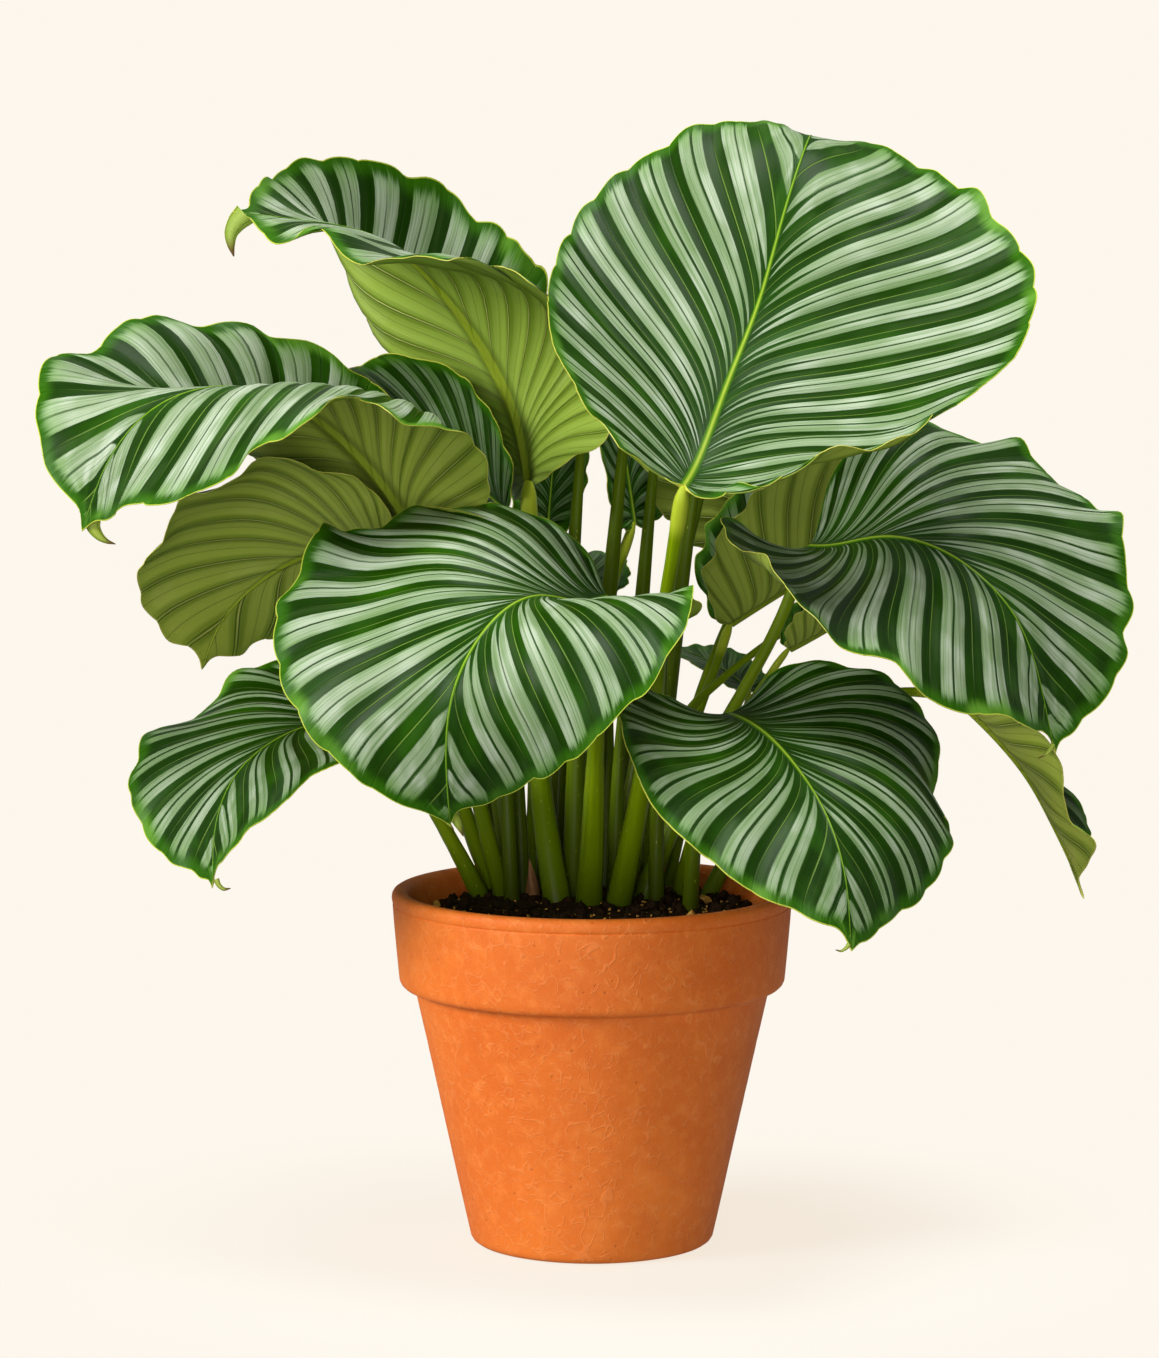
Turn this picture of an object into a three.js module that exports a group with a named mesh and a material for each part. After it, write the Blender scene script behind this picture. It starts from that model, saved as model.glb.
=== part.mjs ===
// A striped calathea in a round terracotta pot.
// Millimetres, +Z up. The origin is the centre of the pot's foot, on the surface it stands on.
import * as THREE from 'three';

// Pot: outer radii and heights.
const POT_HEIGHT = 177.9;
const RIM_RADIUS = 100; // collar, at its top
const COLLAR_FOOT_RADIUS = 96.5; // collar, at its lower edge
const COLLAR_FOOT_Z = 132;
const BODY_TOP_RADIUS = 88.3; // body, where it meets the collar's underside
const BODY_TOP_Z = 127.6;
const BODY_FOOT_RADIUS = 61.2;
const FOOT_RADIUS = 57; // flat ring the pot stands on
const FLOOR_THICKNESS = 8;
const INNER_MOUTH_RADIUS = 91;
const INNER_FLOOR_RADIUS = 53.5;
const DRAIN_RADIUS = 9;
const POT_SEGMENTS = 44;

// Soil.
const SOIL_TOP_Z = 165;
const GAP = 0.3; // between neighbouring pieces

// Leaf blades.
const BLADE_THICKNESS = 1.1; // at the middle of each half
const MARGIN_THICKNESS = 0.8;
const MIDRIB_DEPTH = 2.2; // how far the midrib stands out below the blade, at its base
const LARGE_BLADE = 120; // blade length from which the mesh is finer
const VEIN_REACH = 0.55; // how far a vein's middle runs towards the margin

// Stalks.
const STALK_SIDES = 6;
const STALK_STATIONS = [0, 0.035, 0.12, 0.25, 0.4, 0.55, 0.7, 0.82, 0.91, 0.97, 1];
const SHOOT_STATIONS = [0, 0.2, 0.45, 0.7, 0.88, 1];
const STALK_NECK = 0.58; // radius above the sheath, as a share of the radius at the soil
const PULVINUS = 1.14; // swelling just below the blade

// Colours.
const TERRACOTTA = 0xc2672f;
const SOIL_BROWN = 0x2e211a;
const BLADE_GREEN = 0x5f8f58;
const STALK_GREEN = 0x7c8a34;
const SHEATH_BROWN = 0x8a5a34;

// Leaves. Each blade is a surface over a flat leaf of unit length: x to the right, y from base to tip.
// net: 9 by 9 control points of a uniform cubic B-spline surface, y running fastest.
// right, left: the margin from base to tip, as flat x, y pairs.
// stalk: points of the centreline, from the soil to the blade's base.
const NET_X = [-0.66, 0.66];
const NET_Y = [-0.14, 1.1];
const NET_SIZE = 9;

const LEAVES = [
  {
    id: '01',
    length: 238.3,
    stalkRadius: 6,
    net: [
      -15.7, -148.5, 645.7, -179.9, -129.7, 443.3, -97.5, -87, 507.7, -139.3, -43.7, 526.3, -102.5, -0.2, 533.7,
      -119.3, 44.5, 571.8, -75.7, 97.3, 581.7, -102.9, 122.6, 624.5, 53.8, 149.1, 620.6, -120.9, -168.7, 385.1,
      -81.8, -121.9, 462.3, -90.4, -79.3, 474.4, -68.5, -40.3, 498.7, -68.4, 0.4, 522.2, -52.8, 43.4, 547.4, -44.9,
      78.1, 583.3, -21.5, 120, 606, -38.8, 156.9, 639, -41.6, -158.8, 431.4, -50.2, -119.8, 416.9, -33.5, -77.5,
      449, -27.1, -37.6, 476.6, -16.4, 5.3, 499.1, -6.8, 35.9, 536.3, 12.8, 73.9, 563.7, 19.2, 104.9, 592.3, 56.3,
      142.6, 617.7, -15.4, -164.4, 354.2, 12.5, -112, 409.2, 3.1, -68.4, 426.3, 16.5, -24, 441.7, 30.6, 4.7, 482.8,
      47.1, 26.3, 522.6, 56.2, 50.3, 562, 79.2, 97.4, 590.1, 56.1, 150.2, 587.3, 83.6, -129.2, 431.2, 21.3, -108.1,
      372.4, 48.5, -49, 370.8, 63.5, -32.1, 433.9, 84.3, -3.2, 467.2, 92.8, 8.2, 514.5, 112.9, 34.3, 566.4, 103.6,
      103.9, 522.6, 111.9, 82.4, 450.7, 10.6, -170.3, 403.3, 98.8, -125.7, 364.4, 95.6, -81.7, 401.6, 118.5, -35.8,
      410.1, 130.4, -17.6, 460.1, 146.4, 1.2, 505.2, 156.9, 40.5, 527.8, 172.1, 77.8, 577, 194.8, 151.8, 584.3,
      161.8, -189.3, 260.6, 84.7, -137.9, 491.2, 147.7, -103, 375, 162, -68.5, 424.5, 182.8, -36.7, 454.1, 194.5,
      -8.8, 491, 211, 16.3, 543.2, 220.2, 64.6, 537.4, 228.1, 80.3, 598.4, -2.9, -199.7, 690.1, 183.9, -185.8,
      326.6, 144.5, -144.1, 453.3, 197.8, -108, 434.9, 223.4, -67, 454, 253.4, -34.7, 500.8, 246.4, 9, 504.2, 276,
      37.2, 569.9, 276.9, 107.1, 531.6, 620.9, -327.7, -611.2, 64.8, -196, 689.4, 230.3, -169.6, 350.5, 268.2,
      -134.6, 395.4, 251.5, -96.7, 489.3, 276.9, -48.9, 440.8, 333, -30.5, 581.4, 288.1, 46.5, 451.7, 378.6, -40.4,
      780.2,
    ],
    right: [
      0, 0, 0.045, -0.048, 0.086, -0.035, 0.11, 0.027, 0.177, -0.037, 0.213, -0.007, 0.265, -0.012, 0.321, -0.032,
      0.36, -0.004, 0.384, 0.038, 0.41, 0.073, 0.441, 0.101, 0.473, 0.126, 0.508, 0.145, 0.487, 0.224, 0.541, 0.22,
      0.581, 0.23, 0.58, 0.278, 0.579, 0.324, 0.587, 0.358, 0.591, 0.393, 0.592, 0.429, 0.589, 0.466, 0.582, 0.503,
      0.572, 0.54, 0.563, 0.575, 0.55, 0.61, 0.535, 0.646, 0.512, 0.677, 0.49, 0.711, 0.463, 0.74, 0.432, 0.764,
      0.406, 0.798, 0.376, 0.831, 0.339, 0.846, 0.303, 0.866, 0.268, 0.9, 0.229, 0.912, 0.19, 0.923, 0.151, 0.95,
      0.109, 0.971, 0.066, 0.975, 0.026, 1.005, 0, 1.03,
    ],
    left: [
      0, 0, -0.03, -0.011, -0.062, -0.004, -0.093, -0.019, -0.128, -0.034, -0.165, -0.046, -0.195, -0.024, -0.223,
      -0, -0.256, 0.008, -0.283, 0.029, -0.303, 0.066, -0.325, 0.094, -0.348, 0.117, -0.369, 0.145, -0.385, 0.178,
      -0.398, 0.213, -0.407, 0.25, -0.416, 0.285, -0.422, 0.321, -0.426, 0.357, -0.429, 0.393, -0.429, 0.43, -0.426,
      0.467, -0.421, 0.503, -0.417, 0.54, -0.41, 0.576, -0.398, 0.61, -0.384, 0.643, -0.372, 0.678, -0.357, 0.711,
      -0.339, 0.742, -0.315, 0.768, -0.291, 0.792, -0.271, 0.824, -0.248, 0.851, -0.221, 0.872, -0.195, 0.896,
      -0.165, 0.908, -0.137, 0.926, -0.11, 0.953, -0.075, 0.928, -0.05, 1.002, -0.026, 1.034, 0, 1.03,
    ],
    stalk: [
      12.6, 10.9, 165, 15.8, 4.2, 181.7, 18.8, -2.4, 198.5, 21.8, -9.1, 215.3, 24.6, -15.8, 232.1, 27.1, -22.4,
      248.9, 29.4, -29.1, 265.8, 31.2, -35.9, 282.7, 32.7, -42.6, 299.7, 34.3, -49.4, 316.6, 36.4, -56.2, 333.4,
      38.9, -63.2, 350.2, 41.1, -70.4, 366.8, 43, -78, 383.4,
    ],
  },
  {
    id: '02',
    length: 215.3,
    stalkRadius: 5.4,
    net: [
      333.3, 173.2, 850.4, 144.6, 217.5, 324.9, 238.8, 127.6, 470.8, 286.8, 171.5, 448, 189.9, 105.2, 302.9, 395.3,
      123.9, 406, 324.2, 61.1, 339.6, 371.5, 119.7, 291.3, 397.1, -87.2, 239.5, 81.8, 183.8, 331.7, 179.5, 156.1,
      475, 187.6, 144.5, 358.5, 230.2, 95.7, 416, 253.4, 98.3, 351.3, 304.2, 44.1, 389.8, 308.5, 62.1, 297.4, 347,
      41, 283.3, 324.2, 75.5, 219.1, 117.2, 140.9, 493.9, 118.4, 110, 410.8, 169.8, 83.5, 425.5, 199.7, 70.4, 381.9,
      235.5, 42.3, 377.7, 256.6, 37.1, 329.2, 287.9, 24.2, 304, 296.2, 22.2, 264.3, 349, -6, 227.4, 55.7, 111.8,
      350.3, 108.6, 92.1, 389.3, 135.2, 62.4, 380.3, 171.3, 27.5, 389.1, 208.7, 7.9, 361.3, 230.7, -0.9, 325.5,
      258.6, -14.8, 287.2, 281.9, -22.7, 238.9, 261.7, -17.1, 204.9, 53.8, 108.5, 370.8, 91.7, 71.5, 325.9, 128.1,
      41.6, 333.6, 143.1, 3.2, 356.2, 174.5, -26.1, 350.6, 212.2, -45.4, 323.7, 215, -37.4, 274.8, 215.5, -41.3,
      236.3, 261.7, -74.3, 195.6, 36.4, 71.6, 360.7, 60.7, 38.7, 378.2, 76.3, 4.9, 344, 115.5, -20.7, 323.5, 145.6,
      -57.3, 339.1, 173.4, -76.1, 307.2, 204.8, -92.2, 286.9, 219.4, -92.2, 237.7, 236.4, -102.9, 210.7, 17.7, 22.7,
      440.2, 37.3, -1.5, 388, 61.8, -29.3, 366.1, 77.6, -60.7, 334.3, 111.8, -84.4, 313.4, 150.4, -115.6, 310.4,
      151, -107.6, 238.7, 212.3, -128.7, 247.5, 199.9, -121.3, 162, -43.8, -8.8, 369.5, 15.3, -45, 425.2, 13.4,
      -73.5, 354.7, 96.1, -93.2, 394.1, 75.6, -129.1, 325.5, 118.2, -146.4, 294.1, 151.9, -172.2, 285.4, 155.2,
      -157.8, 211.5, 233.6, -193.1, 249.8, 113, -82.2, 794.2, -66.5, -82.2, 329.8, 62.7, -101.8, 472.6, -16, -128.1,
      322.1, 106.3, -151.9, 373.6, 83.6, -204, 293.8, 86, -166.5, 214.4, 186.4, -237.6, 286.9, 69.6, -134.7, 54.1,
    ],
    right: [
      0, 0, 0.037, -0.017, 0.077, -0.022, 0.116, -0.04, 0.159, -0.047, 0.199, -0.027, 0.235, -0.027, 0.267, -0.026,
      0.301, -0.017, 0.349, 0.033, 0.374, 0.058, 0.398, 0.085, 0.424, 0.114, 0.446, 0.145, 0.465, 0.177, 0.476,
      0.207, 0.488, 0.241, 0.533, 0.295, 0.539, 0.33, 0.529, 0.358, 0.538, 0.398, 0.531, 0.431, 0.519, 0.464, 0.515,
      0.501, 0.515, 0.541, 0.514, 0.581, 0.502, 0.616, 0.469, 0.642, 0.437, 0.669, 0.434, 0.708, 0.42, 0.742, 0.395,
      0.771, 0.366, 0.799, 0.336, 0.825, 0.305, 0.85, 0.27, 0.871, 0.232, 0.889, 0.202, 0.913, 0.18, 0.937, 0.142,
      0.953, 0.087, 0.965, 0.033, 0.973, 0.002, 0.992, 0, 1.03,
    ],
    left: [
      0, 0, -0.039, -0.013, -0.083, -0.025, -0.129, -0.035, -0.175, -0.038, -0.221, -0.031, -0.265, -0.021, -0.309,
      -0.009, -0.345, 0.015, -0.381, 0.041, -0.432, 0.049, -0.469, 0.074, -0.489, 0.109, -0.489, 0.155, -0.5, 0.194,
      -0.52, 0.227, -0.559, 0.247, -0.592, 0.273, -0.586, 0.317, -0.577, 0.357, -0.568, 0.396, -0.566, 0.434,
      -0.579, 0.467, -0.575, 0.504, -0.56, 0.542, -0.561, 0.574, -0.561, 0.608, -0.526, 0.644, -0.5, 0.674, -0.477,
      0.705, -0.458, 0.739, -0.439, 0.774, -0.406, 0.8, -0.365, 0.821, -0.328, 0.844, -0.306, 0.875, -0.267, 0.896,
      -0.227, 0.915, -0.188, 0.934, -0.15, 0.953, -0.109, 0.97, -0.069, 0.99, -0.029, 1.003, 0, 1.03,
    ],
    stalk: [
      25.5, 32.8, 165, 30.6, 34, 179.3, 36.1, 35.2, 193.5, 42.2, 36.5, 207.4, 49, 37.7, 221.1, 56.1, 38.9, 234.6,
      63.2, 40, 248, 70.4, 41.2, 261.4, 77.9, 42.4, 274.7, 85.3, 43.7, 288, 92.3, 45.1, 301.5, 98.5, 46.7, 315.3,
      103.9, 48.5, 329.5, 108.8, 50.3, 343.8,
    ],
  },
  {
    id: '03',
    length: 188.8,
    stalkRadius: 4.8,
    net: [
      383.7, 61, 595.6, 154, 59.8, 237.2, 243.8, 11.2, 298.7, 178.7, 6.3, 239.2, 256.9, -24.7, 208.2, 169.7, -35.9,
      163.2, 243.7, -61.9, 149, 184.4, -67.1, 111.2, 345.2, -119.2, 87.5, 115.6, 67.2, 247.6, 179, 28.3, 316.8,
      168.9, -0.6, 280.8, 198.1, -30.7, 254.5, 156.1, -41.1, 209.5, 204.3, -75, 195.4, 190.3, -88.4, 160.9, 195.9,
      -101.4, 125.3, 174.1, -108.5, 95.1, 131.6, 35.9, 374.1, 126.5, 10.1, 287, 146.1, -27.3, 298.3, 160.9, -56.4,
      272.2, 164.2, -77.1, 238.3, 174.2, -103.7, 214.9, 164.9, -114.8, 174.4, 165.7, -128.1, 144.9, 167.5, -146,
      104.9, 70.5, 30.8, 267.9, 87.4, -12.4, 322.1, 105.4, -40.7, 287, 121.8, -76.7, 280.3, 138.6, -109.1, 260.2,
      147.7, -132.1, 226.1, 142.2, -144.5, 188.9, 144.2, -160.7, 154.2, 138.3, -166.4, 114.1, 42.8, 20.7, 318.5,
      59.5, -12.8, 246.7, 71.6, -52.3, 267.2, 84.8, -87.9, 264.4, 96.7, -121.6, 253.2, 111.7, -155.3, 236.6, 124.9,
      -181.9, 207.4, 115.2, -187.8, 159.6, 160.3, -236.3, 158.5, 10.3, 3.2, 275.1, 21.5, -33.7, 303, 30.6, -67.1,
      273.1, 44.9, -101.8, 260.9, 59.8, -136, 250.7, 73.2, -170.3, 236.3, 74.9, -187, 197.9, 96.9, -226.3, 191.1,
      84.6, -231.1, 115.6, -22.2, -22.6, 351.1, -4.5, -53.9, 306.9, 4, -88.4, 299.5, 13.8, -122.2, 281.8, 24.1,
      -154.5, 261.8, 31.4, -182.2, 234.2, 44.7, -210.3, 210.1, 44.6, -230.2, 165.5, 72, -270.5, 177, -44.6, -37.5,
      321, -43.1, -74.9, 345.4, -29.4, -108.8, 315.9, -10.8, -143.8, 305, -7, -176.7, 278, -5.2, -200.5, 243.6,
      -0.1, -225, 209.4, 15.5, -254.7, 192.6, 2.8, -266, 111.8, -103.4, -77.2, 512.6, -65.8, -93.3, 326.9, -52.3,
      -132.1, 353.7, -57.7, -163.3, 318.6, -46.2, -194.6, 291.9, -42.4, -218.4, 250.3, -27, -247.6, 232.5, -44.8,
      -257.8, 148.7, 43.7, -337.6, 327.9,
    ],
    right: [
      0, 0, 0.034, -0.018, 0.072, -0.023, 0.109, -0.039, 0.148, -0.05, 0.185, -0.025, 0.221, -0.015, 0.258, -0.004,
      0.292, 0.013, 0.331, 0.024, 0.351, 0.06, 0.364, 0.098, 0.403, 0.116, 0.428, 0.144, 0.442, 0.18, 0.458, 0.213,
      0.458, 0.252, 0.476, 0.284, 0.491, 0.318, 0.491, 0.356, 0.493, 0.393, 0.49, 0.428, 0.488, 0.465, 0.486, 0.504,
      0.481, 0.541, 0.471, 0.577, 0.458, 0.611, 0.441, 0.643, 0.425, 0.676, 0.411, 0.712, 0.39, 0.743, 0.363, 0.769,
      0.332, 0.791, 0.311, 0.823, 0.285, 0.851, 0.256, 0.876, 0.226, 0.899, 0.191, 0.914, 0.155, 0.927, 0.127,
      0.954, 0.092, 0.969, 0.049, 0.976, 0.018, 0.997, 0, 1.03,
    ],
    left: [
      0, 0, -0.033, 0, -0.072, -0.014, -0.114, -0.035, -0.155, -0.04, -0.195, -0.032, -0.236, -0.026, -0.275,
      -0.013, -0.305, 0.014, -0.331, 0.046, -0.36, 0.071, -0.4, 0.082, -0.433, 0.102, -0.445, 0.145, -0.456, 0.185,
      -0.476, 0.216, -0.488, 0.251, -0.503, 0.284, -0.515, 0.318, -0.525, 0.353, -0.528, 0.389, -0.522, 0.428,
      -0.499, 0.475, -0.48, 0.52, -0.484, 0.55, -0.503, 0.569, -0.507, 0.596, -0.477, 0.639, -0.446, 0.677, -0.421,
      0.709, -0.4, 0.739, -0.38, 0.769, -0.357, 0.797, -0.33, 0.824, -0.298, 0.849, -0.266, 0.872, -0.231, 0.892,
      -0.196, 0.912, -0.163, 0.931, -0.131, 0.951, -0.099, 0.972, -0.065, 0.992, -0.035, 1.005, 0, 1.03,
    ],
    stalk: [
      44.6, 51, 165, 46.1, 44, 173, 47.7, 37, 181, 49.3, 30.1, 189, 50.9, 23.1, 197, 52.7, 16.1, 205, 54.4, 9.1,
      212.9, 56.2, 2.2, 220.9, 57.9, -4.7, 229, 59.6, -11.6, 237, 61.2, -18.4, 245.1, 62.8, -25.2, 253.3, 64.3, -32,
      261.4, 65.8, -38.8, 269.6,
    ],
  },
  {
    id: '04',
    length: 215.4,
    stalkRadius: 6.6,
    net: [
      109.3, -22.7, 273.9, 203.5, -143.8, 384, 135.5, -125.1, 368.1, 122.8, -193.8, 346.5, 151.9, -220.8, 267.7,
      89.4, -230.3, 263.1, 94.1, -237.3, 184, 78.3, -205.2, 190.5, 156.2, -181.9, 92.1, 176.5, -75.4, 360.1, 124.1,
      -89.7, 351, 115.6, -139.8, 359, 101.7, -166.5, 334.5, 79.3, -198.1, 304.2, 64, -216.8, 255.1, 47.1, -207.2,
      226, 51.2, -184, 182.5, 44, -158.1, 168.4, 108.4, -35.1, 327.7, 105.4, -83.9, 334.8, 66.8, -104.6, 354, 51.8,
      -156.7, 343.3, 43, -180.7, 307, 17.8, -203.4, 280.3, 10, -188.2, 226.7, 20.6, -155.6, 208.7, 24.2, -134,
      159.6, 82.2, -17.7, 303.1, 55.9, -58.4, 302.3, 37.9, -99.8, 313.7, 12.9, -127.5, 344.2, -7.9, -176.6, 336.3,
      -25, -190.1, 285.7, -21.9, -152.8, 257.2, -14.4, -125.7, 222.9, -27.5, -93.1, 190.8, 64.4, -16.4, 329.7, 28,
      -33.1, 336.5, -8.6, -65, 315.7, -23.2, -107.3, 330.7, -44.4, -141.4, 328.3, -70.2, -170.1, 299.6, -68.3,
      -157.7, 245.9, -66.8, -121.6, 222.2, -62.5, -101.6, 167.8, 26.7, 21.6, 379.8, 2.5, -19.9, 367.6, -27.3, -50.5,
      366.4, -57.6, -85.3, 359.9, -86.1, -121.7, 344.9, -104.8, -136.9, 299.9, -115.6, -139.4, 263.3, -115.5,
      -135.2, 203.7, -112.7, -122.8, 188.6, -12, 42.3, 364.3, -41, 11.3, 395.3, -68.8, -21.2, 367.4, -94.4, -57.5,
      364.4, -116.3, -79.4, 326.6, -147.8, -116, 320.4, -160.3, -122.7, 259.2, -166.7, -118.3, 242.2, -181.9,
      -119.2, 155.2, -53.6, 66.6, 493.3, -70.3, 37.2, 362.2, -103.8, 0.2, 397.4, -137.4, -21.5, 344.3, -148.9,
      -95.4, 406.1, -183, -67.3, 298.5, -199.1, -103.8, 311.7, -213.3, -97.3, 226.3, -206.2, -115.4, 265.4, 42.5,
      119.9, -314.9, -151, 53.9, 590.2, -112.9, 44.1, 222.1, -191.1, -40.5, 505.8, -176.7, -19.8, 364.9, -185.6,
      -91.7, 356.2, -265.9, -54.5, 268.2, -226.6, -99.8, 322, -375.9, 8.3, 46.6,
    ],
    right: [
      0, 0, 0.039, -0.018, 0.082, -0.036, 0.126, -0.043, 0.169, -0.039, 0.209, -0.023, 0.252, -0.014, 0.299, -0.011,
      0.338, 0.007, 0.378, 0.023, 0.392, 0.07, 0.403, 0.119, 0.461, 0.113, 0.514, 0.116, 0.513, 0.17, 0.506, 0.23,
      0.515, 0.273, 0.539, 0.295, 0.558, 0.318, 0.573, 0.34, 0.579, 0.377, 0.571, 0.427, 0.561, 0.467, 0.551, 0.502,
      0.536, 0.537, 0.528, 0.573, 0.534, 0.612, 0.511, 0.645, 0.488, 0.678, 0.466, 0.71, 0.442, 0.741, 0.415, 0.77,
      0.386, 0.797, 0.355, 0.823, 0.325, 0.851, 0.292, 0.875, 0.253, 0.891, 0.216, 0.91, 0.183, 0.937, 0.143, 0.951,
      0.104, 0.968, 0.063, 0.985, 0.026, 1.005, 0, 1.03,
    ],
    left: [
      0, 0, -0.028, -0.02, -0.062, -0.024, -0.093, -0.029, -0.126, -0.048, -0.159, -0.035, -0.189, -0.018, -0.218,
      -0.003, -0.242, 0.02, -0.28, 0.028, -0.308, 0.052, -0.311, 0.097, -0.333, 0.129, -0.351, 0.163, -0.367, 0.191,
      -0.38, 0.22, -0.392, 0.251, -0.4, 0.282, -0.411, 0.319, -0.419, 0.356, -0.423, 0.393, -0.419, 0.43, -0.413,
      0.466, -0.412, 0.503, -0.411, 0.541, -0.404, 0.577, -0.385, 0.608, -0.373, 0.643, -0.362, 0.677, -0.347, 0.71,
      -0.328, 0.74, -0.309, 0.769, -0.286, 0.796, -0.264, 0.822, -0.24, 0.847, -0.214, 0.87, -0.188, 0.888, -0.162,
      0.914, -0.136, 0.938, -0.108, 0.957, -0.077, 0.969, -0.045, 0.975, -0.015, 0.992, 0, 1.03,
    ],
    stalk: [
      -1.4, 10.9, 165, -1.1, 5.6, 177.5, -0.4, 0.3, 190.1, 0.1, -4.9, 202.6, 0.6, -10.2, 215.2, 1, -15.5, 227.7,
      1.4, -20.7, 240.3, 1.9, -26, 252.8, 2.5, -31.1, 265.4, 3.4, -36.2, 278, 4.4, -41.2, 290.6, 5.6, -46.2, 303.3,
      6.9, -51.1, 315.9, 8.3, -55.9, 328.5,
    ],
  },
  {
    id: '05',
    length: 168.5,
    stalkRadius: 4.6,
    net: [
      64.3, -19.7, 232.3, 17.7, -43.1, 245.8, 6.5, -72.6, 243.9, -24.3, -99.7, 257.6, -25.9, -128.7, 241.7, -88.8,
      -162.2, 286.3, -67.1, -181.5, 223.3, -104.8, -204.4, 255.5, -134.1, -238.9, 160.5, 9.3, 6.6, 241.6, -4.9,
      -23.1, 244.1, -28, -50.3, 249.6, -45.8, -78.2, 251.5, -71.6, -107.3, 260, -86, -133.1, 248.1, -116.3, -160.9,
      253.3, -124.8, -181, 215.8, -127.3, -197.3, 208.1, -13.3, 28.8, 242.6, -37.2, 1, 247, -55.8, -27.7, 250.4,
      -77.9, -56.2, 255.8, -96.2, -83.5, 253.3, -124.2, -113, 264.1, -134.2, -134.7, 228.1, -144.6, -153.1, 212.1,
      -176.4, -180.3, 186.6, -45.3, 50.3, 243.6, -65.9, 22.1, 248.9, -86.5, -5.6, 252.8, -105.8, -33.6, 256.9,
      -127.9, -61.9, 262.8, -147.3, -87.6, 247.6, -162.4, -109.8, 226.1, -183.3, -131.2, 202.1, -160, -140.1, 156.2,
      -77.6, 73.7, 262.4, -96.1, 46.3, 255.1, -116.7, 17.2, 257.4, -135.3, -12, 261.7, -155.2, -39, 257.3, -177.3,
      -64.9, 243.9, -183.5, -80.7, 213.7, -170.2, -87.8, 175.7, -217.6, -126, 165.1, -99.6, 93.7, 283, -126.2, 63.3,
      283.3, -142, 34.9, 278.4, -165.7, 7.1, 273.9, -186, -17.2, 257.2, -200.9, -38.8, 234.8, -210, -55.8, 203.5,
      -214.3, -69.9, 173.6, -208.2, -77.9, 133.1, -148.8, 100.9, 321.7, -148.6, 80.3, 296.1, -180.3, 50.9, 296.8,
      -190.3, 34, 259.4, -213.4, 5.8, 256.9, -231.6, -15.9, 232.3, -236.9, -31.1, 201.3, -247.3, -47.2, 168.7,
      -250.9, -65.8, 140.2, -152.5, 132.6, 310.6, -189.5, 101.8, 298, -202, 82.9, 276.5, -208.4, 59.9, 242.7,
      -248.2, 28.7, 265, -248.1, 13.9, 218.3, -273.7, -7.3, 202.9, -271.2, -22.3, 163.9, -295.1, -37, 141.5, -206.2,
      139, 250.3, -209.4, 133, 302.9, -222.9, 97.1, 271, -267.4, 83.3, 279.2, -249.1, 60, 208.2, -309.1, 26.8,
      249.7, -274.7, 24.6, 177, -330.4, -2.6, 181.9, -238.4, -11.8, 80,
    ],
    right: [
      0, 0, 0.036, -0.018, 0.073, -0.031, 0.113, -0.039, 0.154, -0.041, 0.191, -0.016, 0.231, -0.015, 0.277, -0.02,
      0.312, 0.003, 0.35, 0.019, 0.364, 0.062, 0.387, 0.094, 0.429, 0.109, 0.453, 0.14, 0.456, 0.182, 0.464, 0.222,
      0.48, 0.255, 0.497, 0.286, 0.503, 0.323, 0.508, 0.359, 0.512, 0.395, 0.523, 0.424, 0.532, 0.453, 0.518, 0.497,
      0.494, 0.541, 0.472, 0.579, 0.462, 0.612, 0.467, 0.644, 0.46, 0.677, 0.435, 0.71, 0.403, 0.74, 0.373, 0.767,
      0.347, 0.795, 0.326, 0.825, 0.299, 0.851, 0.267, 0.874, 0.234, 0.895, 0.199, 0.914, 0.167, 0.936, 0.13, 0.95,
      0.094, 0.967, 0.062, 0.988, 0.02, 1.003, 0, 1.03,
    ],
    left: [
      0, 0, -0.031, -0.021, -0.067, -0.032, -0.104, -0.032, -0.14, -0.033, -0.175, -0.023, -0.215, -0.027, -0.253,
      -0.019, -0.272, 0.021, -0.301, 0.042, -0.337, 0.057, -0.36, 0.086, -0.387, 0.113, -0.399, 0.15, -0.404, 0.188,
      -0.44, 0.212, -0.458, 0.245, -0.453, 0.285, -0.46, 0.32, -0.46, 0.357, -0.468, 0.393, -0.485, 0.431, -0.464,
      0.467, -0.448, 0.501, -0.457, 0.54, -0.45, 0.577, -0.442, 0.615, -0.429, 0.652, -0.416, 0.687, -0.383, 0.706,
      -0.342, 0.72, -0.334, 0.761, -0.332, 0.805, -0.312, 0.835, -0.283, 0.858, -0.246, 0.875, -0.193, 0.882,
      -0.161, 0.902, -0.156, 0.937, -0.135, 0.959, -0.09, 0.97, -0.031, 0.972, -0.007, 0.993, 0, 1.03,
    ],
    stalk: [
      -55.8, 44.7, 165, -59.4, 43.1, 172.4, -62.9, 41.6, 179.9, -66.6, 40.2, 187.3, -70.4, 38.7, 194.7, -74.3, 37.2,
      202, -78.3, 35.8, 209.2, -82.5, 34.4, 216.4, -86.7, 33.1, 223.5, -91, 31.8, 230.6, -95.3, 30.7, 237.7, -99.7,
      29.6, 244.8, -104.1, 28.6, 251.9, -108.5, 27.5, 259,
    ],
  },
  {
    id: '06',
    length: 163.5,
    stalkRadius: 4.4,
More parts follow.
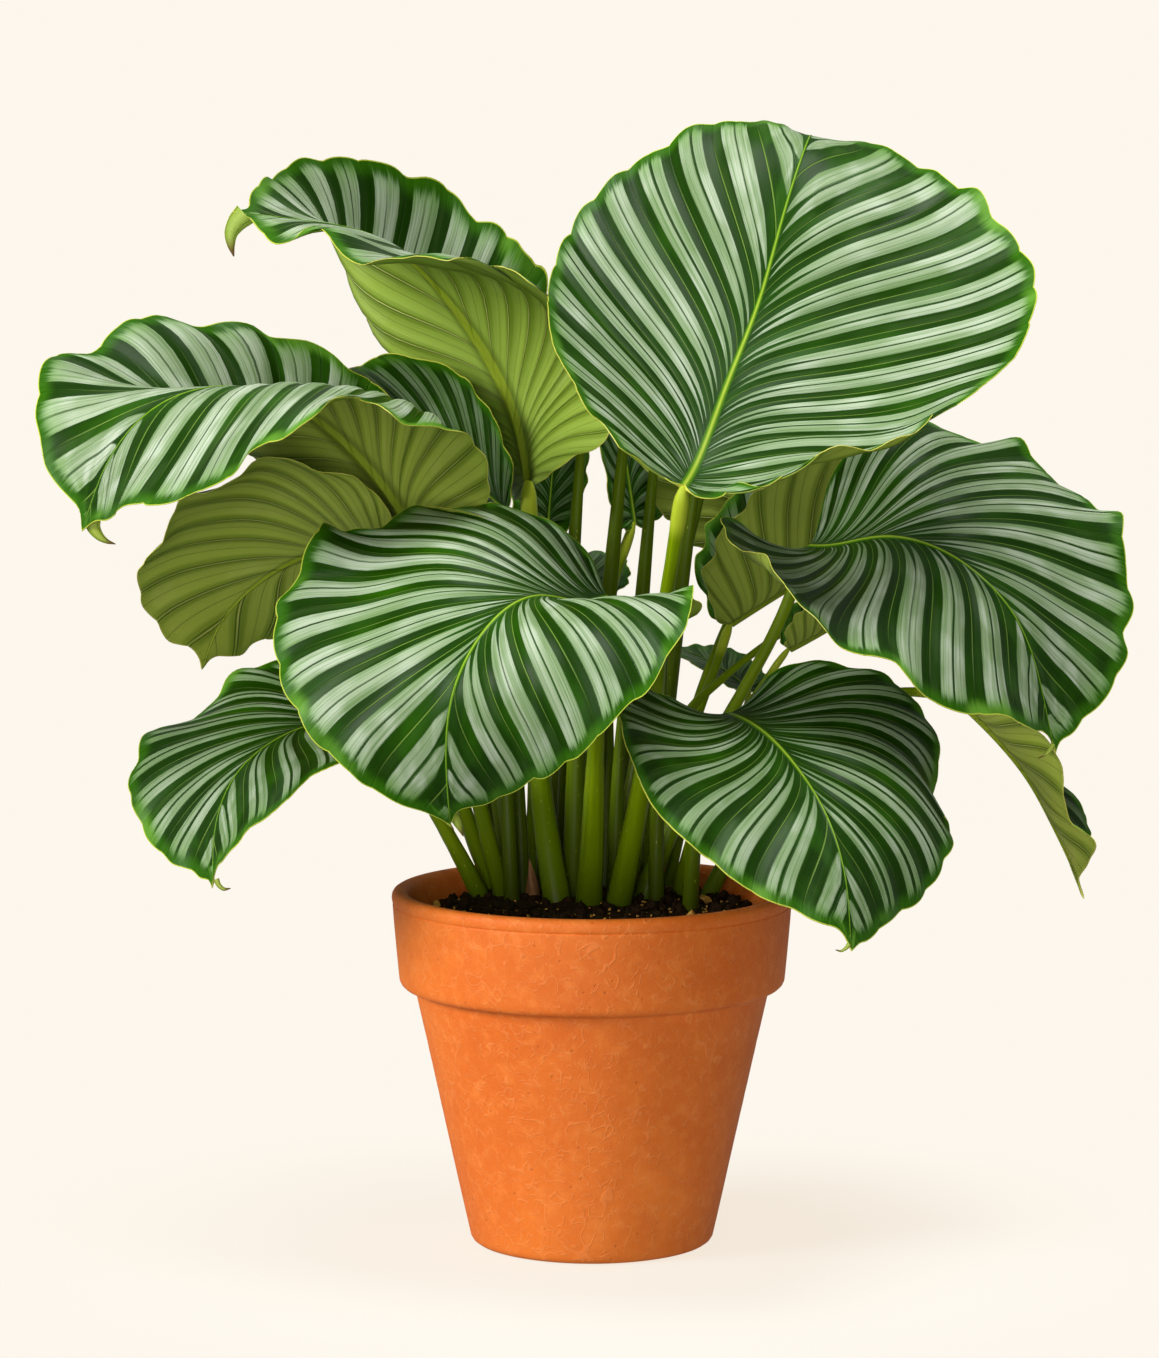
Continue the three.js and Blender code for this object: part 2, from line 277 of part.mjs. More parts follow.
    net: [
      107.7, -98.5, 411.4, -232.6, -82.5, 422, -155.4, -78.6, 356.2, -233.4, -24.2, 443.2, -220.5, -56.5, 340.5,
      -268.5, -10.9, 391.3, -252.3, -28.2, 287, -326.8, -4.4, 368.3, -225.6, -41.1, 69.5, -180.3, -94.4, 365.4,
      -132.3, -51.6, 408.4, -176.5, -28.5, 417.8, -178.4, -29.6, 356.6, -226.8, 1.5, 389.3, -208.9, -10.3, 312.8,
      -270.1, 11.6, 342.5, -275.7, 19.1, 288.9, -317.9, 31.6, 317.1, -78.6, -47.4, 430.4, -141.1, -46.6, 362.3,
      -147.1, -8.1, 400.3, -176.6, 13.9, 392, -194.9, 23.1, 361.4, -226.1, 38.3, 349.4, -247.3, 46.8, 319.1, -263.1,
      50.9, 295.4, -282.3, 58.8, 250.2, -92.1, -44.5, 369.5, -93.4, -4.9, 398.9, -122.9, 13.3, 378.7, -148.1, 37,
      374.3, -177.1, 52.5, 357.8, -199.4, 63.3, 333.1, -223.1, 70.8, 307.5, -236.7, 75.9, 271.7, -243.3, 79.7,
      253.4, -49.6, -18.6, 361.4, -79.6, 2.6, 352.8, -114.1, 14.2, 346.2, -127.4, 46.2, 344.7, -150.7, 69.4, 337.5,
      -175.4, 85.6, 321.5, -195.1, 95.6, 297.1, -197.9, 90.8, 267.7, -222, 93.8, 225.2, -65.6, -31.7, 311.5, -86.8,
      -13, 316.1, -103.7, 20, 309.9, -110.1, 52.9, 314.8, -125.8, 83.4, 314.9, -147.8, 110, 311, -175.4, 126.4,
      292.9, -188.7, 123, 251.9, -206.4, 136.3, 252.8, -53.8, -34, 287.9, -65.2, 2, 281.5, -79.9, 30, 284, -93.4,
      62, 284.5, -106.4, 93, 286.4, -123.1, 122.4, 285.8, -146.7, 147, 278.8, -171.5, 160.4, 260.2, -187.3, 167.9,
      223.7, -30.9, -16.8, 248.2, -48.7, 5.4, 257.8, -61.5, 40.2, 254.4, -72.2, 71.5, 257.1, -85.7, 104.3, 259.1,
      -102, 135.1, 260.9, -124.4, 162.1, 254.8, -144.3, 176.9, 235.7, -172.1, 200.6, 239.7, -24, -38.8, 257.4,
      -25.1, 26.4, 218.9, -39, 46.1, 230, -53.7, 81.4, 227, -63.6, 114.9, 232.1, -77, 149.3, 234.9, -97.9, 179.2,
      236.7, -127.8, 205.8, 235.8, -127, 173.4, 115.5,
    ],
    right: [
      0, 0, 0.034, -0.018, 0.071, -0.03, 0.109, -0.043, 0.149, -0.037, 0.184, -0.014, 0.226, -0.022, 0.266, -0.017,
      0.294, 0.012, 0.325, 0.035, 0.347, 0.066, 0.376, 0.091, 0.417, 0.107, 0.427, 0.147, 0.433, 0.186, 0.459,
      0.214, 0.473, 0.248, 0.49, 0.282, 0.499, 0.318, 0.481, 0.357, 0.49, 0.393, 0.509, 0.43, 0.497, 0.467, 0.489,
      0.503, 0.478, 0.538, 0.463, 0.572, 0.472, 0.614, 0.457, 0.649, 0.421, 0.672, 0.407, 0.707, 0.39, 0.74, 0.369,
      0.771, 0.349, 0.805, 0.311, 0.82, 0.283, 0.845, 0.256, 0.873, 0.217, 0.888, 0.187, 0.911, 0.172, 0.943, 0.139,
      0.961, 0.092, 0.968, 0.048, 0.975, 0.018, 0.997, 0, 1.03,
    ],
    left: [
      0, 0, -0.037, -0.037, -0.079, -0.05, -0.125, -0.041, -0.168, -0.035, -0.209, -0.026, -0.26, -0.029, -0.296,
      -0.008, -0.337, 0.007, -0.388, 0.007, -0.399, 0.061, -0.439, 0.076, -0.469, 0.103, -0.493, 0.138, -0.511,
      0.174, -0.511, 0.219, -0.514, 0.261, -0.536, 0.29, -0.553, 0.321, -0.568, 0.351, -0.576, 0.384, -0.576, 0.421,
      -0.563, 0.464, -0.552, 0.503, -0.54, 0.54, -0.522, 0.578, -0.5, 0.616, -0.49, 0.649, -0.486, 0.678, -0.458,
      0.713, -0.443, 0.741, -0.419, 0.769, -0.388, 0.798, -0.357, 0.825, -0.326, 0.852, -0.293, 0.877, -0.255,
      0.896, -0.218, 0.914, -0.183, 0.938, -0.146, 0.96, -0.103, 0.965, -0.059, 0.971, -0.023, 0.997, 0, 1.03,
    ],
    stalk: [
      -47.9, 53.3, 165, -53.7, 50.5, 179.4, -59.2, 46.8, 193.7, -63.8, 43.2, 208.4, -67.9, 39.7, 223.3, -72.3, 36,
      238, -76.8, 32, 252.7, -80.4, 27.3, 267.3, -82.6, 21.8, 282, -83.6, 16.4, 296.8, -83.9, 11.8, 311.9, -84.9,
      7.6, 327.1, -89, 5, 342, -101.9, 8.5, 349,
    ],
  },
  {
    id: '07',
    length: 232.1,
    stalkRadius: 4.6,
    net: [
      -18.4, -43.5, 33.5, 60.1, -182.8, 473.9, -52.7, -138.1, 314.2, -12.5, -188.7, 509.9, -118.9, -174.2, 323.2,
      -137.7, -205.7, 492.5, -99.1, -174.8, 227.3, -233.5, -213.1, 471.5, -16.2, -151.3, -248.4, 37.6, -125.1,
      377.5, 1.4, -95.8, 358.6, -17, -114.8, 427.2, -85.4, -120.9, 370.7, -104.8, -143.9, 470.1, -125.3, -141.1,
      346.7, -180.2, -155.1, 398.7, -183.1, -148.1, 283.2, -275.3, -169.1, 397.4, 35.1, -43.1, 341.2, -20.5, -72.2,
      360.3, -46.1, -60.8, 404.9, -83.7, -79.8, 430, -124.8, -89.2, 423.5, -175.9, -113.7, 414.6, -180.4, -100,
      340.3, -237.7, -114.8, 343.7, -223.6, -98, 230.8, -32.5, -25.4, 289.4, -29.7, -13.1, 354.7, -67, -23.8, 383.3,
      -94.9, -21.5, 432, -149.5, -49.2, 439.4, -179.9, -55.9, 402.1, -226.1, -71.8, 385.5, -236, -60.3, 324.9,
      -270.7, -70.3, 320.2, -14, 13.3, 289.4, -83.6, 1, 321.9, -96.2, 15.6, 369.4, -119.8, 15.6, 404.4, -158.1, 7.9,
      436.7, -216.7, -23.9, 430.8, -240.6, -19, 386.5, -241.8, -8.4, 337.4, -289, -13.7, 307, -67.4, 55.9, 277.4,
      -83.2, 58.1, 309.1, -116, 54.6, 346.1, -165, 38.6, 362.9, -187.6, 39.6, 402.4, -224.9, 30.6, 439, -269.3,
      15.9, 401.9, -314, 14.1, 371, -312.8, -13.4, 305.7, -39.4, 130.5, 274.5, -91.4, 112.8, 318.9, -129.6, 108.5,
      348.4, -153.5, 106, 387.7, -197.9, 90.6, 412.9, -242.7, 81.3, 413, -294.8, 51.4, 470.4, -320.5, 47.2, 406.5,
      -400.7, 36.2, 474, -94.8, 138.6, 324.1, -36.2, 148.7, 347.1, -77.1, 121.4, 403.5, -124.4, 106, 433.6, -185.5,
      132.2, 445, -229.8, 108.9, 498.4, -277.3, 132.4, 394.8, -353, 88.9, 496.6, -344.7, 99.5, 275.3, 1047.7, 191,
      407.1, -276.5, 172.6, 377.2, 207.9, 151.4, 453.6, -130.1, 168.2, 455.4, -133.4, 137.4, 496, -347.1, 153.3,
      399.9, -269.9, 128.6, 710.8, -340.6, 175.2, 203.1, -404.2, 108.4, 1366,
    ],
    right: [
      0, 0, 0.048, -0.017, 0.099, -0.034, 0.152, -0.042, 0.206, -0.022, 0.26, -0.025, 0.315, -0.028, 0.364, -0.009,
      0.412, 0.007, 0.449, 0.041, 0.485, 0.07, 0.537, 0.078, 0.568, 0.112, 0.593, 0.147, 0.621, 0.178, 0.642, 0.214,
      0.662, 0.249, 0.662, 0.282, 0.684, 0.32, 0.702, 0.358, 0.688, 0.392, 0.68, 0.428, 0.703, 0.469, 0.687, 0.504,
      0.652, 0.539, 0.659, 0.575, 0.654, 0.608, 0.626, 0.644, 0.604, 0.678, 0.573, 0.709, 0.542, 0.739, 0.487,
      0.762, 0.471, 0.796, 0.467, 0.829, 0.408, 0.852, 0.357, 0.873, 0.313, 0.895, 0.267, 0.913, 0.219, 0.928, 0.18,
      0.959, 0.13, 0.972, 0.077, 0.983, 0.028, 0.997, 0, 1.03,
    ],
    left: [
      0, 0, -0.037, -0.015, -0.073, -0.035, -0.114, -0.042, -0.155, -0.028, -0.196, -0.029, -0.237, -0.022, -0.274,
      -0.008, -0.307, 0.012, -0.339, 0.035, -0.365, 0.06, -0.385, 0.088, -0.414, 0.116, -0.452, 0.151, -0.457, 0.18,
      -0.47, 0.212, -0.498, 0.25, -0.521, 0.289, -0.54, 0.329, -0.534, 0.362, -0.487, 0.383, -0.459, 0.409, -0.499,
      0.461, -0.514, 0.505, -0.525, 0.547, -0.514, 0.581, -0.491, 0.613, -0.446, 0.64, -0.428, 0.673, -0.436, 0.711,
      -0.419, 0.743, -0.39, 0.771, -0.353, 0.797, -0.324, 0.823, -0.3, 0.85, -0.268, 0.873, -0.232, 0.893, -0.192,
      0.911, -0.163, 0.933, -0.14, 0.954, -0.1, 0.97, -0.059, 0.983, -0.024, 1.001, 0, 1.03,
    ],
    stalk: [
      -44.5, 42.3, 165, -48, 39.9, 179.3, -51.6, 37.7, 193.7, -55, 35.5, 208.1, -58.4, 33.3, 222.5, -61.9, 31.1,
      236.8, -65.8, 29, 251.1, -70, 27.1, 265.3, -74.3, 25.4, 279.5, -78.3, 23.8, 293.8, -82.1, 21, 308, -84.9,
      17.9, 322.4, -86.7, 14.9, 336.9, -87.9, 12, 351.5,
    ],
  },
  {
    id: '08',
    length: 230.6,
    stalkRadius: 6.6,
    net: [
      -60.6, -113.3, 495.7, 113, -95.6, 344.4, 69.7, -77.4, 438.4, 54, -120.3, 461.8, -0.7, -110, 470.7, -10.2,
      -133.4, 567.6, -113.9, -142, 348, -65.8, -171.3, 780.3, -396.1, -218.7, -499.6, 76, -59.7, 294.5, 42.8, -51.4,
      384.5, 53.4, -46.6, 418, 25.7, -48.5, 462, -13.2, -68.7, 486.5, -62.8, -83.9, 485.2, -89.4, -106.3, 545.3,
      -152.7, -114.1, 429.2, -131.3, -118.4, 761.4, 1.7, -27.7, 344.2, 23.4, -16, 353.8, 27.4, 0.6, 410.9, 4.2,
      -9.5, 456, -36.2, -21.1, 471.3, -71.5, -35.9, 516.8, -124.4, -54.1, 437.2, -149.7, -68.9, 566.7, -236.6,
      -93.1, 313.9, -15.2, 3.1, 303.3, -43.3, 8.5, 376.6, -2.8, 36.7, 400.5, -8, 48.9, 454.6, -44.2, 27.9, 495.5,
      -97.5, 8.6, 468, -129, -13.5, 538.2, -190.4, -14.6, 421.6, -177, -1.4, 632.9, -33.8, 52.8, 308.2, -27.2, 63.9,
      338.3, -34.3, 78.6, 394, -44.3, 77.8, 431.7, -71.2, 76.4, 472.4, -102.2, 53.4, 517.3, -153.8, 35.4, 497.6,
      -190.6, 21.9, 533.2, -262.6, -0.9, 472.9, -15.6, 138.2, 282.4, -25.5, 126.8, 343.5, -57.1, 120.3, 377.4,
      -96.1, 106.1, 409.9, -119.1, 96.7, 448.9, -130.8, 98.9, 491.2, -160.1, 81.6, 525.3, -198.1, 66.8, 540.8,
      -236.3, 35.7, 577.4, 10.4, 182.2, 343, -34.9, 181.3, 346.1, -57, 171.4, 395.5, -82.8, 168.9, 429.3, -127.9,
      161, 461.6, -134.6, 144.3, 515.4, -167.1, 128.1, 539.3, -201.2, 111.2, 570, -248.2, 103.6, 588.2, -32.8,
      240.9, 263.4, 14.5, 211.4, 408, -24, 202, 422.6, -51.4, 166, 471.9, -97.6, 195, 486.1, -113.2, 180.3, 528.6,
      -135.9, 163.4, 613.8, -197.9, 151.3, 608.5, -187, 124.2, 675.3, 709.9, 152.2, 1199.4, -142.7, 270.7, 216.9,
      158.8, 208.6, 656.1, 40.3, 213.2, 577.6, 8.9, 200.3, 545.9, 22.3, 208.9, 730.1, -231.8, 212.7, 566.4, -69.7,
      181.8, 722.8, -593.5, 227, 497.3,
    ],
    right: [
      0, 0, 0.049, -0.017, 0.101, -0.026, 0.155, -0.034, 0.21, -0.033, 0.267, -0.043, 0.319, -0.025, 0.364, 0.009,
      0.416, 0.013, 0.464, 0.027, 0.502, 0.058, 0.539, 0.085, 0.564, 0.125, 0.595, 0.154, 0.64, 0.162, 0.66, 0.187,
      0.677, 0.226, 0.683, 0.283, 0.693, 0.319, 0.701, 0.356, 0.704, 0.393, 0.701, 0.428, 0.696, 0.465, 0.694,
      0.504, 0.687, 0.541, 0.67, 0.575, 0.648, 0.606, 0.632, 0.644, 0.61, 0.679, 0.586, 0.712, 0.551, 0.74, 0.516,
      0.768, 0.481, 0.796, 0.448, 0.828, 0.406, 0.85, 0.358, 0.869, 0.308, 0.889, 0.266, 0.911, 0.223, 0.932, 0.178,
      0.951, 0.129, 0.965, 0.077, 0.98, 0.022, 0.995, 0, 1.03,
    ],
    left: [
      0, 0, -0.034, -0.014, -0.067, -0.028, -0.102, -0.032, -0.142, -0.032, -0.183, -0.029, -0.22, -0.019, -0.256,
      -0.004, -0.295, 0.01, -0.322, 0.035, -0.348, 0.061, -0.372, 0.09, -0.395, 0.12, -0.431, 0.142, -0.447, 0.177,
      -0.442, 0.22, -0.465, 0.25, -0.485, 0.282, -0.489, 0.319, -0.489, 0.354, -0.471, 0.388, -0.463, 0.421, -0.516,
      0.475, -0.509, 0.511, -0.445, 0.53, -0.429, 0.563, -0.466, 0.613, -0.469, 0.653, -0.438, 0.681, -0.409, 0.71,
      -0.388, 0.741, -0.374, 0.773, -0.35, 0.802, -0.325, 0.831, -0.287, 0.851, -0.239, 0.865, -0.174, 0.875,
      -0.176, 0.91, -0.182, 0.941, -0.155, 0.962, -0.105, 0.975, -0.058, 0.984, -0.017, 0.997, 0, 1.03,
    ],
    stalk: [
      -17, 20.2, 165, -19.8, 24.2, 181, -22.4, 28.3, 197, -24.7, 32.3, 213, -26.5, 36.3, 229.1, -27.9, 40.4, 245.2,
      -28.8, 44.5, 261.4, -29.3, 48.5, 277.6, -29.6, 52.6, 293.8, -29.8, 56.7, 310, -30.2, 60.7, 326.2, -30.8, 64.8,
      342.3, -31.7, 68.8, 358.5, -32.8, 72.8, 374.7,
    ],
  },
  {
    id: '09',
    length: 139.1,
    stalkRadius: 3.7,
    net: [
      -14.2, 100.9, 236.2, -29.5, 121.6, 247.8, -44.4, 143.1, 260.2, -58.6, 164.7, 272.6, -73.3, 186.5, 285.5,
      -87.4, 208.2, 298.1, -102.6, 229.4, 310.6, -117.9, 250.6, 322.7, -136.6, 270.3, 333.6, -15.9, 84.2, 261.7,
      -30.9, 105.7, 274, -45.7, 127.1, 286.3, -60.5, 148.5, 298.6, -75.1, 170, 311.1, -90, 191.4, 323.5, -105.3,
      212.6, 335.9, -121.6, 233.1, 348.2, -137.4, 253.8, 360.5, -17.3, 68.4, 287.9, -32.2, 89.6, 300.1, -47.2, 111,
      312.3, -62.1, 132.4, 324.6, -77.2, 153.6, 336.9, -92.4, 174.8, 349.2, -108.3, 195.6, 361.5, -124.6, 216.1,
      373.5, -141.2, 236.5, 385.5, -18, 52.7, 314.1, -33.3, 73.8, 326.3, -48.3, 95.1, 338.5, -63.6, 116.3, 350.6,
      -79, 137.3, 362.6, -95, 158, 374.6, -111.5, 178.4, 386.6, -128.8, 198.2, 398.6, -145.7, 217.9, 410.9, -17.3,
      37.8, 341.4, -33.2, 58.6, 353, -48.9, 79.6, 364.9, -63.9, 100.9, 376.9, -82, 120.6, 388.3, -98.2, 141, 399.6,
      -116.8, 159.8, 410.8, -134.8, 178.9, 422, -154.1, 197.9, 433.1, -14.6, 24.1, 369.5, -31.3, 44.6, 380.4, -47.4,
      65.4, 392.2, -64.4, 85.6, 403.3, -82.9, 104.6, 414, -105.7, 120.8, 421.1, -127.2, 137.9, 429.7, -146.6, 156.3,
      440.8, -166.1, 174.6, 449.9, -13.4, 10.1, 396.3, -30.2, 30.4, 407.9, -48, 50.2, 418.8, -65.4, 70.3, 430.3,
      -89.2, 85.9, 437.7, -113.5, 99.7, 441.6, -137.3, 115, 446.1, -158.1, 132.7, 458.8, -180.1, 149.3, 464.8,
      -12.8, -4.7, 423.2, -31.9, 14.6, 434.3, -49.4, 34.3, 444.9, -70.2, 52.5, 455.1, -94.5, 67.2, 460.7, -120.7,
      81, 465.4, -145.2, 95.7, 470.8, -167.3, 111.6, 477.1, -189.3, 128.4, 489, -19.6, -22.2, 451.5, -31.8, -0.8,
      459.7, -52, 18.3, 471.8, -72.4, 35.3, 478.9, -101, 49.3, 486.8, -127.1, 60.7, 485.9, -154.2, 73.7, 487.8,
      -176.7, 90.8, 501.5, -195.7, 109, 505.7,
    ],
    right: [
      0, 0, 0.03, -0.021, 0.066, -0.029, 0.102, -0.029, 0.137, -0.034, 0.173, -0.028, 0.212, -0.031, 0.244, -0.012,
      0.263, 0.026, 0.299, 0.037, 0.334, 0.053, 0.353, 0.086, 0.375, 0.115, 0.385, 0.153, 0.401, 0.185, 0.438,
      0.209, 0.444, 0.246, 0.439, 0.285, 0.457, 0.317, 0.467, 0.351, 0.465, 0.39, 0.458, 0.43, 0.45, 0.469, 0.444,
      0.506, 0.443, 0.54, 0.444, 0.573, 0.436, 0.608, 0.417, 0.643, 0.394, 0.677, 0.37, 0.71, 0.345, 0.74, 0.319,
      0.769, 0.3, 0.795, 0.279, 0.82, 0.256, 0.846, 0.232, 0.877, 0.206, 0.906, 0.176, 0.921, 0.15, 0.941, 0.12,
      0.958, 0.085, 0.969, 0.051, 0.983, 0.018, 0.997, 0, 1.03,
    ],
    left: [
      0, 0, -0.033, -0.017, -0.066, -0.035, -0.104, -0.039, -0.14, -0.021, -0.177, -0.029, -0.216, -0.028, -0.249,
      -0.009, -0.282, 0.008, -0.302, 0.042, -0.329, 0.066, -0.372, 0.078, -0.387, 0.114, -0.396, 0.152, -0.418,
      0.182, -0.431, 0.216, -0.455, 0.246, -0.471, 0.281, -0.453, 0.322, -0.461, 0.357, -0.479, 0.393, -0.475, 0.43,
      -0.474, 0.467, -0.46, 0.503, -0.443, 0.537, -0.457, 0.577, -0.449, 0.614, -0.418, 0.642, -0.404, 0.675,
      -0.386, 0.707, -0.37, 0.741, -0.359, 0.779, -0.32, 0.795, -0.287, 0.813, -0.274, 0.852, -0.246, 0.876, -0.215,
      0.897, -0.184, 0.916, -0.145, 0.922, -0.12, 0.951, -0.093, 0.981, -0.052, 0.981, -0.019, 0.998, 0, 1.03,
    ],
    stalk: [
      -40.2, 59.3, 165, -43.1, 60.6, 179.8, -45.7, 61.3, 194.7, -47.8, 61.9, 209.7, -49.1, 62.4, 224.8, -49.7, 62.5,
      240, -49.6, 63.4, 255.1, -49.4, 65.6, 270.1, -48.6, 67.3, 285.2, -47.5, 68.5, 300.2, -46.1, 69.6, 315.3,
      -44.7, 70.4, 330.4, -43.2, 71.1, 345.4, -41.6, 71.8, 360.5,
    ],
  },
  {
    id: '10',
    length: 127.6,
    stalkRadius: 4.2,
    net: [
      206.1, 158.2, 273.7, 222.4, 143.8, 254.4, 240.6, 130.5, 241.1, 259, 117.5, 226, 274.2, 100.3, 211.7, 292.5,
      91, 190.8, 300.9, 74.8, 168.3, 308.6, 74, 146.9, 309.3, 49.8, 111.5, 189.7, 132.3, 273.7, 208.5, 120.2, 260.1,
      226.7, 107, 245.1, 244.5, 93.5, 230.8, 262.1, 80.4, 214.2, 275.2, 67.1, 195.7, 285.3, 58.1, 172.8, 290.4,
      45.4, 148.5, 295.5, 40.1, 127.5, 176.4, 108.8, 279.9, 194, 95.5, 264.6, 212.3, 82.8, 250.1, 230.6, 69.7,
      235.7, 248.6, 55.6, 221.9, 263.1, 42.7, 202.4, 269, 31, 177.9, 272.5, 24.5, 154.6, 279.2, 11.3, 128.5, 162,
      83.5, 284.2, 180.5, 71.3, 269.6, 198.2, 58.9, 254.8, 214.9, 46.7, 238.1, 233.8, 33.7, 225.3, 249.9, 18.6,
      208.6, 247.6, 14.3, 179.8, 254.5, 1.1, 156.5, 254.7, -6.9, 132.5, 153.6, 56.8, 297.3, 169.6, 44.5, 277.8, 188,
      33.1, 263.1, 204.4, 21.9, 247.3, 215.9, 9.8, 228.2, 226, -0.5, 208.3, 233.6, -13.7, 188.4, 240.9, -24.6,
      167.8, 252.8, -38.2, 142.4, 153.6, 30.7, 311.6, 171, 20.2, 296.5, 189.1, 9.8, 280.1, 204.4, -2.2, 262.6,
      223.7, -12.1, 246.6, 223.3, -29.8, 222.7, 254.8, -32.4, 207.5, 252.6, -48.4, 182.2, 271.1, -56.6, 165.5,
      158.5, 9.1, 331.8, 175.8, -0.9, 314.4, 194.3, -11.6, 297.9, 212.4, -21.6, 281.3, 230.9, -31, 263.4, 243.9,
      -43.3, 243, 247.2, -57.9, 220.7, 268.3, -68.1, 201.7, 267.4, -82.1, 176.5, 162.3, -12.3, 348.4, 181.6, -22.7,
      333, 199.6, -33.2, 315.9, 217.8, -42.8, 298.6, 233.4, -55.1, 280.1, 245.6, -67.1, 259.4, 265.4, -79.3, 239.9,
      267.7, -92, 216.9, 295, -103.2, 199.9, 172.9, -32.5, 370.8, 185.9, -44.4, 350.1, 205.7, -53.6, 333.5, 222.3,
      -64.4, 317, 241.9, -71.6, 295.2, 264.1, -84.8, 278.5, 252.3, -102.5, 253.2, 296.7, -112.7, 238.4, 248.8,
      -124.8, 202.2,
    ],
    right: [
      0, 0, 0.022, -0.018, 0.048, -0.023, 0.071, -0.036, 0.097, -0.051, 0.12, -0.028, 0.142, -0.015, 0.167, -0.004,
      0.188, 0.014, 0.22, 0.026, 0.232, 0.058, 0.231, 0.096, 0.26, 0.117, 0.282, 0.145, 0.289, 0.18, 0.301, 0.213,
      0.295, 0.251, 0.305, 0.285, 0.333, 0.318, 0.324, 0.356, 0.313, 0.393, 0.32, 0.43, 0.321, 0.468, 0.322, 0.505,
      0.326, 0.545, 0.323, 0.582, 0.31, 0.615, 0.295, 0.647, 0.277, 0.677, 0.254, 0.705, 0.225, 0.732, 0.202, 0.759,
      0.198, 0.791, 0.207, 0.825, 0.23, 0.868, 0.222, 0.899, 0.187, 0.917, 0.144, 0.927, 0.103, 0.934, 0.059, 0.938,
      0.029, 0.945, 0.01, 0.959, 0, 0.987, 0, 1.03,
    ],
    left: [
      0, 0, -0.021, -0.019, -0.046, -0.027, -0.07, -0.026, -0.094, -0.045, -0.12, -0.041, -0.138, -0.016, -0.162,
      -0.004, -0.18, 0.017, -0.206, 0.033, -0.235, 0.051, -0.233, 0.09, -0.241, 0.123, -0.27, 0.147, -0.282, 0.179,
      -0.294, 0.212, -0.297, 0.248, -0.287, 0.286, -0.309, 0.32, -0.325, 0.355, -0.309, 0.393, -0.309, 0.43, -0.309,
      0.467, -0.306, 0.503, -0.304, 0.539, -0.304, 0.573, -0.303, 0.607, -0.299, 0.641, -0.274, 0.677, -0.289,
      0.708, -0.268, 0.74, -0.231, 0.765, -0.207, 0.793, -0.209, 0.832, -0.182, 0.851, -0.155, 0.868, -0.138, 0.892,
      -0.116, 0.91, -0.107, 0.941, -0.086, 0.961, -0.051, 0.958, -0.032, 0.979, -0.015, 1.001, 0, 1.03,
    ],
    stalk: [
      58.6, 45, 165, 64.4, 44.1, 177.2, 70.7, 43.2, 189.2, 77.8, 42.3, 200.6, 85.7, 41.5, 211.6, 94, 40.7, 222.2,
      102.5, 40, 232.8, 111, 39.3, 243.3, 119.9, 38.6, 253.5, 129.9, 38.1, 262.5, 141.7, 37.7, 269.1, 154.9, 37.6,
      271.8, 168.4, 37.7, 271.6, 181.9, 38, 270.1,
    ],
  },
  {
    id: '11',
    length: 150,
    stalkRadius: 4,
    net: [
      -34.9, 141.2, 354.2, -8.8, 144.5, 376.4, 20.1, 148.2, 394.2, 49.1, 151.8, 411.8, 78.8, 155.6, 428.2, 108.8,
      159.4, 444, 139.4, 163.2, 458.5, 170.1, 167.1, 473, 202.9, 171.3, 482.5, -27.3, 128.7, 345.9, 0.9, 132.2, 364,
      29.1, 135.8, 382.1, 57.9, 139.4, 399.3, 87.1, 143.1, 415.6, 116.8, 146.9, 431.1, 147, 150.7, 445.7, 177.6,
      154.5, 459.3, 208.2, 158.4, 472.9, -4.6, 118, 315.2, 22.1, 121.4, 333.9, 49.5, 124.8, 351.3, 77.4, 128.4,
      367.9, 105.7, 131.9, 383.8, 134.5, 135.6, 398.8, 163.7, 139.3, 412.9, 193.3, 143, 426.3, 223.5, 146.8, 438.3,
      10, 106.3, 296.6, 36.6, 109.7, 314, 63.4, 113.1, 331.2, 90.7, 116.5, 347.4, 118.5, 120, 363, 146.7, 123.6,
      377.6, 175.2, 127.2, 391.5, 204.3, 130.9, 404.5, 233.4, 134.5, 417.1, 37.2, 96.2, 259.5, 62.2, 99.4, 277, 88,
      102.6, 293.4, 114.2, 105.9, 309.1, 140.9, 109.3, 323.9, 167.9, 112.7, 338, 195.4, 116.2, 351.3, 223.2, 119.7,
      363.9, 251.6, 123.3, 375.1, 13.4, 79.7, 296.6, 40, 83, 314, 66.8, 86.4, 331.2, 94.1, 89.9, 347.4, 121.8, 93.4,
      363, 150, 96.9, 377.6, 178.6, 100.6, 391.5, 207.6, 104.2, 404.5, 236.8, 107.9, 417.1, 2.2, 64.7, 315.2, 28.8,
      68.1, 333.9, 56.2, 71.6, 351.3, 84.1, 75.1, 367.9, 112.5, 78.7, 383.8, 141.2, 82.3, 398.8, 170.5, 86, 412.9,
      200, 89.7, 426.3, 230.2, 93.5, 438.3, -17.2, 48.8, 345.9, 11, 52.3, 364, 39.2, 55.9, 382.1, 68, 59.5, 399.3,
      97.2, 63.2, 415.6, 126.9, 67, 431.1, 157.1, 70.8, 445.7, 187.7, 74.6, 459.3, 218.2, 78.5, 472.9, -21.4, 34.7,
      354.2, 4.6, 38, 376.4, 33.5, 41.6, 394.2, 62.6, 45.3, 411.8, 92.2, 49.1, 428.2, 122.2, 52.8, 444, 152.9, 56.7,
      458.5, 183.5, 60.6, 473, 216.3, 64.7, 482.5,
    ],
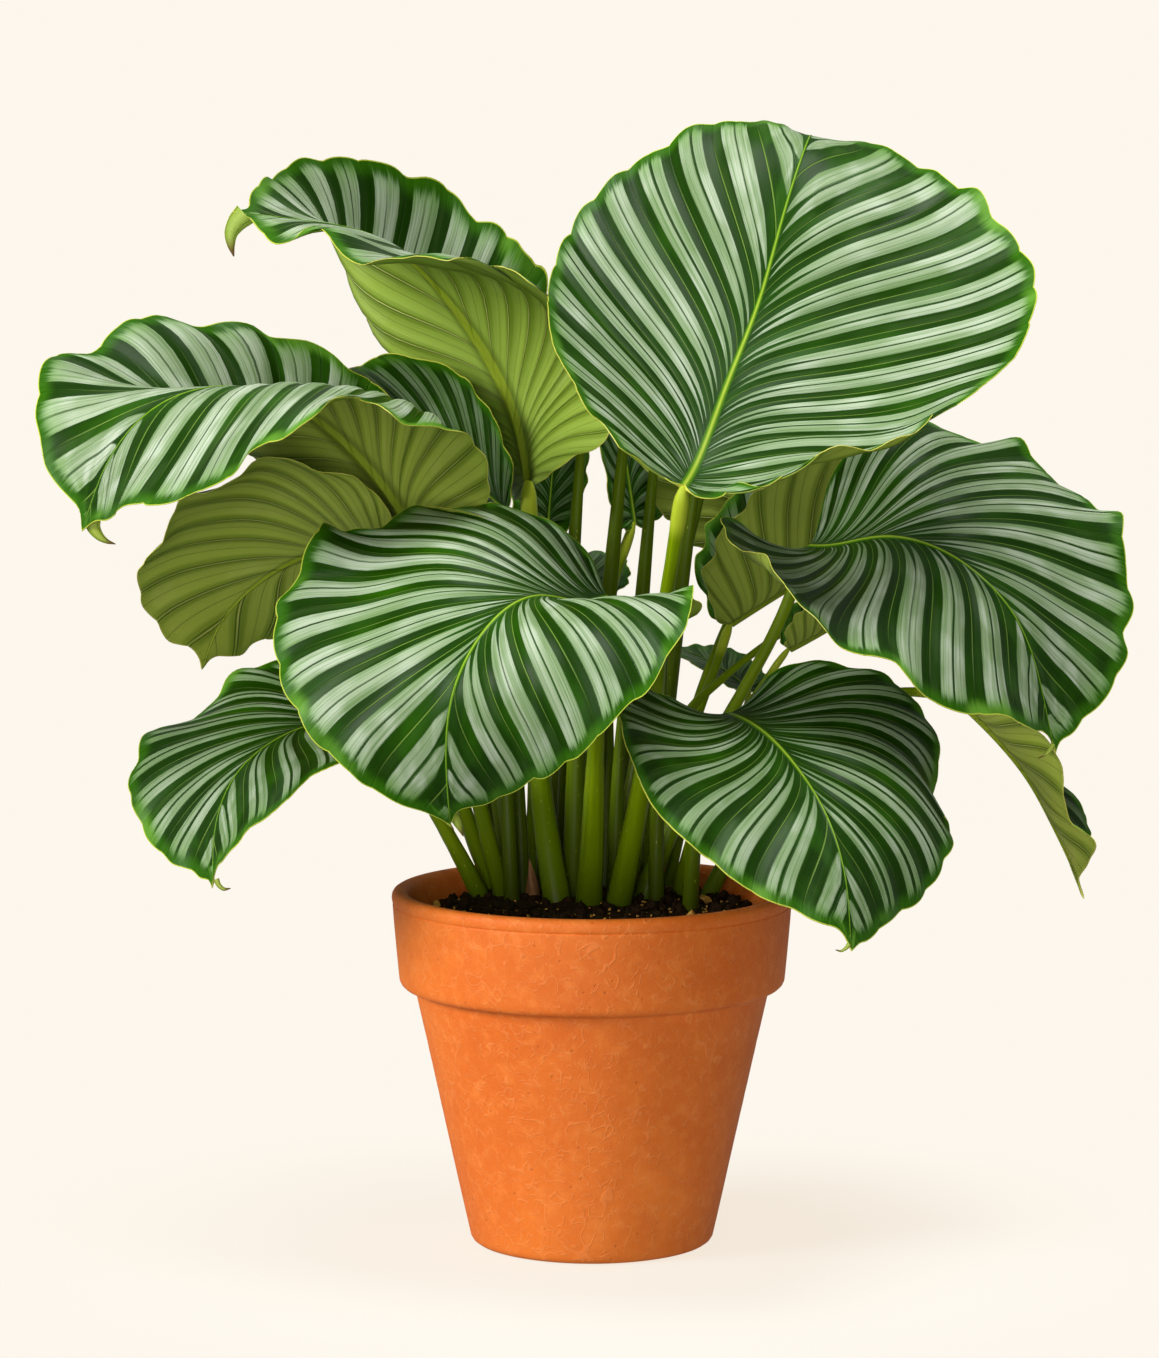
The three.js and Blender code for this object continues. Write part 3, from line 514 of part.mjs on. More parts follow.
    right: [
      0, 0, 0.032, -0.015, 0.063, -0.035, 0.098, -0.041, 0.133, -0.029, 0.168, -0.028, 0.201, -0.015, 0.237, -0.01,
      0.274, 0, 0.287, 0.041, 0.31, 0.068, 0.347, 0.084, 0.367, 0.115, 0.388, 0.145, 0.399, 0.181, 0.4, 0.22, 0.43,
      0.247, 0.449, 0.281, 0.438, 0.32, 0.442, 0.357, 0.443, 0.393, 0.446, 0.43, 0.46, 0.468, 0.442, 0.503, 0.419,
      0.536, 0.428, 0.576, 0.421, 0.612, 0.406, 0.646, 0.391, 0.679, 0.359, 0.703, 0.347, 0.737, 0.342, 0.779,
      0.309, 0.799, 0.278, 0.819, 0.255, 0.846, 0.227, 0.868, 0.209, 0.903, 0.179, 0.923, 0.137, 0.922, 0.111,
      0.947, 0.085, 0.973, 0.05, 0.984, 0.021, 1.001, 0, 1.03,
    ],
    left: [
      0, 0, -0.032, -0.017, -0.065, -0.028, -0.098, -0.046, -0.134, -0.037, -0.166, -0.016, -0.203, -0.021, -0.237,
      -0.01, -0.268, 0.008, -0.297, 0.031, -0.308, 0.069, -0.338, 0.091, -0.376, 0.109, -0.385, 0.147, -0.395,
      0.183, -0.411, 0.215, -0.419, 0.251, -0.446, 0.281, -0.452, 0.318, -0.433, 0.357, -0.443, 0.393, -0.453, 0.43,
      -0.448, 0.467, -0.449, 0.504, -0.427, 0.538, -0.413, 0.572, -0.426, 0.614, -0.411, 0.648, -0.383, 0.675,
      -0.368, 0.708, -0.345, 0.736, -0.333, 0.772, -0.319, 0.808, -0.277, 0.818, -0.249, 0.84, -0.233, 0.875,
      -0.204, 0.896, -0.178, 0.921, -0.144, 0.934, -0.106, 0.938, -0.084, 0.971, -0.053, 0.989, -0.019, 0.999, 0,
      1.03,
    ],
    stalk: [
      16.6, 52, 165, 19.9, 55.8, 175.7, 23.3, 59.5, 186.4, 26.8, 63.2, 197, 30.7, 66.8, 207.6, 35, 70.2, 218, 39.8,
      73.3, 228.3, 45.7, 76.4, 238.1, 51.8, 81.8, 246.6, 55.4, 87.8, 255.9, 59.3, 90.9, 266.6, 63.6, 93.6, 277.3,
      67.3, 96.9, 288, 70.5, 100.4, 298.7,
    ],
  },
  {
    id: '12',
    length: 160,
    stalkRadius: 4.4,
    net: [
      203, 226.7, 284.7, 204.2, 224.2, 317.7, 205.8, 221.1, 350.5, 207.3, 218, 383.4, 208.9, 214.9, 416.3, 210.4,
      211.8, 449.2, 212, 208.7, 482.1, 213.5, 205.7, 515, 215.4, 202, 547.8, 172.9, 209.3, 284.5, 174.5, 206.1,
      317.4, 176.1, 203, 350.2, 177.6, 199.9, 383.1, 179.2, 196.8, 416, 180.7, 193.7, 448.9, 182.3, 190.6, 481.8,
      183.8, 187.5, 514.7, 185.3, 184.6, 547.6, 145.3, 187.1, 283.7, 146.8, 184.1, 316.6, 148.3, 181, 349.5, 149.9,
      177.9, 382.4, 151.4, 174.8, 415.2, 153, 171.7, 448.1, 154.5, 168.6, 481, 156.1, 165.5, 513.9, 157.6, 162.4,
      546.8, 116.3, 167.5, 283.2, 117.9, 164.3, 316.1, 119.5, 161.2, 349, 121, 158.1, 381.9, 122.5, 155, 414.7,
      124.1, 151.9, 447.6, 125.6, 148.9, 480.5, 127.2, 145.8, 513.4, 128.7, 142.8, 546.3, 89.4, 143.8, 282.3, 90.9,
      140.8, 315.2, 92.4, 137.7, 348, 94, 134.6, 380.9, 95.5, 131.6, 413.8, 97.1, 128.5, 446.7, 98.6, 125.4, 479.6,
      100.2, 122.3, 512.5, 101.8, 119.1, 545.3, 54.3, 136.5, 283.2, 55.9, 133.3, 316.1, 57.4, 130.2, 349, 59, 127.1,
      381.9, 60.5, 124, 414.7, 62.1, 120.9, 447.6, 63.6, 117.9, 480.5, 65.2, 114.8, 513.4, 66.7, 111.7, 546.3, 21.3,
      125.1, 283.7, 22.8, 122.1, 316.6, 24.3, 119, 349.5, 25.9, 115.9, 382.4, 27.4, 112.8, 415.2, 28.9, 109.7,
      448.1, 30.5, 106.6, 481, 32, 103.5, 513.9, 33.6, 100.3, 546.8, -13.1, 116.3, 284.5, -11.5, 113.1, 317.4, -10,
      110, 350.2, -8.4, 106.9, 383.1, -6.9, 103.8, 416, -5.3, 100.7, 448.9, -3.8, 97.6, 481.8, -2.2, 94.5, 514.7,
      -0.7, 91.6, 547.6, -45.1, 102.7, 284.7, -43.8, 100.2, 317.7, -42.2, 97, 350.5, -40.7, 94, 383.4, -39.1, 90.9,
      416.3, -37.6, 87.8, 449.2, -36, 84.7, 482.1, -34.6, 81.7, 515, -32.7, 78, 547.8,
    ],
    right: [
      0, 0, 0.033, -0.015, 0.063, -0.032, 0.098, -0.045, 0.134, -0.031, 0.168, -0.027, 0.201, -0.016, 0.235, -0.006,
      0.274, -0, 0.292, 0.036, 0.308, 0.07, 0.345, 0.086, 0.368, 0.114, 0.386, 0.146, 0.402, 0.179, 0.401, 0.219,
      0.424, 0.249, 0.451, 0.28, 0.442, 0.32, 0.44, 0.357, 0.445, 0.393, 0.443, 0.43, 0.457, 0.468, 0.448, 0.504,
      0.42, 0.536, 0.423, 0.574, 0.422, 0.612, 0.406, 0.645, 0.393, 0.68, 0.362, 0.705, 0.342, 0.734, 0.341, 0.778,
      0.312, 0.802, 0.278, 0.819, 0.255, 0.846, 0.226, 0.867, 0.206, 0.899, 0.181, 0.926, 0.139, 0.925, 0.109,
      0.943, 0.085, 0.973, 0.05, 0.984, 0.02, 1.001, 0, 1.03,
    ],
    left: [
      0, 0, -0.031, -0.018, -0.065, -0.028, -0.099, -0.031, -0.134, -0.031, -0.172, -0.046, -0.204, -0.024, -0.228,
      0.006, -0.265, 0.013, -0.295, 0.032, -0.322, 0.057, -0.348, 0.083, -0.353, 0.124, -0.376, 0.152, -0.412,
      0.174, -0.418, 0.213, -0.423, 0.25, -0.432, 0.285, -0.434, 0.321, -0.456, 0.355, -0.46, 0.393, -0.435, 0.429,
      -0.438, 0.466, -0.445, 0.504, -0.437, 0.54, -0.435, 0.578, -0.41, 0.608, -0.389, 0.639, -0.396, 0.681, -0.379,
      0.714, -0.348, 0.738, -0.328, 0.768, -0.301, 0.792, -0.284, 0.825, -0.268, 0.861, -0.227, 0.868, -0.195,
      0.884, -0.175, 0.917, -0.146, 0.936, -0.118, 0.959, -0.083, 0.969, -0.046, 0.973, -0.02, 1, 0, 1.03,
    ],
    stalk: [
      28.9, 59.3, 165, 31.6, 64.5, 179.2, 36.4, 69.9, 192.7, 41, 76.2, 206, 43.9, 83.6, 219.1, 47, 90.6, 232.5,
      50.9, 97, 245.9, 55.2, 102.9, 259.4, 60, 108.4, 273, 65.5, 115.4, 285.6, 71.3, 122, 298.2, 77.6, 128.4, 310.7,
      84.1, 134.7, 323.1, 90.9, 140.9, 335.5,
    ],
  },
  {
    id: '13',
    length: 150,
    stalkRadius: 4.2,
    net: [
      -29.6, -1.4, 309.2, -32.5, 1.8, 340.7, -37, 6.9, 371.7, -41.6, 11.9, 402.6, -46.6, 17.5, 433.5, -51.8, 23.3,
      464.2, -57.5, 29.5, 494.8, -63.1, 35.8, 525.4, -70.4, 43.9, 555.3, -10.5, 22, 308.3, -14.8, 26.8, 339.3,
      -19.1, 31.6, 370.3, -23.7, 36.8, 401.1, -28.7, 42.3, 431.9, -33.9, 48.1, 462.5, -39.4, 54.2, 493.1, -45.3,
      60.7, 523.4, -51.2, 67.3, 553.8, 0.4, 54.6, 305.2, -3.5, 58.9, 336, -7.8, 63.8, 366.7, -12.4, 68.9, 397.3,
      -17.3, 74.3, 427.9, -22.5, 80.1, 458.3, -28, 86.2, 488.6, -33.8, 92.6, 518.7, -40, 99.5, 548.7, 15.7, 82.3,
      303.2, 11.6, 86.9, 333.8, 7.3, 91.7, 364.4, 2.7, 96.8, 394.9, -2.2, 102.2, 425.2, -7.3, 108, 455.5, -12.8,
      114, 485.6, -18.6, 120.4, 515.6, -24.5, 127, 545.6, 24.2, 117.6, 299.4, 20.4, 121.8, 329.8, 16.1, 126.6,
      360.1, 11.6, 131.6, 390.2, 6.8, 137, 420.3, 1.7, 142.7, 450.3, -3.8, 148.7, 480.1, -9.4, 155, 509.9, -15.6,
      161.8, 539.4, 60.2, 122.3, 303.2, 56, 127, 333.8, 51.8, 131.7, 364.4, 47.2, 136.8, 394.9, 42.3, 142.2, 425.2,
      37.1, 148, 455.5, 31.7, 154, 485.6, 25.9, 160.5, 515.6, 20, 167, 545.6, 89.3, 134.7, 305.2, 85.5, 139, 336,
      81.1, 143.8, 366.7, 76.5, 148.9, 397.3, 71.6, 154.4, 427.9, 66.4, 160.1, 458.3, 60.9, 166.2, 488.6, 55.2,
      172.6, 518.7, 49, 179.5, 548.7, 122.9, 142.1, 308.3, 118.6, 146.9, 339.3, 114.3, 151.6, 370.3, 109.6, 156.8,
      401.1, 104.7, 162.3, 431.9, 99.5, 168.1, 462.5, 93.9, 174.3, 493.1, 88.1, 180.8, 523.4, 82.2, 187.3, 553.8,
      148.3, 158.6, 309.2, 145.3, 161.9, 340.7, 140.8, 166.9, 371.7, 136.2, 172, 402.6, 131.2, 177.6, 433.5, 126,
      183.4, 464.2, 120.4, 189.6, 494.8, 114.7, 195.9, 525.4, 107.5, 204, 555.3,
    ],
    right: [
      0, 0, 0.014, -0.017, 0.03, -0.027, 0.045, -0.031, 0.061, -0.049, 0.077, -0.036, 0.081, -0.01, 0.102, -0.005,
      0.12, 0.011, 0.133, 0.033, 0.149, 0.057, 0.141, 0.091, 0.151, 0.12, 0.182, 0.145, 0.182, 0.179, 0.18, 0.215,
      0.185, 0.249, 0.183, 0.285, 0.203, 0.319, 0.211, 0.356, 0.187, 0.393, 0.19, 0.43, 0.2, 0.467, 0.197, 0.504,
      0.201, 0.54, 0.185, 0.575, 0.168, 0.608, 0.185, 0.646, 0.182, 0.68, 0.161, 0.709, 0.153, 0.739, 0.138, 0.767,
      0.136, 0.797, 0.14, 0.83, 0.111, 0.847, 0.09, 0.866, 0.091, 0.895, 0.079, 0.916, 0.07, 0.938, 0.053, 0.954,
      0.026, 0.958, 0.021, 0.981, 0.012, 1.002, 0, 1.03,
    ],
    left: [
      0, 0, -0.011, -0.02, -0.028, -0.03, -0.044, -0.034, -0.058, -0.031, -0.071, -0.024, -0.098, -0.031, -0.11,
      -0.012, -0.106, 0.019, -0.126, 0.036, -0.144, 0.059, -0.155, 0.086, -0.17, 0.115, -0.16, 0.151, -0.165, 0.183,
      -0.195, 0.212, -0.195, 0.248, -0.189, 0.284, -0.193, 0.32, -0.188, 0.357, -0.204, 0.393, -0.213, 0.43, -0.188,
      0.466, -0.186, 0.503, -0.195, 0.54, -0.19, 0.575, -0.193, 0.612, -0.176, 0.644, -0.155, 0.674, -0.169, 0.711,
      -0.166, 0.743, -0.144, 0.769, -0.134, 0.797, -0.117, 0.82, -0.112, 0.848, -0.116, 0.88, -0.089, 0.894, -0.066,
      0.908, -0.064, 0.935, -0.052, 0.953, -0.041, 0.972, -0.024, 0.984, -0.005, 0.998, 0, 1.03,
    ],
    stalk: [
      -7.4, 57, 165, -5.1, 61.8, 179.3, -2.9, 66.6, 193.5, -1, 71.5, 207.8, 0.5, 76.4, 222.2, 1.7, 81.2, 236.6, 2.6,
      86.1, 251, 3.5, 90.9, 265.3, 4.6, 95.8, 279.7, 6.2, 100.7, 294.1, 8.6, 105.5, 308.3, 12.1, 110.5, 322.3, 16.6,
      115.4, 335.9, 21.8, 120.3, 349.4,
    ],
  },
  {
    id: '14',
    length: 85,
    stalkRadius: 3.2,
    net: [
      -97.2, 145.2, 319.1, -96.6, 146.6, 337.5, -95.4, 149.5, 355.6, -94.1, 153, 373.6, -92.4, 157.1, 391.5, -90.6,
      161.7, 409.2, -88.5, 167, 426.7, -86.2, 172.7, 444, -83.3, 179.9, 460.7, -80.1, 140.5, 318.9, -79.2, 142.9,
      337, -78, 145.7, 355, -76.7, 149.2, 372.9, -75, 153.2, 390.7, -73.2, 157.9, 408.3, -71.1, 163.1, 425.7, -68.8,
      168.9, 442.9, -66.3, 175.1, 459.9, -60.9, 141.3, 318, -60, 143.4, 335.8, -58.9, 146.2, 353.6, -57.6, 149.6,
      371.2, -56, 153.6, 388.7, -54.1, 158.2, 406.1, -52.1, 163.3, 423.2, -49.8, 169, 440.1, -47.3, 175.3, 456.8,
      -42.8, 139.2, 317.4, -41.9, 141.5, 335.1, -40.8, 144.3, 352.7, -39.4, 147.6, 370.1, -37.9, 151.6, 387.5,
      -36.1, 156.1, 404.6, -34, 161.2, 421.6, -31.8, 166.8, 438.3, -29.3, 172.9, 454.9, -22.9, 141.5, 316.3, -22.1,
      143.6, 333.7, -21, 146.3, 350.9, -19.7, 149.6, 368.1, -18.2, 153.5, 385.1, -16.4, 157.9, 401.9, -14.4, 162.9,
      418.5, -12.2, 168.4, 435, -9.7, 174.6, 451.2, -10.2, 126.2, 317.4, -9.2, 128.5, 335.1, -8.1, 131.2, 352.7,
      -6.8, 134.6, 370.1, -5.2, 138.5, 387.5, -3.4, 143, 404.6, -1.4, 148.1, 421.6, 0.9, 153.8, 438.3, 3.3, 159.9,
      454.9, 4.4, 115.2, 318, 5.2, 117.3, 335.8, 6.3, 120.1, 353.6, 7.7, 123.5, 371.2, 9.3, 127.5, 388.7, 11.1, 132,
      406.1, 13.2, 137.2, 423.2, 15.5, 142.9, 440.1, 18, 149.2, 456.8, 17.8, 101.3, 318.9, 18.7, 103.8, 337, 19.9,
      106.6, 355, 21.2, 110, 372.9, 22.9, 114.1, 390.7, 24.7, 118.7, 408.3, 26.8, 123.9, 425.7, 29.1, 129.8, 442.9,
      31.6, 135.9, 459.9, 33.3, 92.9, 319.1, 33.9, 94.3, 337.5, 35.1, 97.3, 355.6, 36.4, 100.7, 373.6, 38.1, 104.8,
      391.5, 39.9, 109.5, 409.2, 42.1, 114.8, 426.7, 44.3, 120.5, 444, 47.2, 127.7, 460.7,
    ],
    right: [
      0, 0, 0.019, -0.018, 0.04, -0.031, 0.061, -0.043, 0.084, -0.026, 0.103, -0.019, 0.134, -0.03, 0.152, -0.011,
      0.166, 0.013, 0.183, 0.036, 0.192, 0.066, 0.221, 0.085, 0.243, 0.111, 0.234, 0.151, 0.244, 0.183, 0.263,
      0.214, 0.271, 0.248, 0.286, 0.282, 0.278, 0.32, 0.265, 0.357, 0.288, 0.393, 0.293, 0.43, 0.28, 0.467, 0.278,
      0.503, 0.265, 0.538, 0.267, 0.575, 0.279, 0.614, 0.254, 0.644, 0.233, 0.674, 0.234, 0.709, 0.222, 0.74, 0.216,
      0.773, 0.199, 0.8, 0.165, 0.815, 0.159, 0.846, 0.156, 0.88, 0.129, 0.895, 0.109, 0.914, 0.087, 0.93, 0.066,
      0.945, 0.059, 0.977, 0.034, 0.986, 0.009, 0.997, 0, 1.03,
    ],
    left: [
      0, 0, -0.02, -0.017, -0.038, -0.036, -0.062, -0.038, -0.083, -0.021, -0.106, -0.03, -0.131, -0.026, -0.151,
      -0.009, -0.171, 0.009, -0.176, 0.041, -0.194, 0.064, -0.23, 0.081, -0.233, 0.116, -0.235, 0.151, -0.25, 0.181,
      -0.256, 0.215, -0.278, 0.247, -0.287, 0.282, -0.266, 0.321, -0.274, 0.357, -0.29, 0.393, -0.286, 0.43, -0.287,
      0.467, -0.273, 0.503, -0.26, 0.538, -0.279, 0.577, -0.273, 0.612, -0.248, 0.643, -0.241, 0.676, -0.229, 0.707,
      -0.224, 0.741, -0.222, 0.776, -0.189, 0.795, -0.167, 0.817, -0.166, 0.851, -0.149, 0.875, -0.132, 0.897,
      -0.111, 0.916, -0.08, 0.923, -0.073, 0.953, -0.06, 0.979, -0.031, 0.981, -0.011, 0.999, 0, 1.03,
    ],
    stalk: [
      -30.4, 60, 165, -31.3, 65.4, 179.2, -31.2, 70.6, 193.5, -30.5, 77.4, 207.1, -30.3, 84.6, 220.5, -29, 91.3,
      234.1, -27.2, 97.7, 247.7, -24.4, 104, 261.3, -24.7, 110.1, 275.2, -24.5, 116.3, 289.1, -24, 122.5, 303,
      -23.7, 128.5, 317, -23.3, 134.8, 330.8, -22.4, 143, 343.6,
    ],
  },
  {
    id: '15',
    length: 60,
    stalkRadius: 3.2,
    net: [
      -28.4, 94.6, 300.5, -32.4, 100.9, 313, -38, 110, 322.4, -44.6, 120.5, 329.6, -51.8, 132, 333.8, -59.3, 144.1,
      335.1, -66.8, 156, 333.2, -74, 167.5, 328.5, -80.1, 177.3, 319.9, -17.4, 101.6, 300.9, -21.8, 108.6, 312.1,
      -27.3, 117.4, 321.6, -33.8, 127.7, 328.5, -40.9, 139.1, 332.7, -48.3, 150.9, 333.9, -55.7, 162.7, 332.1,
      -62.6, 173.9, 327.4, -69, 184, 320.1, -7.8, 110.6, 299.4, -11.9, 117.2, 310.3, -17.2, 125.7, 319.3, -23.3,
      135.6, 326, -30.1, 146.4, 330, -37.2, 157.8, 331.2, -44.3, 169.1, 329.4, -51, 179.8, 324.9, -57, 189.4, 317.8,
      2.5, 118.8, 298.6, -1.6, 125.3, 309.1, -6.7, 133.5, 317.9, -12.7, 143.1, 324.3, -19.3, 153.6, 328.2, -26.2,
      164.6, 329.4, -33, 175.6, 327.7, -39.5, 186, 323.3, -45.4, 195.4, 316.4, 11.9, 128.3, 296.8, 8.1, 134.3,
      306.8, 3.3, 142, 315.1, -2.4, 151.1, 321.2, -8.6, 161.1, 324.9, -15.1, 171.5, 326, -21.6, 181.8, 324.4, -27.7,
      191.6, 320.2, -33.2, 200.5, 313.7, 24.5, 132.6, 298.6, 20.4, 139.1, 309.1, 15.3, 147.2, 317.9, 9.3, 156.8,
      324.3, 2.7, 167.4, 328.2, -4.1, 178.4, 329.4, -11, 189.4, 327.7, -17.5, 199.8, 323.3, -23.4, 209.2, 316.4,
      36.3, 138.2, 299.4, 32.2, 144.8, 310.3, 26.9, 153.2, 319.3, 20.7, 163.1, 326, 14, 174, 330, 6.9, 185.3, 331.2,
      -0.2, 196.6, 329.4, -6.9, 207.3, 324.9, -12.9, 217, 317.8, 48.7, 142.9, 300.9, 44.3, 150, 312.1, 38.8, 158.7,
      321.6, 32.4, 169.1, 328.5, 25.3, 180.4, 332.7, 17.9, 192.3, 333.9, 10.5, 204.1, 332.1, 3.5, 215.2, 327.4,
      -2.8, 225.4, 320.1, 59.8, 149.7, 300.5, 55.8, 156, 313, 50.2, 165.1, 322.4, 43.6, 175.6, 329.6, 36.4, 187.1,
      333.8, 28.9, 199.2, 335.1, 21.4, 211.2, 333.2, 14.2, 222.6, 328.5, 8.1, 232.5, 319.9,
    ],
    right: [
      0, 0, 0.03, -0.017, 0.062, -0.024, 0.093, -0.04, 0.128, -0.049, 0.158, -0.023, 0.189, -0.014, 0.223, -0.007,
      0.252, 0.011, 0.286, 0.026, 0.3, 0.061, 0.311, 0.097, 0.349, 0.115, 0.371, 0.144, 0.378, 0.181, 0.392, 0.214,
      0.394, 0.251, 0.41, 0.284, 0.436, 0.317, 0.422, 0.356, 0.413, 0.393, 0.424, 0.43, 0.422, 0.467, 0.426, 0.505,
      0.418, 0.541, 0.388, 0.571, 0.39, 0.609, 0.393, 0.649, 0.369, 0.678, 0.351, 0.709, 0.327, 0.736, 0.305, 0.764,
      0.302, 0.806, 0.274, 0.829, 0.235, 0.84, 0.216, 0.87, 0.192, 0.894, 0.167, 0.918, 0.143, 0.943, 0.103, 0.943,
      0.074, 0.959, 0.05, 0.988, 0.019, 1.001, 0, 1.03,
    ],
    left: [
      0, 0, -0.03, -0.018, -0.063, -0.022, -0.093, -0.038, -0.128, -0.049, -0.159, -0.027, -0.19, -0.017, -0.22,
      -0.002, -0.25, 0.014, -0.288, 0.024, -0.302, 0.059, -0.312, 0.097, -0.346, 0.117, -0.367, 0.146, -0.382,
      0.179, -0.397, 0.212, -0.391, 0.252, -0.407, 0.285, -0.434, 0.318, -0.425, 0.356, -0.418, 0.393, -0.421, 0.43,
      -0.416, 0.466, -0.428, 0.505, -0.421, 0.541, -0.39, 0.572, -0.389, 0.609, -0.388, 0.647, -0.37, 0.679, -0.357,
      0.712, -0.326, 0.736, -0.302, 0.762, -0.3, 0.805, -0.274, 0.83, -0.239, 0.844, -0.216, 0.87, -0.188, 0.889,
      -0.167, 0.918, -0.145, 0.947, -0.104, 0.945, -0.074, 0.959, -0.048, 0.985, -0.019, 1, 0, 1.03,
    ],
    stalk: [
      4.6, 62, 165, 4.7, 67.8, 176.2, 4.7, 73.7, 187.5, 4.8, 79.5, 198.7, 4.9, 85.4, 210, 4.9, 91.2, 221.2, 5, 97.1,
      232.5, 5.1, 102.9, 243.7, 5.2, 108.8, 255, 5.3, 114.6, 266.2, 5.4, 120.5, 277.4, 5.6, 126.3, 288.7, 5.7,
      132.1, 299.9, 5.8, 138, 311.2,
    ],
  },
  {
    id: '16',
    length: 62,
    stalkRadius: 3,
    net: [
      62, 79.4, 320.8, 71.8, 81.6, 326.1, 81.9, 83.8, 330.5, 91.8, 86, 335.4, 101.6, 88.2, 340.7, 111.1, 90.3,
      346.3, 120.5, 92.4, 352.2, 129.6, 94.4, 358.7, 139.2, 96.6, 364.3, 64.9, 73.1, 316.8, 75.4, 75.4, 320.8, 85.7,
      77.7, 325.4, 95.8, 79.9, 330.4, 105.7, 82.1, 335.8, 115.4, 84.3, 341.5, 124.9, 86.4, 347.6, 134.3, 88.5,
      353.9, 143.2, 90.5, 360.9, 71.4, 67.5, 303.2, 82.2, 69.9, 307.8, 92.9, 72.3, 312.6, 103.5, 74.7, 317.8, 113.8,
      77, 323.4, 124, 79.2, 329.3, 133.9, 81.4, 335.7, 143.6, 83.6, 342.4, 153.2, 85.7, 349.3, 75.9, 61.5, 294.8,
      87.1, 64, 299.2, 98.2, 66.5, 304.2, 109, 68.9, 309.5, 119.7, 71.3, 315.3, 130.1, 73.6, 321.4, 140.3, 75.9,
      327.9, 150.3, 78.1, 334.8, 160, 80.2, 342.2, 83.4, 56.2, 278.3, 95.1, 58.8, 283.2, 106.7, 61.4, 288.4, 118.1,
      63.9, 294, 129.3, 66.4, 300, 140.3, 68.9, 306.5, 151, 71.2, 313.3, 161.5, 73.6, 320.6, 171.9, 75.9, 328.1,
      78.8, 48.2, 294.8, 90.1, 50.7, 299.2, 101.1, 53.2, 304.2, 112, 55.6, 309.5, 122.6, 57.9, 315.3, 133.1, 60.3,
      321.4, 143.3, 62.5, 327.9, 153.3, 64.8, 334.8, 162.9, 66.9, 342.2, 77.3, 40.9, 303.2, 88.1, 43.3, 307.8, 98.8,
      45.7, 312.6, 109.4, 48, 317.8, 119.8, 50.3, 323.4, 129.9, 52.6, 329.3, 139.9, 54.8, 335.7, 149.6, 57, 342.4,
      159.1, 59.1, 349.3, 73.7, 33.1, 316.8, 84.3, 35.5, 320.8, 94.5, 37.7, 325.4, 104.7, 40, 330.4, 114.6, 42.2,
      335.8, 124.3, 44.4, 341.5, 133.8, 46.5, 347.6, 143.1, 48.5, 353.9, 152.1, 50.5, 360.9, 73.8, 26.1, 320.8,
      83.6, 28.3, 326.1, 93.8, 30.6, 330.5, 103.7, 32.8, 335.4, 113.4, 34.9, 340.7, 123, 37.1, 346.3, 132.4, 39.2,
      352.2, 141.4, 41.2, 358.7, 151, 43.3, 364.3,
    ],
    right: [
      0, 0, 0.026, -0.018, 0.054, -0.029, 0.083, -0.042, 0.113, -0.043, 0.138, -0.016, 0.169, -0.016, 0.204, -0.015,
      0.225, 0.01, 0.248, 0.033, 0.263, 0.064, 0.279, 0.094, 0.317, 0.111, 0.331, 0.144, 0.327, 0.184, 0.345, 0.215,
      0.357, 0.249, 0.371, 0.283, 0.385, 0.318, 0.367, 0.357, 0.364, 0.393, 0.386, 0.43, 0.38, 0.467, 0.373, 0.504,
      0.364, 0.539, 0.346, 0.572, 0.354, 0.611, 0.354, 0.649, 0.321, 0.675, 0.305, 0.706, 0.295, 0.739, 0.278,
      0.769, 0.269, 0.805, 0.238, 0.824, 0.204, 0.837, 0.196, 0.874, 0.176, 0.901, 0.147, 0.916, 0.122, 0.935, 0.09,
      0.942, 0.068, 0.965, 0.046, 0.991, 0.017, 1, 0, 1.03,
    ],
    left: [
      0, 0, -0.026, -0.019, -0.056, -0.022, -0.083, -0.034, -0.114, -0.048, -0.142, -0.031, -0.17, -0.019, -0.194,
      -0.001, -0.219, 0.017, -0.257, 0.025, -0.273, 0.056, -0.277, 0.095, -0.304, 0.118, -0.324, 0.147, -0.341,
      0.179, -0.357, 0.211, -0.347, 0.251, -0.357, 0.286, -0.385, 0.318, -0.38, 0.356, -0.375, 0.393, -0.373, 0.43,
      -0.365, 0.466, -0.379, 0.504, -0.379, 0.542, -0.349, 0.573, -0.343, 0.608, -0.342, 0.645, -0.329, 0.678,
      -0.321, 0.714, -0.292, 0.738, -0.265, 0.761, -0.265, 0.802, -0.246, 0.83, -0.215, 0.847, -0.193, 0.871,
      -0.164, 0.887, -0.146, 0.915, -0.132, 0.948, -0.094, 0.949, -0.064, 0.959, -0.042, 0.983, -0.017, 1, 0, 1.03,
    ],
    stalk: [
      36.6, 66, 165, 40.4, 65.7, 175.2, 42.9, 64.5, 185.7, 45.4, 64.2, 196.3, 48.8, 63.9, 206.7, 52.8, 63.5, 216.8,
      57.6, 63.1, 226.6, 62.8, 62.7, 236.1, 68.4, 62.3, 245.4, 74.3, 61.8, 254.6, 80.4, 61.3, 263.6, 86.6, 60.8,
      272.6, 92.8, 60.3, 281.5, 99, 59.7, 290.4,
    ],
  },
  {
    id: '17',
    length: 56.2,
    stalkRadius: 3,
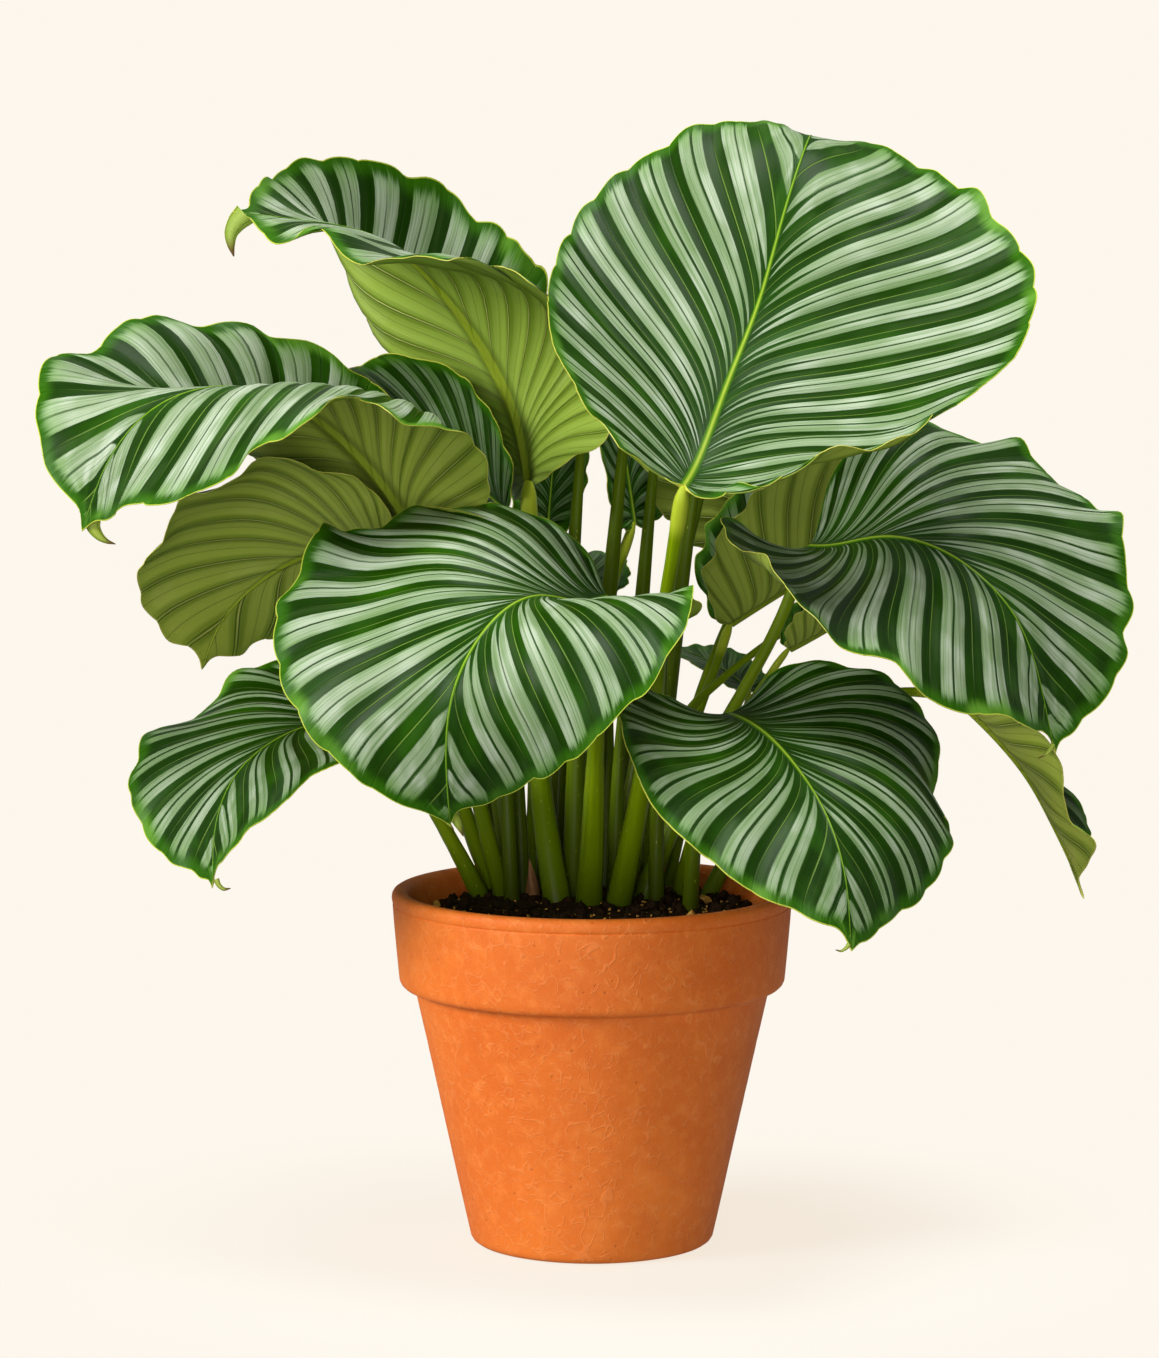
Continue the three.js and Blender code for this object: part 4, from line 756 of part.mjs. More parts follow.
    net: [
      66.6, 75.2, 254.3, 59.8, 80.8, 263.2, 52, 87.3, 270.5, 43.7, 94.3, 276.8, 34.9, 101.6, 281.8, 25.8, 109.2,
      285.5, 16.4, 117, 287.9, 6.8, 125, 289.2, -2.8, 133, 288.3, 74.2, 84.7, 254.2, 67.1, 90.7, 262.4, 59.4, 97,
      269.7, 51.2, 103.9, 275.8, 42.5, 111.2, 280.8, 33.4, 118.7, 284.5, 24.1, 126.5, 287, 14.6, 134.4, 288, 5.1,
      142.3, 287.9, 80.5, 95.3, 252.3, 73.6, 101.1, 260.4, 66.1, 107.3, 267.5, 58.1, 114, 273.5, 49.6, 121.1, 278.4,
      40.7, 128.5, 282, 31.6, 136.1, 284.4, 22.3, 143.8, 285.5, 13.1, 151.5, 285.2, 87.4, 105.4, 251.1, 80.6, 111.1,
      259.1, 73.2, 117.3, 266.1, 65.3, 123.9, 272, 56.9, 130.8, 276.8, 48.2, 138.1, 280.4, 39.2, 145.6, 282.7, 30.1,
      153.2, 283.8, 21, 160.8, 283.6, 93.4, 116.3, 248.8, 86.9, 121.7, 256.6, 79.7, 127.7, 263.4, 72, 134.1, 269.2,
      63.9, 140.9, 273.9, 55.4, 148, 277.3, 46.7, 155.2, 279.6, 37.8, 162.6, 280.6, 28.9, 170, 280.4, 103, 124.2,
      251.1, 96.2, 129.8, 259.1, 88.8, 136, 266.1, 80.9, 142.6, 272, 72.5, 149.6, 276.8, 63.8, 156.8, 280.4, 54.8,
      164.3, 282.7, 45.7, 171.9, 283.8, 36.6, 179.5, 283.6, 111.7, 132.8, 252.3, 104.8, 138.5, 260.4, 97.3, 144.8,
      267.5, 89.3, 151.5, 273.5, 80.8, 158.6, 278.4, 71.9, 165.9, 282, 62.8, 173.5, 284.4, 53.6, 181.2, 285.5, 44.3,
      189, 285.2, 121, 140.9, 254.2, 113.9, 146.8, 262.4, 106.2, 153.2, 269.7, 98, 160.1, 275.8, 89.3, 167.3, 280.8,
      80.2, 174.9, 284.5, 70.9, 182.7, 287, 61.4, 190.5, 288, 51.9, 198.4, 287.9, 129, 150.1, 254.3, 122.2, 155.7,
      263.2, 114.4, 162.2, 270.5, 106.1, 169.2, 276.8, 97.3, 176.5, 281.8, 88.2, 184.1, 285.5, 78.8, 191.9, 287.9,
      69.3, 199.9, 289.2, 59.6, 207.9, 288.3,
    ],
    right: [
      0, 0, 0.029, -0.018, 0.06, -0.032, 0.093, -0.042, 0.126, -0.026, 0.157, -0.02, 0.196, -0.032, 0.225, -0.011,
      0.25, 0.014, 0.276, 0.037, 0.294, 0.067, 0.33, 0.084, 0.357, 0.109, 0.355, 0.153, 0.371, 0.184, 0.394, 0.213,
      0.406, 0.248, 0.423, 0.282, 0.416, 0.32, 0.406, 0.357, 0.43, 0.393, 0.435, 0.43, 0.42, 0.467, 0.416, 0.503,
      0.402, 0.538, 0.402, 0.575, 0.41, 0.615, 0.38, 0.644, 0.356, 0.672, 0.351, 0.71, 0.334, 0.741, 0.319, 0.774,
      0.295, 0.801, 0.256, 0.813, 0.241, 0.847, 0.227, 0.882, 0.192, 0.895, 0.164, 0.914, 0.133, 0.929, 0.104,
      0.945, 0.084, 0.979, 0.049, 0.986, 0.016, 0.997, 0, 1.03,
    ],
    left: [
      0, 0, -0.028, -0.021, -0.061, -0.029, -0.094, -0.026, -0.127, -0.037, -0.16, -0.033, -0.195, -0.027, -0.225,
      -0.01, -0.242, 0.025, -0.276, 0.037, -0.313, 0.05, -0.325, 0.087, -0.342, 0.119, -0.358, 0.151, -0.373, 0.183,
      -0.405, 0.209, -0.411, 0.246, -0.399, 0.287, -0.416, 0.32, -0.426, 0.356, -0.428, 0.393, -0.432, 0.43, -0.411,
      0.466, -0.407, 0.502, -0.424, 0.542, -0.41, 0.577, -0.39, 0.609, -0.379, 0.643, -0.359, 0.674, -0.357, 0.713,
      -0.345, 0.748, -0.305, 0.764, -0.284, 0.792, -0.271, 0.826, -0.245, 0.85, -0.224, 0.879, -0.19, 0.892, -0.155,
      0.902, -0.14, 0.939, -0.114, 0.962, -0.077, 0.965, -0.046, 0.981, -0.017, 0.998, 0, 1.03,
    ],
    stalk: [
      46.6, 64, 165, 49.2, 68.7, 172.4, 51.8, 73.4, 179.8, 54.5, 78.2, 187.1, 57.1, 83.1, 194.4, 59.7, 88.2, 201.6,
      62.3, 93.6, 208.5, 65.2, 97.8, 216, 68.2, 101.3, 223.9, 71.1, 104.9, 231.8, 74.3, 110, 238.8, 77.4, 115,
      245.8, 80.4, 119.8, 252.9, 83.5, 124.6, 260.1,
    ],
  },
  {
    id: '18',
    length: 105.6,
    stalkRadius: 4.2,
    net: [
      -128.1, 5.4, 282.7, -133.9, 17.7, 308.1, -143.8, 39, 323.1, -155.2, 63.5, 329.2, -166.8, 88.4, 324.5, -176.9,
      110, 310.1, -183.9, 125, 287.9, -187.3, 132.1, 261.1, -184.6, 126.4, 233, -107.2, 14.7, 284.5, -113.9, 29,
      306.3, -123.3, 49.3, 321.5, -134.5, 73.2, 327.1, -145.8, 97.4, 322.7, -155.6, 118.4, 308.6, -162.5, 133.2,
      287, -165.5, 139.6, 260.9, -164.5, 137.5, 234.1, -88.5, 28.8, 282.2, -94.6, 41.7, 302.8, -103.4, 60.7, 316.9,
      -113.9, 83, 322.2, -124.4, 105.5, 318, -133.5, 125.1, 304.9, -139.9, 138.8, 284.8, -142.7, 144.8, 260.5,
      -141.6, 142.4, 235.5, -69, 41, 281, -74.8, 53.5, 300.5, -83.2, 71.5, 313.9, -93.2, 92.8, 319, -103.2, 114.2,
      315, -111.8, 132.8, 302.5, -117.9, 145.9, 283.4, -120.6, 151.6, 260.3, -119.6, 149.5, 236.5, -50.7, 55.8,
      278.4, -55.9, 67, 296.2, -63.5, 83.3, 308.3, -72.5, 102.6, 312.9, -81.5, 121.9, 309.3, -89.4, 138.8, 298,
      -94.9, 150.6, 280.7, -97.3, 155.8, 259.8, -96.4, 153.7, 238.3, -27.5, 60.3, 281, -33.4, 72.9, 300.5, -41.8,
      90.9, 313.9, -51.7, 112.1, 319, -61.7, 133.5, 315, -70.4, 152.1, 302.5, -76.5, 165.2, 283.4, -79.1, 170.9,
      260.3, -78.2, 168.9, 236.5, -5.6, 67.5, 282.2, -11.7, 80.4, 302.8, -20.5, 99.4, 316.9, -30.9, 121.7, 322.2,
      -41.4, 144.2, 318, -50.5, 163.8, 304.9, -57, 177.5, 284.8, -59.8, 183.5, 260.5, -58.6, 181.1, 235.5, 17.2,
      72.7, 284.5, 10.5, 87, 306.3, 1.1, 107.3, 321.5, -10.1, 131.3, 327.1, -21.4, 155.5, 322.7, -31.2, 176.4,
      308.6, -38.1, 191.2, 287, -41.1, 197.6, 260.9, -40.1, 195.6, 234.1, 37.7, 82.8, 282.7, 32, 95.1, 308.1, 22.1,
      116.4, 323.1, 10.6, 140.9, 329.2, -1, 165.8, 324.5, -11.1, 187.4, 310.1, -18.1, 202.4, 287.9, -21.4, 209.5,
      261.1, -18.7, 203.8, 233,
    ],
    right: [
      0, 0, 0.034, -0.019, 0.071, -0.031, 0.11, -0.026, 0.148, -0.031, 0.19, -0.047, 0.225, -0.022, 0.257, 0, 0.292,
      0.015, 0.321, 0.038, 0.36, 0.052, 0.385, 0.082, 0.39, 0.126, 0.419, 0.151, 0.449, 0.177, 0.46, 0.213, 0.476,
      0.247, 0.474, 0.286, 0.477, 0.322, 0.506, 0.355, 0.504, 0.393, 0.487, 0.43, 0.489, 0.466, 0.482, 0.503, 0.485,
      0.541, 0.485, 0.579, 0.451, 0.607, 0.434, 0.639, 0.434, 0.681, 0.413, 0.712, 0.392, 0.743, 0.364, 0.769,
      0.329, 0.787, 0.316, 0.827, 0.293, 0.86, 0.251, 0.868, 0.221, 0.89, 0.19, 0.912, 0.159, 0.933, 0.133, 0.965,
      0.091, 0.968, 0.051, 0.974, 0.022, 1, 0, 1.03,
    ],
    left: [
      0, 0, -0.036, -0.015, -0.071, -0.03, -0.109, -0.037, -0.148, -0.042, -0.187, -0.035, -0.219, -0.006, -0.259,
      -0.004, -0.301, 0, -0.324, 0.034, -0.35, 0.062, -0.374, 0.091, -0.396, 0.121, -0.434, 0.141, -0.448, 0.177,
      -0.445, 0.22, -0.468, 0.249, -0.485, 0.283, -0.492, 0.319, -0.501, 0.356, -0.485, 0.393, -0.483, 0.429,
      -0.505, 0.468, -0.493, 0.504, -0.476, 0.539, -0.468, 0.574, -0.451, 0.607, -0.451, 0.647, -0.441, 0.684,
      -0.401, 0.704, -0.381, 0.735, -0.368, 0.772, -0.341, 0.799, -0.318, 0.83, -0.282, 0.847, -0.245, 0.859,
      -0.227, 0.899, -0.198, 0.925, -0.158, 0.931, -0.125, 0.95, -0.089, 0.962, -0.055, 0.982, -0.024, 1.003, 0,
      1.03,
    ],
    stalk: [
      -16.4, 75, 165, -16.8, 75.5, 176.4, -17.4, 76, 187.8, -18.3, 76.4, 199.2, -19.8, 76.7, 210.5, -22, 76.9,
      221.7, -25, 76.8, 232.7, -29, 76.4, 243.4, -33.8, 75.6, 253.7, -40, 75.4, 263.3, -46.5, 75.4, 272.7, -52.3,
      75.4, 282.5, -56.8, 75.6, 293, -60.1, 75.9, 304,
    ],
  },
  {
    id: '19',
    length: 112.5,
    stalkRadius: 3.2,
    net: [
      52.5, 172.3, 324.8, 70.4, 182.8, 346.5, 93.9, 196.4, 357.5, 119, 211, 360.5, 143.7, 225.4, 354.3, 165.8,
      238.2, 340, 182.8, 248.1, 318.4, 194, 254.7, 292.2, 195, 255.2, 262.1, 65, 151.6, 326, 83.9, 162.6, 343.9,
      106.5, 175.8, 355.2, 131, 190, 358, 155.1, 204, 352, 176.5, 216.5, 338, 193.3, 226.2, 317.1, 203.8, 232.3,
      291.3, 207.6, 234.5, 263.3, 81.5, 133.2, 321.5, 98.9, 143.3, 338.7, 120, 155.6, 349.2, 142.9, 168.9, 351.7,
      165.4, 182, 346.2, 185.4, 193.6, 333.1, 201, 202.7, 313.6, 210.8, 208.4, 289.5, 213.9, 210.2, 263.2, 96.2,
      113.8, 319, 113, 123.5, 335.2, 133.1, 135.2, 345.2, 154.9, 147.9, 347.6, 176.3, 160.3, 342.4, 195.3, 171.4,
      329.8, 210.2, 180.1, 311.3, 219.5, 185.5, 288.4, 222.8, 187.4, 263.4, 113.5, 95.8, 313.8, 128.6, 104.6, 328.7,
      146.9, 115.2, 337.8, 166.7, 126.7, 340, 186.1, 138, 335.2, 203.4, 148.1, 323.8, 216.9, 155.9, 307, 225.4,
      160.9, 286.2, 228.1, 162.5, 263.5, 120.5, 71.9, 319, 137.3, 81.6, 335.2, 157.4, 93.3, 345.2, 179.2, 106,
      347.6, 200.6, 118.5, 342.4, 219.7, 129.5, 329.8, 234.6, 138.2, 311.3, 243.9, 143.6, 288.4, 247.1, 145.5,
      263.4, 130.1, 49.5, 321.5, 147.6, 59.6, 338.7, 168.7, 71.9, 349.2, 191.6, 85.2, 351.7, 214.1, 98.3, 346.2,
      234, 109.9, 333.1, 249.7, 119, 313.6, 259.5, 124.7, 289.5, 262.6, 126.5, 263.2, 138, 26, 326, 156.9, 37.1,
      343.9, 179.5, 50.2, 355.2, 204.1, 64.5, 358, 228.1, 78.5, 352, 249.6, 90.9, 338, 266.3, 100.7, 317.1, 276.8,
      106.7, 291.3, 280.6, 109, 263.3, 149.8, 4.9, 324.8, 167.8, 15.3, 346.5, 191.2, 29, 357.5, 216.3, 43.6, 360.5,
      241.1, 58, 354.3, 263.1, 70.8, 340, 280.2, 80.7, 318.4, 291.4, 87.2, 292.2, 292.3, 87.8, 262.1,
    ],
    right: [
      0, 0, 0.033, -0.018, 0.067, -0.033, 0.104, -0.04, 0.14, -0.021, 0.177, -0.026, 0.217, -0.032, 0.248, -0.008,
      0.279, 0.012, 0.304, 0.04, 0.329, 0.067, 0.37, 0.079, 0.39, 0.112, 0.393, 0.154, 0.418, 0.182, 0.436, 0.214,
      0.453, 0.247, 0.47, 0.281, 0.456, 0.321, 0.457, 0.357, 0.482, 0.393, 0.477, 0.43, 0.469, 0.467, 0.462, 0.503,
      0.446, 0.537, 0.454, 0.577, 0.452, 0.615, 0.417, 0.641, 0.401, 0.674, 0.39, 0.709, 0.37, 0.741, 0.357, 0.777,
      0.322, 0.797, 0.286, 0.812, 0.273, 0.852, 0.248, 0.88, 0.213, 0.894, 0.183, 0.915, 0.147, 0.925, 0.119, 0.949,
      0.093, 0.981, 0.052, 0.982, 0.018, 0.997, 0, 1.03,
    ],
    left: [
      0, 0, -0.031, -0.021, -0.068, -0.027, -0.104, -0.03, -0.141, -0.034, -0.177, -0.03, -0.218, -0.033, -0.248,
      -0.007, -0.27, 0.026, -0.31, 0.033, -0.342, 0.054, -0.362, 0.087, -0.385, 0.116, -0.393, 0.154, -0.416, 0.183,
      -0.451, 0.208, -0.451, 0.248, -0.449, 0.286, -0.463, 0.32, -0.467, 0.356, -0.481, 0.393, -0.48, 0.43, -0.454,
      0.465, -0.458, 0.502, -0.467, 0.542, -0.451, 0.576, -0.44, 0.611, -0.418, 0.642, -0.398, 0.672, -0.4, 0.716,
      -0.378, 0.746, -0.34, 0.764, -0.32, 0.795, -0.296, 0.822, -0.273, 0.851, -0.251, 0.883, -0.208, 0.888, -0.176,
      0.904, -0.156, 0.941, -0.123, 0.957, -0.088, 0.97, -0.052, 0.982, -0.018, 0.997, 0, 1.03,
    ],
    stalk: [
      26.6, 74, 165, 28.9, 76, 181.6, 31.1, 77.8, 198.1, 34.1, 79.5, 214.6, 39.1, 81.8, 230.5, 43.5, 81.6, 246.9,
      53, 80.1, 260.9, 65.5, 84.9, 271.7, 78.2, 90.2, 281.8, 91.4, 94.5, 291.2, 104.9, 98.7, 300.3, 117.9, 102.8,
      310.2, 129.3, 106.8, 322, 138.8, 110.5, 335.4,
    ],
  },
  {
    id: '20',
    length: 113.4,
    stalkRadius: 3.8,
    net: [
      -13.3, 144.4, 218, 2.6, 158.4, 239.1, 22.9, 176.3, 250, 44.6, 195.3, 253.4, 66.1, 214.3, 248.2, 85.7, 231.5,
      235.2, 101.5, 245.4, 215.1, 112.8, 255.4, 190.2, 116.1, 258.2, 160.7, 3.2, 126.4, 219.1, 19.9, 141.1, 236.5,
      39.5, 158.3, 247.7, 60.6, 177, 250.8, 81.6, 195.4, 245.8, 100.7, 212.2, 233.1, 116.2, 225.9, 213.7, 126.9,
      235.3, 189.1, 132.4, 240.1, 161.8, 23, 111.3, 214.4, 38.4, 124.9, 231.2, 56.8, 141.1, 241.6, 76.6, 158.5,
      244.5, 96.2, 175.8, 239.9, 114.1, 191.5, 227.9, 128.6, 204.3, 209.7, 138.7, 213.1, 186.8, 143.5, 217.3, 161,
      41.3, 94.9, 211.8, 56.1, 108, 227.6, 73.7, 123.4, 237.6, 92.6, 140.1, 240.4, 111.4, 156.6, 235.9, 128.4,
      171.6, 224.5, 142.3, 183.8, 207.2, 151.9, 192.3, 185.2, 156.7, 196.5, 160.7, 61.8, 80.5, 206.4, 75.3, 92.3,
      221.1, 91.3, 106.4, 230.1, 108.6, 121.6, 232.7, 125.7, 136.7, 228.6, 141.2, 150.4, 218.2, 153.9, 161.5, 202.4,
      162.7, 169.2, 182.3, 166.9, 172.9, 159.9, 73.6, 58.3, 211.8, 88.4, 71.4, 227.6, 105.9, 86.8, 237.6, 124.9,
      103.5, 240.4, 143.6, 120, 235.9, 160.7, 135, 224.5, 174.6, 147.2, 207.2, 184.1, 155.6, 185.2, 188.9, 159.8,
      160.7, 87.5, 38, 214.4, 102.9, 51.6, 231.2, 121.3, 67.8, 241.6, 141.1, 85.2, 244.5, 160.7, 102.5, 239.9,
      178.6, 118.2, 227.9, 193.1, 131, 209.7, 203.2, 139.8, 186.8, 207.9, 144.1, 161, 99.9, 16.5, 219.1, 116.6,
      31.2, 236.5, 136.2, 48.4, 247.7, 157.4, 67.1, 250.8, 178.3, 85.5, 245.8, 197.4, 102.3, 233.1, 212.9, 116,
      213.7, 223.6, 125.3, 189.1, 229.1, 130.2, 161.8, 115.7, -2.1, 218, 131.6, 11.9, 239.1, 151.9, 29.7, 250,
      173.5, 48.8, 253.4, 195, 67.7, 248.2, 214.6, 84.9, 235.2, 230.4, 98.8, 215.1, 241.8, 108.8, 190.2, 245, 111.7,
      160.7,
    ],
    right: [
      0, 0, 0.035, -0.017, 0.07, -0.035, 0.109, -0.039, 0.147, -0.02, 0.186, -0.029, 0.227, -0.03, 0.261, -0.008,
      0.295, 0.01, 0.318, 0.042, 0.346, 0.067, 0.389, 0.078, 0.407, 0.113, 0.415, 0.153, 0.439, 0.182, 0.455, 0.215,
      0.477, 0.246, 0.493, 0.281, 0.477, 0.322, 0.483, 0.357, 0.504, 0.393, 0.499, 0.43, 0.495, 0.467, 0.484, 0.503,
      0.467, 0.537, 0.479, 0.577, 0.472, 0.615, 0.438, 0.641, 0.424, 0.675, 0.407, 0.708, 0.389, 0.741, 0.375,
      0.778, 0.337, 0.795, 0.302, 0.812, 0.287, 0.853, 0.259, 0.878, 0.225, 0.896, 0.192, 0.916, 0.153, 0.923,
      0.126, 0.951, 0.097, 0.981, 0.054, 0.981, 0.02, 0.998, 0, 1.03,
    ],
    left: [
      0, 0, -0.035, -0.016, -0.071, -0.028, -0.109, -0.033, -0.148, -0.044, -0.188, -0.04, -0.219, -0.007, -0.257,
      -0.001, -0.298, 0.005, -0.326, 0.032, -0.355, 0.057, -0.373, 0.092, -0.392, 0.124, -0.433, 0.142, -0.45,
      0.176, -0.45, 0.217, -0.468, 0.25, -0.478, 0.285, -0.492, 0.319, -0.507, 0.355, -0.487, 0.393, -0.482, 0.429,
      -0.499, 0.467, -0.492, 0.504, -0.484, 0.54, -0.47, 0.575, -0.446, 0.605, -0.448, 0.646, -0.442, 0.685, -0.405,
      0.707, -0.383, 0.736, -0.363, 0.768, -0.339, 0.796, -0.322, 0.834, -0.285, 0.849, -0.244, 0.859, -0.225,
      0.895, -0.196, 0.921, -0.161, 0.936, -0.127, 0.954, -0.087, 0.958, -0.054, 0.979, -0.024, 1.003, 0, 1.03,
    ],
    stalk: [
      12.6, 75, 165, 15.2, 76.7, 172.7, 17.9, 78.5, 180.4, 20.9, 80.8, 187.8, 24.4, 83.6, 194.9, 29, 86.1, 201.3,
      35.1, 87.4, 206.8, 42.3, 88.8, 210.7, 50.4, 89.3, 212.8, 58.6, 89.3, 213.8, 66.8, 90.5, 214.6, 74.1, 94.1,
      216.4, 80, 97.4, 221.1, 84.2, 100.1, 227.8,
    ],
  },
  {
    id: '21',
    length: 138,
    stalkRadius: 4,
    net: [
      -92.7, -56.2, 246.8, -113.2, -38.2, 267.4, -137, -17.2, 278.6, -162, 4.7, 283.3, -187.1, 26.9, 280.5, -211.3,
      48.1, 270.8, -233.2, 67.4, 254.1, -252.2, 84.2, 232.1, -265.5, 95.9, 202.9, -73.7, -33.4, 247.1, -94.7, -14.9,
      264.3, -117.9, 5.5, 275.8, -142.4, 27.1, 280.2, -167.1, 48.8, 277.6, -190.7, 69.6, 267.9, -212.3, 88.6, 251.8,
      -230.7, 104.8, 229.7, -245.5, 117.8, 203.4, -57.8, -7.8, 240.7, -77.6, 9.6, 257.5, -99.7, 29, 268.4, -122.9,
      49.5, 272.6, -146.4, 70.1, 270.1, -168.9, 89.9, 260.9, -189.3, 108, 245.6, -206.9, 123.4, 224.7, -220.6,
      135.5, 199.3, -40.4, 16.5, 237.1, -59.6, 33.4, 253, -80.9, 52.1, 263.5, -103.4, 71.9, 267.6, -126.1, 91.8,
      265.2, -147.8, 110.9, 256.3, -167.6, 128.3, 241.5, -184.4, 143.2, 221.3, -197.9, 155.1, 197, -25.3, 42.7,
      229.6, -43.1, 58.4, 244.7, -63, 75.9, 254.5, -84, 94.4, 258.3, -105.1, 113, 256, -125.4, 130.8, 247.8, -143.9,
      147, 233.9, -159.6, 160.9, 215.1, -172.1, 171.9, 192.3, -1.2, 61, 237.1, -20.4, 78, 253, -41.7, 96.7, 263.5,
      -64.2, 116.5, 267.6, -86.8, 136.4, 265.2, -108.5, 155.5, 256.3, -128.3, 172.9, 241.5, -145.2, 187.8, 221.3,
      -158.7, 199.6, 197, 20.7, 81.3, 240.7, 0.9, 98.8, 257.5, -21.2, 118.2, 268.4, -44.5, 138.7, 272.6, -67.9,
      159.3, 270.1, -90.4, 179.1, 260.9, -110.9, 197.1, 245.6, -128.4, 212.5, 224.7, -142.2, 224.7, 199.3, 44.1,
      100.4, 247.1, 23, 118.9, 264.3, -0.2, 139.3, 275.8, -24.7, 160.9, 280.2, -49.4, 182.6, 277.6, -73, 203.4,
      267.9, -94.6, 222.4, 251.8, -113, 238.5, 229.7, -127.8, 251.6, 203.4, 64.2, 122.2, 246.8, 43.8, 140.2, 267.4,
      20, 161.1, 278.6, -5, 183.1, 283.3, -30.2, 205.2, 280.5, -54.3, 226.5, 270.8, -76.2, 245.8, 254.1, -95.3,
      262.5, 232.1, -108.6, 274.2, 202.9,
    ],
    right: [
      0, 0, 0.035, -0.016, 0.071, -0.029, 0.109, -0.036, 0.149, -0.047, 0.187, -0.031, 0.219, -0.005, 0.261, -0.009,
      0.298, 0.004, 0.324, 0.034, 0.353, 0.059, 0.37, 0.095, 0.399, 0.12, 0.437, 0.139, 0.443, 0.18, 0.448, 0.218,
      0.47, 0.249, 0.48, 0.284, 0.497, 0.318, 0.501, 0.356, 0.48, 0.393, 0.489, 0.43, 0.503, 0.468, 0.49, 0.504,
      0.481, 0.54, 0.465, 0.573, 0.45, 0.606, 0.457, 0.65, 0.437, 0.682, 0.4, 0.703, 0.385, 0.738, 0.364, 0.769,
      0.342, 0.8, 0.321, 0.833, 0.278, 0.842, 0.247, 0.862, 0.229, 0.902, 0.195, 0.92, 0.16, 0.935, 0.125, 0.95,
      0.087, 0.958, 0.056, 0.985, 0.024, 1.003, 0, 1.03,
    ],
    left: [
      0, 0, -0.033, -0.021, -0.071, -0.028, -0.109, -0.033, -0.148, -0.03, -0.186, -0.027, -0.229, -0.035, -0.261,
      -0.009, -0.285, 0.025, -0.324, 0.035, -0.355, 0.057, -0.382, 0.085, -0.407, 0.114, -0.412, 0.155, -0.435,
      0.184, -0.472, 0.208, -0.474, 0.247, -0.476, 0.285, -0.485, 0.32, -0.486, 0.357, -0.505, 0.393, -0.506, 0.43,
      -0.479, 0.465, -0.481, 0.502, -0.486, 0.541, -0.474, 0.576, -0.467, 0.613, -0.439, 0.642, -0.416, 0.671,
      -0.418, 0.715, -0.396, 0.746, -0.361, 0.766, -0.337, 0.795, -0.308, 0.818, -0.286, 0.851, -0.264, 0.885,
      -0.22, 0.889, -0.185, 0.904, -0.162, 0.938, -0.127, 0.955, -0.093, 0.973, -0.055, 0.983, -0.019, 0.996, 0,
      1.03,
    ],
    stalk: [
      -29.4, 72, 165, -30.2, 73.7, 172, -31.2, 75.5, 178.9, -32.7, 77.4, 185.7, -34.8, 78.8, 192.5, -37.3, 78.8,
      199.2, -38.6, 76.5, 205.9, -39, 74.3, 212.7, -40.7, 72.7, 219.5, -43.5, 71.5, 226.1, -46.8, 70.6, 232.5,
      -49.9, 70.3, 239, -52.6, 69.8, 245.7, -54.5, 68.5, 252.5,
    ],
  },
];

